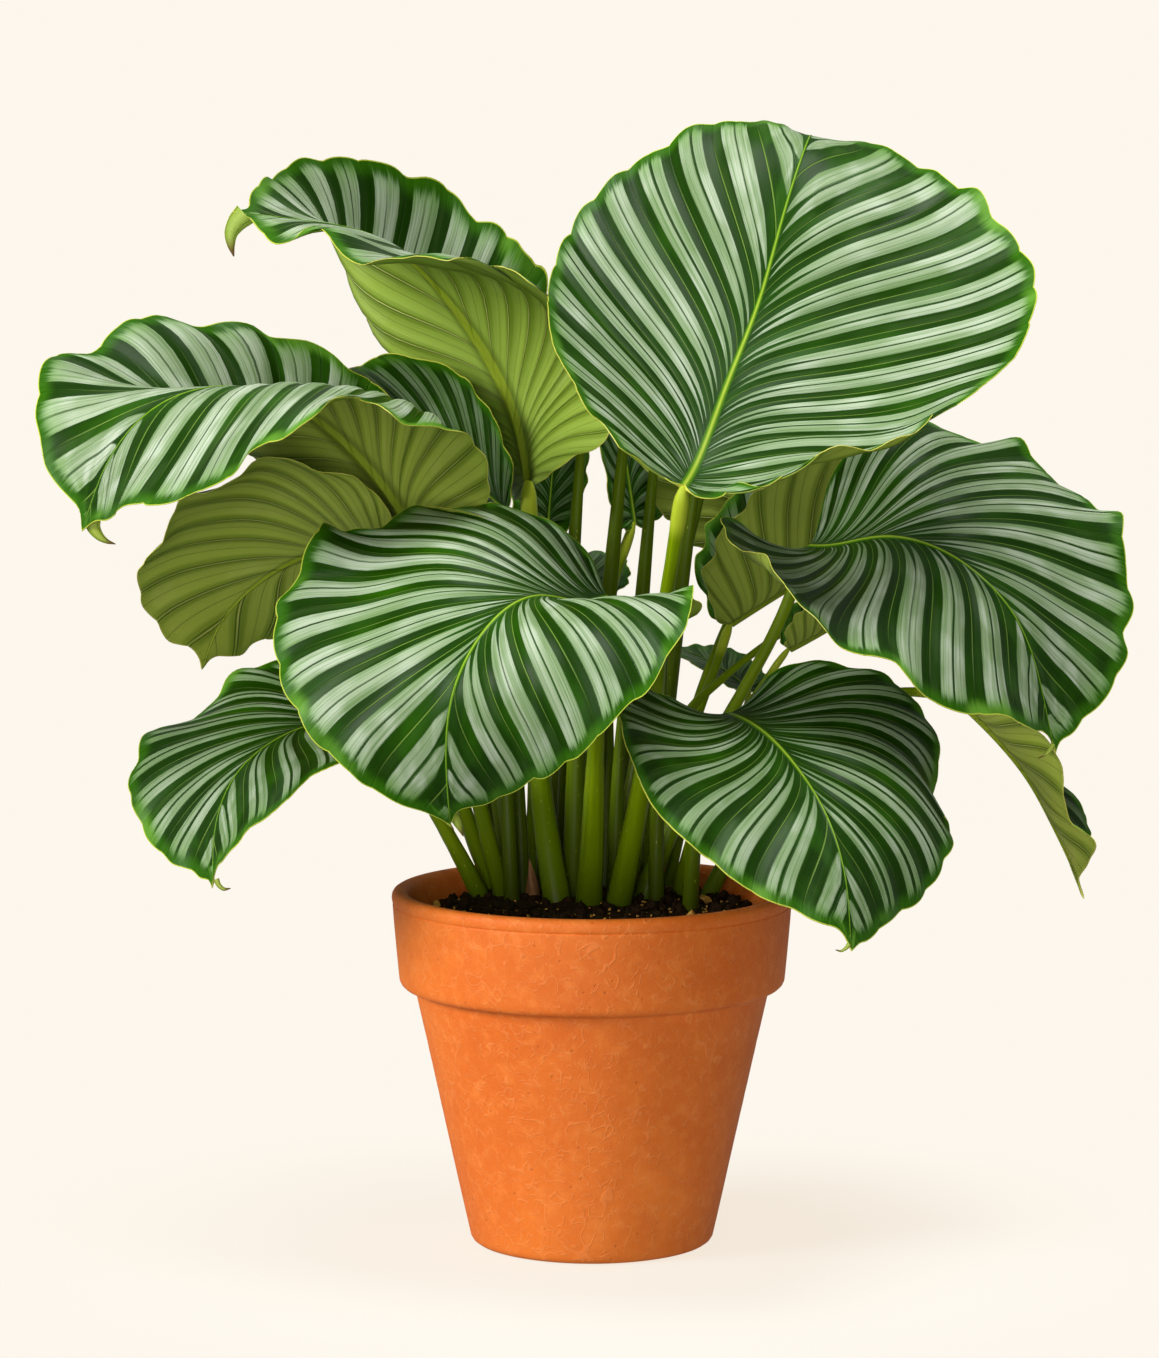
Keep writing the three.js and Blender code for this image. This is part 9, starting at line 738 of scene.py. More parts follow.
        0.067, 0.37, 0.079, 0.39, 0.112, 0.393, 0.154, 0.418, 0.182, 0.436, 0.214, 0.453, 0.247, 0.47, 0.281, 0.456, 0.321, 0.457, 0.357, 0.482,
        0.393, 0.477, 0.43, 0.469, 0.467, 0.462, 0.503, 0.446, 0.537, 0.454, 0.577, 0.452, 0.615, 0.417, 0.641, 0.401, 0.674, 0.39, 0.709, 0.37,
        0.741, 0.357, 0.777, 0.322, 0.797, 0.286, 0.812, 0.273, 0.852, 0.248, 0.88, 0.213, 0.894, 0.183, 0.915, 0.147, 0.925, 0.119, 0.949, 0.093,
        0.981, 0.052, 0.982, 0.018, 0.997, 0, 1.03,
    ],
    "left": [
        0, 0, -0.031, -0.021, -0.068, -0.027, -0.104, -0.03, -0.141, -0.034, -0.177, -0.03, -0.218, -0.033, -0.248, -0.007, -0.27, 0.026, -0.31,
        0.033, -0.342, 0.054, -0.362, 0.087, -0.385, 0.116, -0.393, 0.154, -0.416, 0.183, -0.451, 0.208, -0.451, 0.248, -0.449, 0.286, -0.463, 0.32,
        -0.467, 0.356, -0.481, 0.393, -0.48, 0.43, -0.454, 0.465, -0.458, 0.502, -0.467, 0.542, -0.451, 0.576, -0.44, 0.611, -0.418, 0.642, -0.398,
        0.672, -0.4, 0.716, -0.378, 0.746, -0.34, 0.764, -0.32, 0.795, -0.296, 0.822, -0.273, 0.851, -0.251, 0.883, -0.208, 0.888, -0.176, 0.904,
        -0.156, 0.941, -0.123, 0.957, -0.088, 0.97, -0.052, 0.982, -0.018, 0.997, 0, 1.03,
    ],
    "stalk": [
        26.6, 74, 165, 28.9, 76, 181.6, 31.1, 77.8, 198.1, 34.1, 79.5, 214.6, 39.1, 81.8, 230.5, 43.5, 81.6, 246.9, 53, 80.1, 260.9, 65.5, 84.9,
        271.7, 78.2, 90.2, 281.8, 91.4, 94.5, 291.2, 104.9, 98.7, 300.3, 117.9, 102.8, 310.2, 129.3, 106.8, 322, 138.8, 110.5, 335.4,
    ],
    'tone': 1.0,
},
{
    "id": '20', "length": 113.4, "stalkRadius": 3.8,
    "net": [
        -13.3, 144.4, 218, 2.6, 158.4, 239.1, 22.9, 176.3, 250, 44.6, 195.3, 253.4, 66.1, 214.3, 248.2, 85.7, 231.5, 235.2, 101.5, 245.4, 215.1,
        112.8, 255.4, 190.2, 116.1, 258.2, 160.7, 3.2, 126.4, 219.1, 19.9, 141.1, 236.5, 39.5, 158.3, 247.7, 60.6, 177, 250.8, 81.6, 195.4, 245.8,
        100.7, 212.2, 233.1, 116.2, 225.9, 213.7, 126.9, 235.3, 189.1, 132.4, 240.1, 161.8, 23, 111.3, 214.4, 38.4, 124.9, 231.2, 56.8, 141.1, 241.6,
        76.6, 158.5, 244.5, 96.2, 175.8, 239.9, 114.1, 191.5, 227.9, 128.6, 204.3, 209.7, 138.7, 213.1, 186.8, 143.5, 217.3, 161, 41.3, 94.9, 211.8,
        56.1, 108, 227.6, 73.7, 123.4, 237.6, 92.6, 140.1, 240.4, 111.4, 156.6, 235.9, 128.4, 171.6, 224.5, 142.3, 183.8, 207.2, 151.9, 192.3, 185.2,
        156.7, 196.5, 160.7, 61.8, 80.5, 206.4, 75.3, 92.3, 221.1, 91.3, 106.4, 230.1, 108.6, 121.6, 232.7, 125.7, 136.7, 228.6, 141.2, 150.4, 218.2,
        153.9, 161.5, 202.4, 162.7, 169.2, 182.3, 166.9, 172.9, 159.9, 73.6, 58.3, 211.8, 88.4, 71.4, 227.6, 105.9, 86.8, 237.6, 124.9, 103.5, 240.4,
        143.6, 120, 235.9, 160.7, 135, 224.5, 174.6, 147.2, 207.2, 184.1, 155.6, 185.2, 188.9, 159.8, 160.7, 87.5, 38, 214.4, 102.9, 51.6, 231.2,
        121.3, 67.8, 241.6, 141.1, 85.2, 244.5, 160.7, 102.5, 239.9, 178.6, 118.2, 227.9, 193.1, 131, 209.7, 203.2, 139.8, 186.8, 207.9, 144.1, 161,
        99.9, 16.5, 219.1, 116.6, 31.2, 236.5, 136.2, 48.4, 247.7, 157.4, 67.1, 250.8, 178.3, 85.5, 245.8, 197.4, 102.3, 233.1, 212.9, 116, 213.7,
        223.6, 125.3, 189.1, 229.1, 130.2, 161.8, 115.7, -2.1, 218, 131.6, 11.9, 239.1, 151.9, 29.7, 250, 173.5, 48.8, 253.4, 195, 67.7, 248.2, 214.6,
        84.9, 235.2, 230.4, 98.8, 215.1, 241.8, 108.8, 190.2, 245, 111.7, 160.7,
    ],
    "right": [
        0, 0, 0.035, -0.017, 0.07, -0.035, 0.109, -0.039, 0.147, -0.02, 0.186, -0.029, 0.227, -0.03, 0.261, -0.008, 0.295, 0.01, 0.318, 0.042, 0.346,
        0.067, 0.389, 0.078, 0.407, 0.113, 0.415, 0.153, 0.439, 0.182, 0.455, 0.215, 0.477, 0.246, 0.493, 0.281, 0.477, 0.322, 0.483, 0.357, 0.504,
        0.393, 0.499, 0.43, 0.495, 0.467, 0.484, 0.503, 0.467, 0.537, 0.479, 0.577, 0.472, 0.615, 0.438, 0.641, 0.424, 0.675, 0.407, 0.708, 0.389,
        0.741, 0.375, 0.778, 0.337, 0.795, 0.302, 0.812, 0.287, 0.853, 0.259, 0.878, 0.225, 0.896, 0.192, 0.916, 0.153, 0.923, 0.126, 0.951, 0.097,
        0.981, 0.054, 0.981, 0.02, 0.998, 0, 1.03,
    ],
    "left": [
        0, 0, -0.035, -0.016, -0.071, -0.028, -0.109, -0.033, -0.148, -0.044, -0.188, -0.04, -0.219, -0.007, -0.257, -0.001, -0.298, 0.005, -0.326,
        0.032, -0.355, 0.057, -0.373, 0.092, -0.392, 0.124, -0.433, 0.142, -0.45, 0.176, -0.45, 0.217, -0.468, 0.25, -0.478, 0.285, -0.492, 0.319,
        -0.507, 0.355, -0.487, 0.393, -0.482, 0.429, -0.499, 0.467, -0.492, 0.504, -0.484, 0.54, -0.47, 0.575, -0.446, 0.605, -0.448, 0.646, -0.442,
        0.685, -0.405, 0.707, -0.383, 0.736, -0.363, 0.768, -0.339, 0.796, -0.322, 0.834, -0.285, 0.849, -0.244, 0.859, -0.225, 0.895, -0.196, 0.921,
        -0.161, 0.936, -0.127, 0.954, -0.087, 0.958, -0.054, 0.979, -0.024, 1.003, 0, 1.03,
    ],
    "stalk": [
        12.6, 75, 165, 15.2, 76.7, 172.7, 17.9, 78.5, 180.4, 20.9, 80.8, 187.8, 24.4, 83.6, 194.9, 29, 86.1, 201.3, 35.1, 87.4, 206.8, 42.3, 88.8,
        210.7, 50.4, 89.3, 212.8, 58.6, 89.3, 213.8, 66.8, 90.5, 214.6, 74.1, 94.1, 216.4, 80, 97.4, 221.1, 84.2, 100.1, 227.8,
    ],
    'tone': 1.0,
},
{
    "id": '21', "length": 138, "stalkRadius": 4,
    "net": [
        -92.7, -56.2, 246.8, -113.2, -38.2, 267.4, -137, -17.2, 278.6, -162, 4.7, 283.3, -187.1, 26.9, 280.5, -211.3, 48.1, 270.8, -233.2, 67.4,
        254.1, -252.2, 84.2, 232.1, -265.5, 95.9, 202.9, -73.7, -33.4, 247.1, -94.7, -14.9, 264.3, -117.9, 5.5, 275.8, -142.4, 27.1, 280.2, -167.1,
        48.8, 277.6, -190.7, 69.6, 267.9, -212.3, 88.6, 251.8, -230.7, 104.8, 229.7, -245.5, 117.8, 203.4, -57.8, -7.8, 240.7, -77.6, 9.6, 257.5,
        -99.7, 29, 268.4, -122.9, 49.5, 272.6, -146.4, 70.1, 270.1, -168.9, 89.9, 260.9, -189.3, 108, 245.6, -206.9, 123.4, 224.7, -220.6, 135.5,
        199.3, -40.4, 16.5, 237.1, -59.6, 33.4, 253, -80.9, 52.1, 263.5, -103.4, 71.9, 267.6, -126.1, 91.8, 265.2, -147.8, 110.9, 256.3, -167.6,
        128.3, 241.5, -184.4, 143.2, 221.3, -197.9, 155.1, 197, -25.3, 42.7, 229.6, -43.1, 58.4, 244.7, -63, 75.9, 254.5, -84, 94.4, 258.3, -105.1,
        113, 256, -125.4, 130.8, 247.8, -143.9, 147, 233.9, -159.6, 160.9, 215.1, -172.1, 171.9, 192.3, -1.2, 61, 237.1, -20.4, 78, 253, -41.7, 96.7,
        263.5, -64.2, 116.5, 267.6, -86.8, 136.4, 265.2, -108.5, 155.5, 256.3, -128.3, 172.9, 241.5, -145.2, 187.8, 221.3, -158.7, 199.6, 197, 20.7,
        81.3, 240.7, 0.9, 98.8, 257.5, -21.2, 118.2, 268.4, -44.5, 138.7, 272.6, -67.9, 159.3, 270.1, -90.4, 179.1, 260.9, -110.9, 197.1, 245.6,
        -128.4, 212.5, 224.7, -142.2, 224.7, 199.3, 44.1, 100.4, 247.1, 23, 118.9, 264.3, -0.2, 139.3, 275.8, -24.7, 160.9, 280.2, -49.4, 182.6,
        277.6, -73, 203.4, 267.9, -94.6, 222.4, 251.8, -113, 238.5, 229.7, -127.8, 251.6, 203.4, 64.2, 122.2, 246.8, 43.8, 140.2, 267.4, 20, 161.1,
        278.6, -5, 183.1, 283.3, -30.2, 205.2, 280.5, -54.3, 226.5, 270.8, -76.2, 245.8, 254.1, -95.3, 262.5, 232.1, -108.6, 274.2, 202.9,
    ],
    "right": [
        0, 0, 0.035, -0.016, 0.071, -0.029, 0.109, -0.036, 0.149, -0.047, 0.187, -0.031, 0.219, -0.005, 0.261, -0.009, 0.298, 0.004, 0.324, 0.034,
        0.353, 0.059, 0.37, 0.095, 0.399, 0.12, 0.437, 0.139, 0.443, 0.18, 0.448, 0.218, 0.47, 0.249, 0.48, 0.284, 0.497, 0.318, 0.501, 0.356, 0.48,
        0.393, 0.489, 0.43, 0.503, 0.468, 0.49, 0.504, 0.481, 0.54, 0.465, 0.573, 0.45, 0.606, 0.457, 0.65, 0.437, 0.682, 0.4, 0.703, 0.385, 0.738,
        0.364, 0.769, 0.342, 0.8, 0.321, 0.833, 0.278, 0.842, 0.247, 0.862, 0.229, 0.902, 0.195, 0.92, 0.16, 0.935, 0.125, 0.95, 0.087, 0.958, 0.056,
        0.985, 0.024, 1.003, 0, 1.03,
    ],
    "left": [
        0, 0, -0.033, -0.021, -0.071, -0.028, -0.109, -0.033, -0.148, -0.03, -0.186, -0.027, -0.229, -0.035, -0.261, -0.009, -0.285, 0.025, -0.324,
        0.035, -0.355, 0.057, -0.382, 0.085, -0.407, 0.114, -0.412, 0.155, -0.435, 0.184, -0.472, 0.208, -0.474, 0.247, -0.476, 0.285, -0.485, 0.32,
        -0.486, 0.357, -0.505, 0.393, -0.506, 0.43, -0.479, 0.465, -0.481, 0.502, -0.486, 0.541, -0.474, 0.576, -0.467, 0.613, -0.439, 0.642, -0.416,
        0.671, -0.418, 0.715, -0.396, 0.746, -0.361, 0.766, -0.337, 0.795, -0.308, 0.818, -0.286, 0.851, -0.264, 0.885, -0.22, 0.889, -0.185, 0.904,
        -0.162, 0.938, -0.127, 0.955, -0.093, 0.973, -0.055, 0.983, -0.019, 0.996, 0, 1.03,
    ],
    "stalk": [
        -29.4, 72, 165, -30.2, 73.7, 172, -31.2, 75.5, 178.9, -32.7, 77.4, 185.7, -34.8, 78.8, 192.5, -37.3, 78.8, 199.2, -38.6, 76.5, 205.9, -39,
        74.3, 212.7, -40.7, 72.7, 219.5, -43.5, 71.5, 226.1, -46.8, 70.6, 232.5, -49.9, 70.3, 239, -52.6, 69.8, 245.7, -54.5, 68.5, 252.5,
    ],
    'tone': 1.0,
},
]

# Young shoots: radius at the soil, and the centreline's points.
SHOOTS = [
    (4.7, [-2.55, 43.58, 165.3, -0.05, 50.79, 215.33, 3.74, 58, 265.35, 8.22, 65.21, 315.38, 13.09, 72.43, 365.4, 18.16, 79.64, 415.43, 21.99, 85.05, 452.95]),
    (4.77, [15.64, 64.61, 165.3, 18, 70.71, 210.18, 21.15, 76.81, 255.06, 24.67, 82.91, 299.94, 28.52, 89, 344.83, 32.75, 95.1, 389.71, 36.22, 99.67, 423.37]),
    (4.68, [28.96, 47.57, 165.3, 32.29, 46.11, 209.15, 36.82, 44.65, 252.99, 41.91, 43.18, 296.84, 47.44, 41.72, 340.69, 53.44, 40.26, 384.53, 58.29, 39.16, 417.42]),
    (4.67, [14.62, 41.85, 165.3, 19.09, 48.88, 204.76, 26, 55.92, 244.23, 34.35, 62.96, 283.69, 43.89, 69.99, 323.16, 54.39, 77.03, 362.62, 62.79, 82.31, 392.22]),
    (4.76, [-19.65, 60.29, 165.3, -17.5, 65.5, 211.4, -14.73, 70.7, 257.5, -11.76, 75.91, 303.61, -8.65, 81.12, 349.71, -5.33, 86.33, 395.81, -2.65, 90.24, 430.39]),
    (3.58, [-50.89, 62.22, 165.3, -51.9, 64.09, 180, -53.1, 65.96, 194.71, -54.32, 67.83, 209.41, -55.63, 69.7, 224.12, -57.12, 71.57, 238.82, -58.42, 72.98, 249.85]),
    (3.79, [-40.44, 30.23, 165.3, -41.52, 29.99, 190.72, -42.77, 29.74, 216.13, -43.97, 29.5, 241.55, -45.01, 29.25, 266.96, -45.88, 29.01, 292.38, -46.45, 28.83, 311.44]),
    (3.73, [-35.21, 45.14, 165.3, -35.97, 46.67, 187.88, -36.96, 48.2, 210.46, -37.96, 49.72, 233.04, -38.83, 51.25, 255.62, -39.49, 52.78, 278.2, -39.85, 53.93, 295.13]),
    (5.31, [-8.93, 32.91, 165.3, -8.47, 31.31, 193.22, -8.01, 29.71, 221.13, -7.55, 28.11, 249.05, -7.09, 26.51, 276.97, -6.63, 24.91, 304.88, -6.29, 23.71, 325.82]),
    (3.77, [-23.74, 48.75, 165.3, -24.41, 50.31, 181.89, -25, 51.87, 198.47, -25.39, 53.43, 215.06, -25.58, 54.98, 231.64, -25.64, 56.54, 248.23, -25.69, 57.71, 260.67]),
    (3.71, [11.74, 27.34, 165.3, 11.73, 27.23, 186.26, 12.13, 27.12, 207.23, 12.89, 27.01, 228.19, 13.97, 26.9, 249.16, 15.28, 26.79, 270.12, 16.33, 26.71, 285.84]),
    (3.76, [32.31, 24, 165.3, 32.34, 23.78, 188.18, 32.77, 23.56, 211.07, 33.58, 23.34, 233.95, 34.72, 23.12, 256.84, 36.11, 22.9, 279.72, 37.24, 22.73, 296.88]),
    (4.6, [6.64, 53.08, 165.3, 7.01, 55.96, 186.65, 7.39, 58.85, 208, 7.76, 61.73, 229.35, 8.13, 64.61, 250.7, 8.5, 67.5, 272.05, 8.78, 69.66, 288.06]),
    (3.79, [49.03, -3.68, 165.3, 49.63, -5.36, 182.11, 50.45, -7.04, 198.93, 51.45, -8.72, 215.74, 52.71, -10.4, 232.56, 54.29, -12.08, 249.37, 55.73, -13.34, 261.98]),
]

NET_X = (-0.66, 0.66)
NET_Y = (-0.14, 1.10)
NET_N = 9
MM = 0.001

# ---------------------------------------------------------------- curves and surfaces


def basis(t, lo, hi, der=0):
    t = np.asarray(t, float)
    h = (hi - lo) / (NET_N - 3)
    q = (t - lo) / h
    k = np.clip(np.floor(q).astype(int), 0, NET_N - 4)
    w = q - k
    if der:
        c = [-((1 - w) ** 2) / 2 / h, (9 * w**2 - 12 * w) / 6 / h, (-9 * w**2 + 6 * w + 3) / 6 / h, w**2 / 2 / h]
    else:
        c = [(1 - w) ** 3 / 6, (3 * w**3 - 6 * w**2 + 4) / 6, (-3 * w**3 + 3 * w**2 + 3 * w + 1) / 6, w**3 / 6]
    return k, c


def surface(net, xy, dx=0, dy=0):
    """Points of the B-spline surface, or of its slope, at flat places xy."""
    kx, cx = basis(xy[:, 0], *NET_X, dx)
    ky, cy = basis(xy[:, 1], *NET_Y, dy)
    out = np.zeros((len(xy), 3))
    for i in range(4):
        for j in range(4):
            out += (cx[i] * cy[j])[:, None] * net[kx + i, ky + j]
    return out


def through(points, t):
    """Catmull-Rom curve through points, at shares t of its run."""
    p = np.vstack([2 * points[0] - points[1], points, 2 * points[-1] - points[-2]])
    q = np.asarray(t) * (len(points) - 1)
    k = np.clip(q.astype(int), 0, len(points) - 2)
    w = (q - k)[:, None]
    a, b, c, d = p[k], p[k + 1], p[k + 2], p[k + 3]
    return 0.5 * (2 * b + (c - a) * w + (2 * a - 5 * b + 4 * c - d) * w**2 + (3 * b - a - 3 * c + d) * w**3)


def step(lo, hi, x):
    t = np.clip((np.asarray(x) - lo) / (hi - lo), 0, 1)
    return t * t * (3 - 2 * t)


def waves(x, seed, count=5, low=0.6, high=3.0):
    """Smooth noise of one or more columns of x, about -1 to 1."""
    r = np.random.default_rng(seed)
    x = np.asarray(x, float)
    if x.ndim == 1:
        x = x[:, None]
    out = np.zeros(len(x))
    for _ in range(count):
        d = r.normal(size=x.shape[1])
        d *= r.uniform(low, high) / np.linalg.norm(d)
        out += np.sin(x @ d + r.uniform(0, 6.283)) * r.uniform(0.5, 1)
    return out / count * 1.6


# ---------------------------------------------------------------- meshes


def build(name, verts, tris, mats, mat_index=None, corner=None, uv=None, sharp=None):
    """A smooth mesh object in metres. corner maps an attribute's name to one vector for each triangle corner."""
    verts = np.asarray(verts, np.float32)
    tris = np.asarray(tris, np.int32)
    mesh = bpy.data.meshes.new(name)
    mesh.vertices.add(len(verts))
    mesh.vertices.foreach_set("co", verts.ravel())
    mesh.loops.add(len(tris) * 3)
    mesh.loops.foreach_set("vertex_index", tris.ravel())
    mesh.polygons.add(len(tris))
    mesh.polygons.foreach_set("loop_start", np.arange(0, len(tris) * 3, 3, dtype=np.int32))
    mesh.polygons.foreach_set("use_smooth", np.ones(len(tris), bool))
    for m in mats:
        mesh.materials.append(m)
    if mat_index is not None:
        mesh.polygons.foreach_set("material_index", np.asarray(mat_index, np.int32))
    mesh.update(calc_edges=True)
    for key, values in (corner or {}).items():
        a = mesh.attributes.new(key, "FLOAT_VECTOR", "CORNER")
        a.data.foreach_set("vector", np.asarray(values, np.float32).ravel())
    if uv is not None:
        layer = mesh.uv_layers.new(name="UVMap")
        layer.data.foreach_set("uv", np.asarray(uv, np.float32).ravel())
    if sharp:
        mesh.set_sharp_from_angle(angle=sharp)
    o = bpy.data.objects.new(name, mesh)
    bpy.context.scene.collection.objects.link(o)
    return o


def place(o, node):
    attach(o, "root")
    if node:
        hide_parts(node)
    return o


# ---------------------------------------------------------------- shader writing


class Val:
    """A shader number that ordinary arithmetic extends."""

    def __init__(self, tree, socket):
        self.tree = tree
        self.socket = socket

    def op(self, kind, *others, swap=False, clamp=False):
        n = self.tree.nodes.new("ShaderNodeMath")
        n.operation = kind
        n.use_clamp = clamp
        args = [self, *others]
        if swap:
            args.reverse()
        for i, a in enumerate(args):
            put(self.tree, a, n.inputs[i])
        return Val(self.tree, n.outputs[0])

    def __add__(self, o): return self.op("ADD", o)
    def __radd__(self, o): return self.op("ADD", o)
    def __sub__(self, o): return self.op("SUBTRACT", o)
    def __rsub__(self, o): return self.op("SUBTRACT", o, swap=True)
    def __mul__(self, o): return self.op("MULTIPLY", o)
    def __rmul__(self, o): return self.op("MULTIPLY", o)
    def __truediv__(self, o): return self.op("DIVIDE", o)
    def __rtruediv__(self, o): return self.op("DIVIDE", o, swap=True)
    def __pow__(self, o): return self.op("POWER", o)
    def frac(self): return self.op("FRACT")
    def floor(self): return self.op("FLOOR")
    def abs(self): return self.op("ABSOLUTE")
    def max(self, o): return self.op("MAXIMUM", o)
    def min(self, o): return self.op("MINIMUM", o)
    def clip(self): return self.op("ADD", 0.0, clamp=True)


def put(tree, value, socket):
    if isinstance(value, Val):
        tree.links.new(value.socket, socket)
    elif hasattr(value, "links"):
        tree.links.new(value, socket)
    elif isinstance(value, (tuple, list)):
        socket.default_value = tuple(value) if len(value) != 3 or len(socket.default_value) == 3 else (*value, 1)
    else:
        socket.default_value = value


def smooth(tree, lo, hi, x):
    n = tree.nodes.new("ShaderNodeMapRange")
    n.interpolation_type = "SMOOTHSTEP"
    put(tree, x, n.inputs["Value"])
    put(tree, lo, n.inputs["From Min"])
    put(tree, hi, n.inputs["From Max"])
    return Val(tree, n.outputs["Result"])


def attribute(tree, name):
    """The three numbers of a corner attribute."""
    n = tree.nodes.new("ShaderNodeAttribute")
    n.attribute_name = name
    s = tree.nodes.new("ShaderNodeSeparateXYZ")
    tree.links.new(n.outputs["Vector"], s.inputs[0])
    return [Val(tree, s.outputs[i]) for i in range(3)]


def vector(tree, x, y, z=0.0):
    n = tree.nodes.new("ShaderNodeCombineXYZ")
    for i, v in enumerate((x, y, z)):
        put(tree, v, n.inputs[i])
    return n.outputs[0]


def noise(tree, where, scale=1.0, detail=2.0, rough=0.5, distortion=0.0):
    n = tree.nodes.new("ShaderNodeTexNoise")
    put(tree, where, n.inputs["Vector"])
    n.inputs["Scale"].default_value = scale
    n.inputs["Detail"].default_value = detail
    n.inputs["Roughness"].default_value = rough
    n.inputs["Distortion"].default_value = distortion
    return Val(tree, n.outputs["Fac"])


def cells(tree, where, scale=1.0, feature="F1", randomness=1.0):
    n = tree.nodes.new("ShaderNodeTexVoronoi")
    n.feature = feature
    put(tree, where, n.inputs["Vector"])
    n.inputs["Scale"].default_value = scale
    n.inputs["Randomness"].default_value = randomness
    return Val(tree, n.outputs["Distance"])


def chance(tree, x):
    n = tree.nodes.new("ShaderNodeTexWhiteNoise")
    n.noise_dimensions = "1D"
    put(tree, x, n.inputs["W"])
    return Val(tree, n.outputs["Value"])


def blend(tree, share, a, b, kind="MIX"):
    n = tree.nodes.new("ShaderNodeMix")
    n.data_type = "RGBA"
    n.blend_type = kind
    put(tree, share, n.inputs["Factor"])
    put(tree, a, n.inputs[6])
    put(tree, b, n.inputs[7])
    return n.outputs[2]


def rgb(r, g, b):
    """Linear colour of an sRGB triple of 0 to 255."""
    return tuple(((c / 255 + 0.055) / 1.055) ** 2.4 if c > 10 else c / 255 / 12.92 for c in (r, g, b))


def material(name, viewport):
    m = bpy.data.materials.new(name)
    m.use_nodes = True
    m.diffuse_color = (*viewport, 1)
    tree = m.node_tree
    return m, tree, tree.nodes["Principled BSDF"]


def bump(tree, height, strength, distance, shader):
    n = tree.nodes.new("ShaderNodeBump")
    n.inputs["Strength"].default_value = strength
    n.inputs["Distance"].default_value = distance
    put(tree, height, n.inputs["Height"])
    tree.links.new(n.outputs[0], shader.inputs["Normal"])


def object_place(tree):
    return tree.nodes.new("ShaderNodeTexCoord").outputs["Object"]


def scaled(tree, where, x, y, z):
    n = tree.nodes.new("ShaderNodeVectorMath")
    n.operation = "MULTIPLY"
    tree.links.new(where, n.inputs[0])
    n.inputs[1].default_value = (x, y, z)
    return n.outputs[0]


# ---------------------------------------------------------------- leaf materials
# vein: x = band number and place in the band along the margin, y = 0 at the midrib to 1 at the margin, z = place along the leaf.
# edge: x = distance from the midrib over its half width, y = millimetres from the margin, z = the leaf's tone, whose
# whole-number part sets the painted shade of the small leaves behind.
# A band runs from one side vein to the next: dull green with a painted grey sheen, silver stripe, dark line, silver
# stripe, deep green.


def stripe(t, u, middle, half, taper, soft):
    return smooth(t, -soft, soft, half * taper - (u - middle).abs())


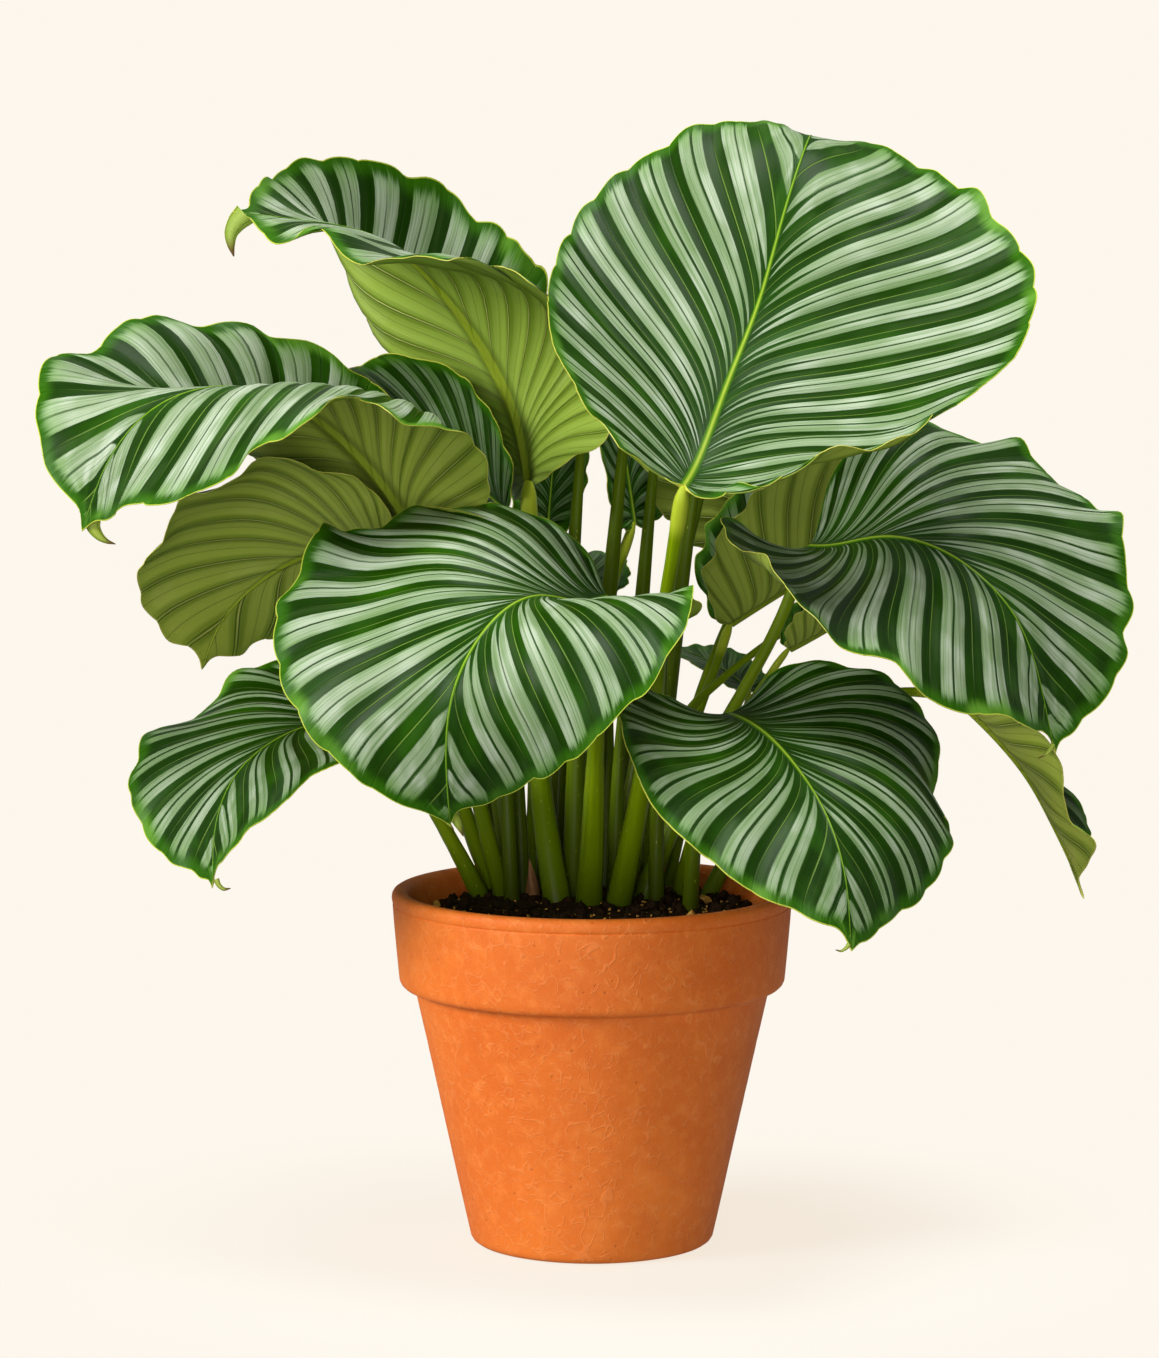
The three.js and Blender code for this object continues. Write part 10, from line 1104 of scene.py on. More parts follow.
def leaf_top():
    m, t, s = material("leaf_top", (0.25, 0.42, 0.25))
    band, across, along = attribute(t, "vein")
    rib, rim, kind = attribute(t, "edge")
    # painted shade: leaves with a whole-number tone (the small leaves behind) lose silver and turn a plainer green,
    # standing in for the shade they sit in
    painted_shade_plain = kind.floor() * 0.25
    tone = kind.frac()
    number = band.floor()
    luck = chance(t, number + tone * 37.0)
    luck2 = chance(t, number + tone * 91.0 + 0.5)
    luck3 = chance(t, number + tone * 53.0 + 0.25)
    sway = noise(t, vector(t, across * 2.6, number * 3.1, tone * 9.0), 1.3, 1.0) - 0.5
    u = band.frac() + sway * 0.07
    streak = noise(t, vector(t, band * 13.0, across * 1.2, tone * 5.0), 1.0, 3.0, 0.6)
    fine = noise(t, vector(t, band * 36.0, across * 1.8, tone * 5.0), 1.0, 2.0, 0.6)
    cloud = noise(t, vector(t, band * 0.9, across * 2.6, tone * 11.0), 1.0, 2.0)
    patch = noise(t, vector(t, band * 1.7, across * 4.5, tone * 3.0), 1.0, 1.0)
    blur = (streak - 0.5) * 0.05
    begin = 0.015 + 0.075 * luck * luck
    one = ((across - begin) / 0.27).max(0.0).min(1.0) ** 0.6
    two = ((across - begin - 0.05 * (luck2 - 0.5)) / 0.27).max(0.0).min(1.0) ** 0.6
    w1 = 0.110 + 0.036 * luck2 + 0.048 * (0.5 - tone)
    w2 = 0.106 + 0.036 * luck + 0.048 * (0.5 - tone)
    a = stripe(t, u + blur * 0.5, 0.345, w1, one, 0.016)
    b = stripe(t, u + blur * 0.3, 0.648, w2, two, 0.011)
    silver = a.max(b)
    brushed = (streak - 0.5) * 12.0 + (fine - 0.5) * 7.0
    silver = silver * smooth(t, 0.8, 5.2, rim + brushed * 0.8 - 2.6 * luck3)
    silver = silver * smooth(t, 0.9, 1.5, rib) * (1.0 - painted_shade_plain * 0.72)
    # lines along the veins
    groove = smooth(t, 0.030, 0.012, (u - 0.500).abs())
    hair = smooth(t, 0.011, 0.003, (u - 0.28 - 0.07 * luck3).abs()).max(smooth(t, 0.010, 0.003, (u - 0.70 + 0.06 * luck).abs()))
    hair2 = smooth(t, 0.008, 0.002, (u - 0.40).abs()).max(smooth(t, 0.008, 0.002, (u - 0.235).abs())) * luck2
    hair3 = smooth(t, 0.007, 0.002, (u - 0.575).abs()).max(smooth(t, 0.007, 0.002, (u - 0.76).abs())) * luck3
    # deep green
    # dull strip after each side vein: partly a grey-olive tone, partly a painted grey sheen
    dull_and_sheen = smooth(t, 0.0, 0.02, u) * smooth(t, 0.20, 0.12, u)
    deep = blend(t, streak, rgb(6, 28, 0), rgb(28, 64, 0))
    deep = blend(t, smooth(t, 0.45, 0.75, cloud) * 0.5, deep, rgb(42, 92, 2))
    deep = blend(t, dull_and_sheen * (0.30 * luck * smooth(t, 0.35, 0.6, patch)), deep, blend(t, streak, rgb(48, 74, 34), rgb(88, 114, 66)))
    deep = blend(t, smooth(t, 0.5, 0.1, across) * 0.35, deep, rgb(28, 64, 12))
    # silver
    # painted highlight: silver lighter along each pleat's crest and darker towards its vein, as light falls on the
    # pleats
    crest_highlight = smooth(t, 0.16, 0.44, u) * smooth(t, 0.86, 0.56, u)
    pale = blend(t, smooth(t, 0.3, 0.7, fine), rgb(94, 121, 74), rgb(138, 156, 124))
    pale = blend(t, crest_highlight * (0.3 + 0.3 * luck), pale, rgb(160, 174, 148))
    pale = blend(t, smooth(t, 0.34, 0.08, across) * 0.45, pale, rgb(70, 100, 50))
    # painted highlight: broad near-white patches on the silver stand in for reflected light
    pale = blend(t, smooth(t, 0.42, 0.70, patch) * 0.60, pale, rgb(190, 200, 184))
    pale = blend(t, smooth(t, 0.46, 0.64, streak) * 0.55, pale, rgb(78, 112, 48))
    pale = blend(t, smooth(t, 18.0, 3.0, rim) * 0.42, pale, rgb(100, 150, 54))
    pale = blend(t, tone * 0.40, pale, rgb(92, 124, 70))
    pale = blend(t, painted_shade_plain * 0.8, pale, rgb(78, 118, 36))
    color = blend(t, silver, deep, pale)
    color = blend(t, groove * silver.max(0.4) * smooth(t, 1.0, 0.85, across) * (0.48 + 0.42 * luck3), color, rgb(16, 56, 4))
    color = blend(t, hair * silver * 0.42, color, rgb(48, 98, 24))
    color = blend(t, hair2.max(hair3) * silver * 0.42, color, rgb(62, 104, 42))
    # side vein, a thin bright line in the deep green
    near = 0.5 - (band.frac() - 0.5).abs()
    vein = smooth(t, 0.020, 0.005, near)
    color = blend(t, smooth(t, 0.045, 0.02, near) * 0.4, color, rgb(10, 40, 2))
    color = blend(t, vein * (0.30 + 0.4 * luck2) * smooth(t, 1.0, 0.5, across), color, rgb(124, 160, 62))
    # margin zone
    zone = smooth(t, 9.5, 2.2, rim + brushed * 0.5)
    color = blend(t, zone * 0.72, color, blend(t, streak, rgb(18, 68, 0), rgb(64, 122, 10)))
    color = blend(t, zone * smooth(t, 0.5, 0.7, cloud) * 0.5, color, rgb(112, 166, 56))
    color = blend(t, smooth(t, 0.72, 0.30, rim), color, rgb(172, 184, 62))
    # midrib
    ribs = smooth(t, 1.3, 0.75, rib)
    rib_color = blend(t, smooth(t, 0.75, 0.05, rib), rgb(66, 112, 12), rgb(150, 174, 52))
    rib_color = blend(t, smooth(t, 0.35, 0.85, along) * 0.5, rib_color, rgb(84, 132, 26))
    color = blend(t, ribs * smooth(t, 1.0, 0.93, along), color, rib_color)
    put(t, color, s.inputs["Base Color"])
    shine = 0.36 + 0.08 * silver + 0.04 * (fine - 0.5) + 0.12 * (cloud - 0.5)
    put(t, shine, s.inputs["Roughness"])
    s.inputs["Specular IOR Level"].default_value = 0.08
    bump(t, fine * 0.15 + streak * 0.25 - groove * 1.1 - hair * 0.4 - vein * 0.9, 0.45, 0.0005, s)
    thin_leaf(t, s, color, 0.08, rgb(140, 190, 10))
    return m


def thin_leaf(t, s, color, amount, tint):
    """Lets a little light through the blade."""
    back = t.nodes.new("ShaderNodeBsdfTranslucent")
    warm = blend(t, 0.6, color, tint)
    put(t, warm, back.inputs["Color"])
    mix = t.nodes.new("ShaderNodeMixShader")
    mix.inputs[0].default_value = amount
    out = t.nodes["Material Output"]
    t.links.new(s.outputs[0], mix.inputs[1])
    t.links.new(back.outputs[0], mix.inputs[2])
    t.links.new(mix.outputs[0], out.inputs[0])


def leaf_under():
    m, t, s = material("leaf_underside", (0.45, 0.52, 0.2))
    band, across, along = attribute(t, "vein")
    rib, rim, kind = attribute(t, "edge")
    tone = kind.frac()
    u = band.frac()
    luck = chance(t, band.floor() + tone * 37.0)
    streak = noise(t, vector(t, band * 20.0, across * 2.5, tone * 5.0), 1.0, 3.0, 0.6)
    fine = noise(t, vector(t, band * 80.0, across * 4.0, tone * 5.0), 1.0, 2.0, 0.6)
    cloud = noise(t, vector(t, band * 0.7, across * 3.0, tone * 7.0), 1.0, 2.0)
    base = blend(t, streak, rgb(138, 172, 50), rgb(176, 202, 90))
    base = blend(t, cloud, base, rgb(166, 192, 74))
    # painted highlight: pale patches over the underside
    base = blend(t, smooth(t, 0.55, 0.75, cloud) * 0.5, base, rgb(194, 212, 116))
    # painted light: every underside with a tone above 0, all but leaf 08's, is lifted towards pale yellow-green
    base = blend(t, smooth(t, 0.005, 0.015, tone) * 0.42, base, rgb(214, 224, 92))
    shade = (1.0 - stripe(t, u, 0.49, 0.31, 1.0, 0.07)) * smooth(t, 0.0, 0.3, across)
    color = blend(t, shade * 0.66, base, blend(t, streak, rgb(98, 130, 16), rgb(136, 164, 40)))
    near = 0.5 - (u - 0.5).abs()
    vein = smooth(t, 0.030, 0.008, near)
    color = blend(t, vein * 0.9 * smooth(t, 1.0, 0.5, across), color, rgb(212, 220, 120))
    # painted shadow: dark lines along both sides of each raised side vein
    beside_vein_shadow = smooth(t, 0.080, 0.035, near) * smooth(t, 0.022, 0.045, near)
    color = blend(t, beside_vein_shadow * 0.8, color, rgb(78, 106, 10))
    side = smooth(t, 0.022, 0.006, (u - 0.5).abs())
    color = blend(t, side * 0.4, color, rgb(112, 132, 28))
    color = blend(t, smooth(t, 7.0, 1.5, rim) * 0.4, color, rgb(160, 184, 60))
    color = blend(t, smooth(t, 0.85, 0.35, rim), color, rgb(204, 206, 96))
    ribs = smooth(t, 2.0, 1.3, rib)
    # painted shade: darker band along both sides of the raised midrib
    rib_flank_shade = smooth(t, 4.4, 2.0, rib) * 0.62
    color = blend(t, rib_flank_shade, color, rgb(84, 108, 10))
    color = blend(t, ribs * smooth(t, 1.0, 0.93, along), color, blend(t, fine, rgb(142, 168, 22), rgb(182, 200, 56)))
    color = blend(t, smooth(t, 1.55, 1.95, along), color, rgb(110, 76, 28))
    put(t, color, s.inputs["Base Color"])
    put(t, 0.50 + 0.12 * (streak - 0.5), s.inputs["Roughness"])
    s.inputs["Specular IOR Level"].default_value = 0.3
    bump(t, fine * 0.3 + streak * 0.5 + vein * 1.1 - beside_vein_shadow * 0.9 - side * 0.5, 0.7, 0.0007, s)
    thin_leaf(t, s, color, 0.30, rgb(164, 206, 40))
    return m


def leaf_rim():
    m, t, s = material("leaf_margin", (0.6, 0.6, 0.25))
    where = object_place(t)
    spots = noise(t, where, 160.0, 2.0)
    put(t, blend(t, spots, rgb(168, 172, 48), rgb(208, 204, 92)), s.inputs["Base Color"])
    s.inputs["Roughness"].default_value = 0.45
    return m


# ---------------------------------------------------------------- leaf blades


def margin(points, s):
    return through(np.asarray(points).reshape(-1, 2), s)


def rows(outline, side, S, y, sweep=0.0):
    """Side veins as curves from the midrib to the margin: off the midrib at a low angle, then outward, then towards the tip."""
    E = margin(outline, S)
    M = np.stack([0 * y, y], 1)
    E[-1] = M[-1] = (0, 1.03)
    # the outline without its small notches steers the veins
    k = np.exp(-0.5 * (np.arange(-12, 13) / (len(S) / 30)) ** 2)
    k /= k.sum()
    pad = np.vstack([2 * E[:1] - E[12:0:-1], E, 2 * E[-1:] - E[-2:-14:-1]])
    calm = np.stack([np.convolve(pad[:, i], k, "valid") for i in (0, 1)], 1)
    calm[0], calm[-1] = E[0], E[-1]
    d = calm - M
    run = np.linalg.norm(d, axis=1)
    lean = np.degrees(np.arctan2(side * d[:, 0], d[:, 1]))
    lean[-1], lean[0] = lean[-2], lean[1]
    lean = np.clip(lean, 5, 150)
    curl = step(0.05, 0.4, S)
    first = lean * (1 - curl + 0.30 * curl)
    last = lean + curl * np.interp(S, [0, 0.3, 0.42, 0.55, 0.8, 1], [0, 4, -4 - sweep / 2, -14 - sweep, -18 - sweep, -12])
    run = run * np.clip((1 - S) / 0.06, 0, 1)
    reach = 0.16 + 0.14 * curl

    def towards(a):
        return np.stack([side * np.sin(np.radians(a)), np.cos(np.radians(a))], 1)

    return M, M + (reach * run)[:, None] * towards(first), 0.3 * E + 0.7 * calm - 0.30 * run[:, None] * towards(last), E


def blade(leaf, mats):
    net = np.array(leaf["net"], float).reshape(NET_N, NET_N, 3)
    size = leaf["length"]
    large = size > 120
    seed = int(leaf["id"])
    r = np.random.default_rng(100 + seed)
    bands = leaf.get("bands", [12, 12] if large else [9, 9])
    power = leaf.get("origin", [2.6, 2.6])
    per = (10 if large else 8) // 1
    if large:
        T = np.concatenate([[0, 0.012, 0.028, 0.05, 0.08], np.linspace(0.12, 0.90, 17), [0.93, 0.955, 0.974, 0.989, 1.0]])
    else:
        T = np.concatenate([[0, 0.02, 0.05], np.linspace(0.11, 0.88, 10), [0.94, 0.98, 1.0]])
    nt = len(T)
    tone = leaf.get("tone", 0.0) + leaf.get("age", float(r.uniform(0.1, 0.9)))
    ns = per * max(bands)
    first = np.linspace(0, 1, ns)

    def origin(s, p):
        return 0.8 * s**p + 0.02 * s * (1 - s) + 0.23 * step(0.86, 1.0, s)

    y = origin(first, power[0])
    dense = np.linspace(0, 1, 4001)
    grid = {}
    for side, key, n in ((1, "right", 0), (-1, "left", 1)):
        S = first if n == 0 else np.interp(y, origin(dense, power[1]), dense)
        S[-1] = 1.0
        P0, P1, P2, P3 = (p[:, None] for p in rows(leaf[key], side, S, y, leaf.get("sweep", 0.0)))
        tt = T[None, :, None]
        G = (1 - tt) ** 3 * P0 + 3 * tt * (1 - tt) ** 2 * P1 + 3 * tt**2 * (1 - tt) * P2 + tt**3 * P3
        shift = float(r.uniform(0.0, 0.9))
        phase = S * bands[n] + shift
        # scalloped outline: lobes between the side veins
        lobe = np.abs(np.sin(np.pi * phase)) ** 0.7 - 0.62
        lobe = lobe * (0.55 + 0.75 * r.uniform(0, 1, 40)[phase.astype(int)]) * step(0.10, 0.25, S) * (1 - step(0.93, 0.99, S))
        out = G[:, -1] - G[:, -2]
        out = out / np.maximum(np.linalg.norm(out, axis=1), 1e-6)[:, None]
        G = G + (lobe * leaf.get("scallop", 0.0070))[:, None, None] * out[:, None] * step(0.70, 1.0, T)[None, :, None]
        d = np.linalg.norm(np.diff(G, axis=1), axis=2) * size
        run = np.concatenate([np.zeros((ns, 1)), np.cumsum(d, 1)], 1)
        share = run / np.maximum(run[:, -1:], 1e-6)
        share[-1] = T
        grid[side] = dict(S=S, G=G, share=share, rib=np.abs(G[:, :, 0]) * size, rim=run[:, -1:] - run, phase=phase + (50 if side < 0 else 0))
    # one vertex for the base, one for the tip, and a shared column for the midrib
    base, tip = 0, 1
    mid = np.concatenate([[base], np.arange(2, ns), [tip]])
    count = ns
    vid = {}
    for side in (1, -1):
        v = np.zeros((ns, nt), int)
        v[:, 0] = mid
        v[0, :] = base
        v[-1, :] = tip
        v[1:-1, 1:] = count + np.arange((ns - 2) * (nt - 1)).reshape(ns - 2, nt - 1)
        count += (ns - 2) * (nt - 1)
        vid[side] = v
    flat = np.zeros((count, 2))
    up = np.zeros(count)
    down = np.zeros(count)
    for side in (1, -1):
        g = grid[side]
        S, G, t = g["S"], g["G"], g["share"]
        ph = g["phase"][:, None] % 1.0
        # pleats: valleys at the side veins, ridges between, deepest half way out
        amp = size * leaf.get("pleat", 0.0078) * step(0.02, 0.35, t) * (1 - 0.10 * step(0.7, 1.0, t)) * step(0.0, 0.14, S)[:, None] * (1 - 0.75 * step(0.8, 1.0, S)[:, None])
        wave = 0.5 - 0.5 * np.cos(2 * np.pi * ph)
        h = amp * (wave**0.75 - 0.45) - 0.16 * amp * np.exp(-(((ph - 0.5) / 0.06) ** 2))
        h = h + amp * 0.35 * waves(np.stack([np.floor(g["phase"])[:, None] + 0 * t, t * 2], -1).reshape(-1, 2), seed, 4).reshape(t.shape) * np.sin(np.pi * ph) ** 2
        # ruffled margin
        edge = step(0.68, 1.0, t)
        ruffle = waves(S[:, None] * 34 + 7 * side, seed * 3 + side, 6, 0.5, 1.6)
        h = h + edge * size * leaf.get("ruffle", 0.010) * ruffle[:, None] * step(0.03, 0.15, S)[:, None] * (1 - step(0.9, 1.0, S)[:, None])
        half = (0.30 + 1.9 * (1 - y[:, None] / 1.03) ** 1.6) * max(size, 90) / 220
        g["ratio"] = g["rib"] / half
        bulge = np.exp(-(g["ratio"] ** 2))
        near = np.minimum(ph, 1 - ph)
        thick = 0.30 - 0.12 * step(0.9, 1.0, t)
        low = 1 - y[:, None] / 1.03
        v = vid[side]
        flat[v] = G
        up[v] = thick + h + bulge * (0.25 + 0.5 * low)
        vein_out = 0.4 * np.exp(-((near / 0.05) ** 2)) * step(0.02, 0.1, t) * (1 - step(0.6, 1.0, t)) * (0.4 + size / 300)
        down[v] = thick - h + bulge * (0.5 + 1.9 * low) + vein_out
    P = surface(net, flat)
    N = np.cross(surface(net, flat, 1, 0), surface(net, flat, 0, 1))
    N /= np.linalg.norm(N, axis=1)[:, None]
    up[base], up[tip], down[base], down[tip] = 0.9, 0.2, 1.6, 0.2
    verts = np.vstack([P + N * up[:, None], P - N * down[:, None]])
    tris, mats_of, ga, gb = [], [], [], []

    def corner_values(side, i, j):
        g = grid[side]
        a = np.stack([g["phase"][i], g["share"][i, j], y[i] / 1.03], -1)
        b = np.stack([g["ratio"][i, j], g["rim"][i, j], np.full(i.shape, tone)], -1)
        return a, b

    for side in (1, -1):
        i, j = np.meshgrid(np.arange(ns - 1), np.arange(nt - 1), indexing="ij")
        i, j = i.ravel(), j.ravel()
        A, B, Cc, Dd = (i, j), (i + 1, j), (i + 1, j + 1), (i, j + 1)
        for corners in ((A, Dd, Cc), (A, Cc, B)):
            v = np.stack([vid[side][c] for c in corners], 1)
            ok = (v[:, 0] != v[:, 1]) & (v[:, 1] != v[:, 2]) & (v[:, 0] != v[:, 2])
            vals = [corner_values(side, *c) for c in corners]
            va = np.stack([x[0] for x in vals], 1)[ok]
            vb = np.stack([x[1] for x in vals], 1)[ok]
            v = v[ok]
            if side < 0:
                v, va, vb = v[:, ::-1], va[:, ::-1], vb[:, ::-1]
            tris += [v, v[:, ::-1] + count]
            ga += [va, va[:, ::-1]]
            gb += [vb, vb[:, ::-1]]
            mats_of += [np.zeros(len(v), int), np.ones(len(v), int)]
        e = vid[side][:, -1]
        a, b = e[:-1], e[1:]
        q = np.concatenate([np.stack([a, a + count, b], 1), np.stack([b, a + count, b + count], 1)])
        if side < 0:
            q = q[:, ::-1]
        tris.append(q)
        z = np.zeros((len(q), 3, 3))
        ga.append(z)
        gb.append(z)
        mats_of.append(np.full(len(q), 2))
    total = len(verts)
    for points in leaf.get("tails", []):
        tv, tt_, share = tail(np.array(points))
        verts = np.vstack([verts, tv])
        tris.append(tt_ + total)
        total += len(tv)
        a = np.zeros((len(tt_), 3, 3))
        a[:, :, 0] = 3.3 + 0.3 * share[tt_][:, :, 1]
        a[:, :, 1] = 0.5
        a[:, :, 2] = 1.05 + 0.95 * share[tt_][:, :, 0]
        b = np.zeros((len(tt_), 3, 3))
        b[:, :, 0] = 9.0
        b[:, :, 1] = 8.0 - 7.6 * np.abs(share[tt_][:, :, 1])
        b[:, :, 2] = tone
        ga.append(a)
        gb.append(b)
        mats_of.append(np.ones(len(tt_), int))
    tris = np.concatenate(tris)
    ga, gb = np.concatenate(ga), np.concatenate(gb)
    mats_of = np.concatenate(mats_of)
    uv = np.stack([ga[:, :, 0] / 100, ga[:, :, 1]], -1)
    o = build("blade_" + leaf["id"] + "_leaf", verts * MM, tris, mats, mats_of, {"vein": ga, "edge": gb}, uv, math.radians(55))
    return place(o, "blade_" + leaf["id"])


def tail(points):
    """The narrow drawn-out tip of a leaf, a curled ribbon through points of x, y, z and half width."""
    n, sides = 26, 10
    t = np.linspace(0, 1, n)
    center = through(points[:, :3], t)
    width = np.interp(t, np.linspace(0, 1, len(points)), points[:, 3])
    run = np.gradient(center, axis=0)
    run /= np.linalg.norm(run, axis=1)[:, None]
    across = np.cross(run, [0.0, 1.0, 0.0])
    across /= np.linalg.norm(across, axis=1)[:, None]
    depth = np.cross(across, run)
    a = np.linspace(0, 2 * np.pi, sides, endpoint=False)
    wide = np.cos(a)[None, :, None] * width[:, None, None] * across[:, None]
    bow = (0.35 * width[:, None] * (1 - np.cos(a)[None] ** 2) - 0.2 * width[:, None])[:, :, None] * depth[:, None]
    ring = center[:, None] + wide + (np.sin(a)[None, :, None] * 0.28) * depth[:, None] - bow
    verts = np.concatenate([ring.reshape(-1, 3), center[:1], center[-1:] + run[-1:] * 0.4])
    k = np.arange(sides)
    k2 = (k + 1) % sides
    tris = []
    for i in range(n - 1):
        p, q = i * sides, (i + 1) * sides
        tris += [np.stack([p + k, p + k2, q + k2], 1), np.stack([p + k, q + k2, q + k], 1)]
    tris += [np.stack([np.full(sides, n * sides), k2, k], 1), np.stack([np.full(sides, n * sides + 1), (n - 1) * sides + k, (n - 1) * sides + k2], 1)]
    share = np.stack([np.concatenate([np.repeat(t, sides), [0, 1]]), np.concatenate([np.tile(np.cos(a), n), [0, 0]])], 1)
    return verts, np.concatenate(tris)[:, ::-1], share


# ---------------------------------------------------------------- stalks


def stalk_material(name, low, high, base_tint_and_shade):
    m, t, s = material(name, (0.35, 0.42, 0.12))
    along, around, tone = attribute(t, "stalk")
    where = object_place(t)
    streak = noise(t, vector(t, around * 14.0, along * 3.0, tone * 20.0), 1.0, 3.0, 0.6)
    fine = noise(t, vector(t, around * 60.0, along * 9.0, tone * 20.0), 1.0, 2.0, 0.6)
    color = blend(t, streak, low, high)
    color = blend(t, tone * 0.4, color, blend(t, 0.5, low, high))
    # lower stalk darker towards the soil: partly its own darker colour, partly painted shade of the crowded clump
    color = blend(t, smooth(t, 0.42, 0.0, along) * 0.6, color, base_tint_and_shade)
    color = blend(t, smooth(t, 0.06, 0.0, along) * 0.30, color, rgb(84, 74, 18))
    pulvinus = smooth(t, 0.88, 0.93, along)
    color = blend(t, pulvinus * 0.75, color, rgb(180, 194, 52))
    speck = smooth(t, 0.10, 0.03, cells(t, scaled(t, where, 1, 1, 0.35), 260.0))
    color = blend(t, speck * 0.5, color, rgb(190, 200, 84))
    scar = smooth(t, 0.10, 0.04, cells(t, scaled(t, where, 1, 1, 0.6), 190.0)) * smooth(t, 0.30, 0.05, along)
    color = blend(t, scar * 0.7, color, rgb(150, 118, 36))
    put(t, color, s.inputs["Base Color"])
    put(t, 0.30 + 0.25 * (streak - 0.3), s.inputs["Roughness"])
    s.inputs["Specular IOR Level"].default_value = 0.12
    bump(t, fine * 0.4 + streak * 0.7, 0.5, 0.0005, s)
    return m


def tube(center, radii, sides, squash=None, turn=None):
    """Vertices of rings round a centreline, with frames carried along it. radii is (rings, sides)."""
    n = len(center)
    tangent = np.gradient(center, axis=0)
    tangent /= np.linalg.norm(tangent, axis=1)[:, None]
    a = np.cross(tangent[0], [0.0, 1.0, 0.05])
    a /= np.linalg.norm(a)
    out = np.zeros((n, sides, 3))
    angle = np.linspace(0, 2 * np.pi, sides, endpoint=False)
    for i in range(n):
        a = a - tangent[i] * (a @ tangent[i])
        a /= np.linalg.norm(a)
        b = np.cross(tangent[i], a)
        out[i] = center[i] + radii[i][:, None] * (np.cos(angle)[:, None] * a + np.sin(angle)[:, None] * b)
    return out, tangent


def stalk(leaf, mat):
    pts = np.array(leaf["stalk"], float).reshape(-1, 3)
    net = np.array(leaf["net"], float).reshape(NET_N, NET_N, 3)
    foot = surface(net, np.array([[0.0, 0.0]]))[0]
    r0 = leaf["stalkRadius"]
    seed = 40 + int(leaf["id"])
    r = np.random.default_rng(seed)
    n, sides = ((90, 26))
    t = np.linspace(0, 1, n)
    center = through(pts, t)
    # the last stretch runs into the blade's base
    gap = foot - center[-1]
    center += np.outer(np.clip((t - 0.93) / 0.07, 0, 1) ** 2, gap) * 0.95
    center[:, 2] -= 2.5 * (1 - np.clip(t / 0.03, 0, 1))
    slim = r0 * (1 - 0.42 * np.minimum(1, t / 0.6))
    slim *= 1 + 0.12 * np.exp(-(((t - 0.935) / 0.035) ** 2))
    slim *= 1 - 0.55 * np.clip((t - 0.97) / 0.03, 0, 1) ** 1.5
    angle = np.linspace(0, 2 * np.pi, sides, endpoint=False)
    turn = r.uniform(0, 6.28)
    top_of_sheath = r.uniform(0.42, 0.62)
    in_sheath = 1 - step(top_of_sheath - 0.015, top_of_sheath + 0.015, t)
    lap = angle[None] - turn - 0.5 * np.sin(3 * t)[:, None]
    lap = (lap + np.pi) % (2 * np.pi) - np.pi
    radii = slim[:, None] * (1 + in_sheath[:, None] * (0.045 + 0.05 * step(-0.1, 0.1, lap) * step(2.6, 1.4, lap)))
    radii *= 1 + 0.02 * np.cos(2 * (angle[None] - turn)) + 0.012 * np.cos(5 * angle[None] + 2 * t[:, None])
    radii = radii + 0.05 * r0 * waves(np.stack([t * 26], 1), seed, 4)[:, None] * 0.25
    ring, tangent = tube(center, radii, sides)
    verts = np.concatenate([ring.reshape(-1, 3), center[:1], center[-1:] + tangent[-1:] * 0.2])
    k = np.arange(sides)
    k2 = (k + 1) % sides
    tris = []
    for i in range(n - 1):
        a, b, c, d = i * sides + k, i * sides + k2, (i + 1) * sides + k2, (i + 1) * sides + k
        tris += [np.stack([a, b, c], 1), np.stack([a, c, d], 1)]
    lo, hi = n * sides, n * sides + 1
    tris += [np.stack([np.full(sides, lo), k2, k], 1), np.stack([np.full(sides, hi), (n - 1) * sides + k, (n - 1) * sides + k2], 1)]
    tris = np.concatenate(tris)
    row = np.concatenate([np.repeat(t, sides), [0, 1]])
    col = np.concatenate([np.tile(np.sin(angle) * 0.5, n), [0, 0]])
    val = np.stack([row, col, np.full(len(row), (int(leaf["id"]) * 0.618) % 1)], -1)[tris]
    uv = np.stack([val[:, :, 1] + 0.5, val[:, :, 0]], -1)
    o = build("stalk_" + leaf["id"] + "_stem", verts * MM, tris, [mat], None, {"stalk": val}, uv, math.radians(60))
    return place(o, "stalk_" + leaf["id"])


def shoot(number, base, points, mat):
    """A young leaf rolled into a spear."""
    pts = np.array(points, float).reshape(-1, 3)
    n, sides = ((60, 24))
    t = np.linspace(0, 1, n)
    center = through(pts, t)
    center[:, 2] -= 2.5 * (1 - np.clip(t / 0.05, 0, 1))
    angle = np.linspace(0, 2 * np.pi, sides, endpoint=False)
    seam = (angle[None] - 1.3 * number - 2.2 * t[:, None] + np.pi) % (2 * np.pi) - np.pi
    radii = base * (1 - 0.88 * t**2.4)[:, None] * (1.0 + 0.10 * step(-0.12, 0.12, seam) * step(2.8, 1.0, seam) + 0.03 * np.cos(2 * angle[None] + t[:, None] * 3))
    ring, tangent = tube(center, radii, sides)
    verts = np.concatenate([ring.reshape(-1, 3), center[:1], center[-1:] + tangent[-1:] * 0.3])
    k = np.arange(sides)
    k2 = (k + 1) % sides
    tris = []
    for i in range(n - 1):
        a, b, c, d = i * sides + k, i * sides + k2, (i + 1) * sides + k2, (i + 1) * sides + k
        tris += [np.stack([a, b, c], 1), np.stack([a, c, d], 1)]
    lo, hi = n * sides, n * sides + 1
    tris += [np.stack([np.full(sides, lo), k2, k], 1), np.stack([np.full(sides, hi), (n - 1) * sides + k, (n - 1) * sides + k2], 1)]
    tris = np.concatenate(tris)
    row = np.concatenate([np.repeat(t * 0.85, sides), [0, 0.85]])
    col = np.concatenate([np.tile(np.sin(angle) * 0.5, n), [0, 0]])
    val = np.stack([row, col, np.full(len(row), (0.13 + number * 0.618) % 1)], -1)[tris]
    uv = np.stack([val[:, :, 1] + 0.5, val[:, :, 0]], -1)
    o = build("shoot_%02d_spear" % number, verts * MM, tris, [mat], None, {"stalk": val}, uv, math.radians(60))
    return place(o, "shoot_%02d" % number)


# ---------------------------------------------------------------- pot


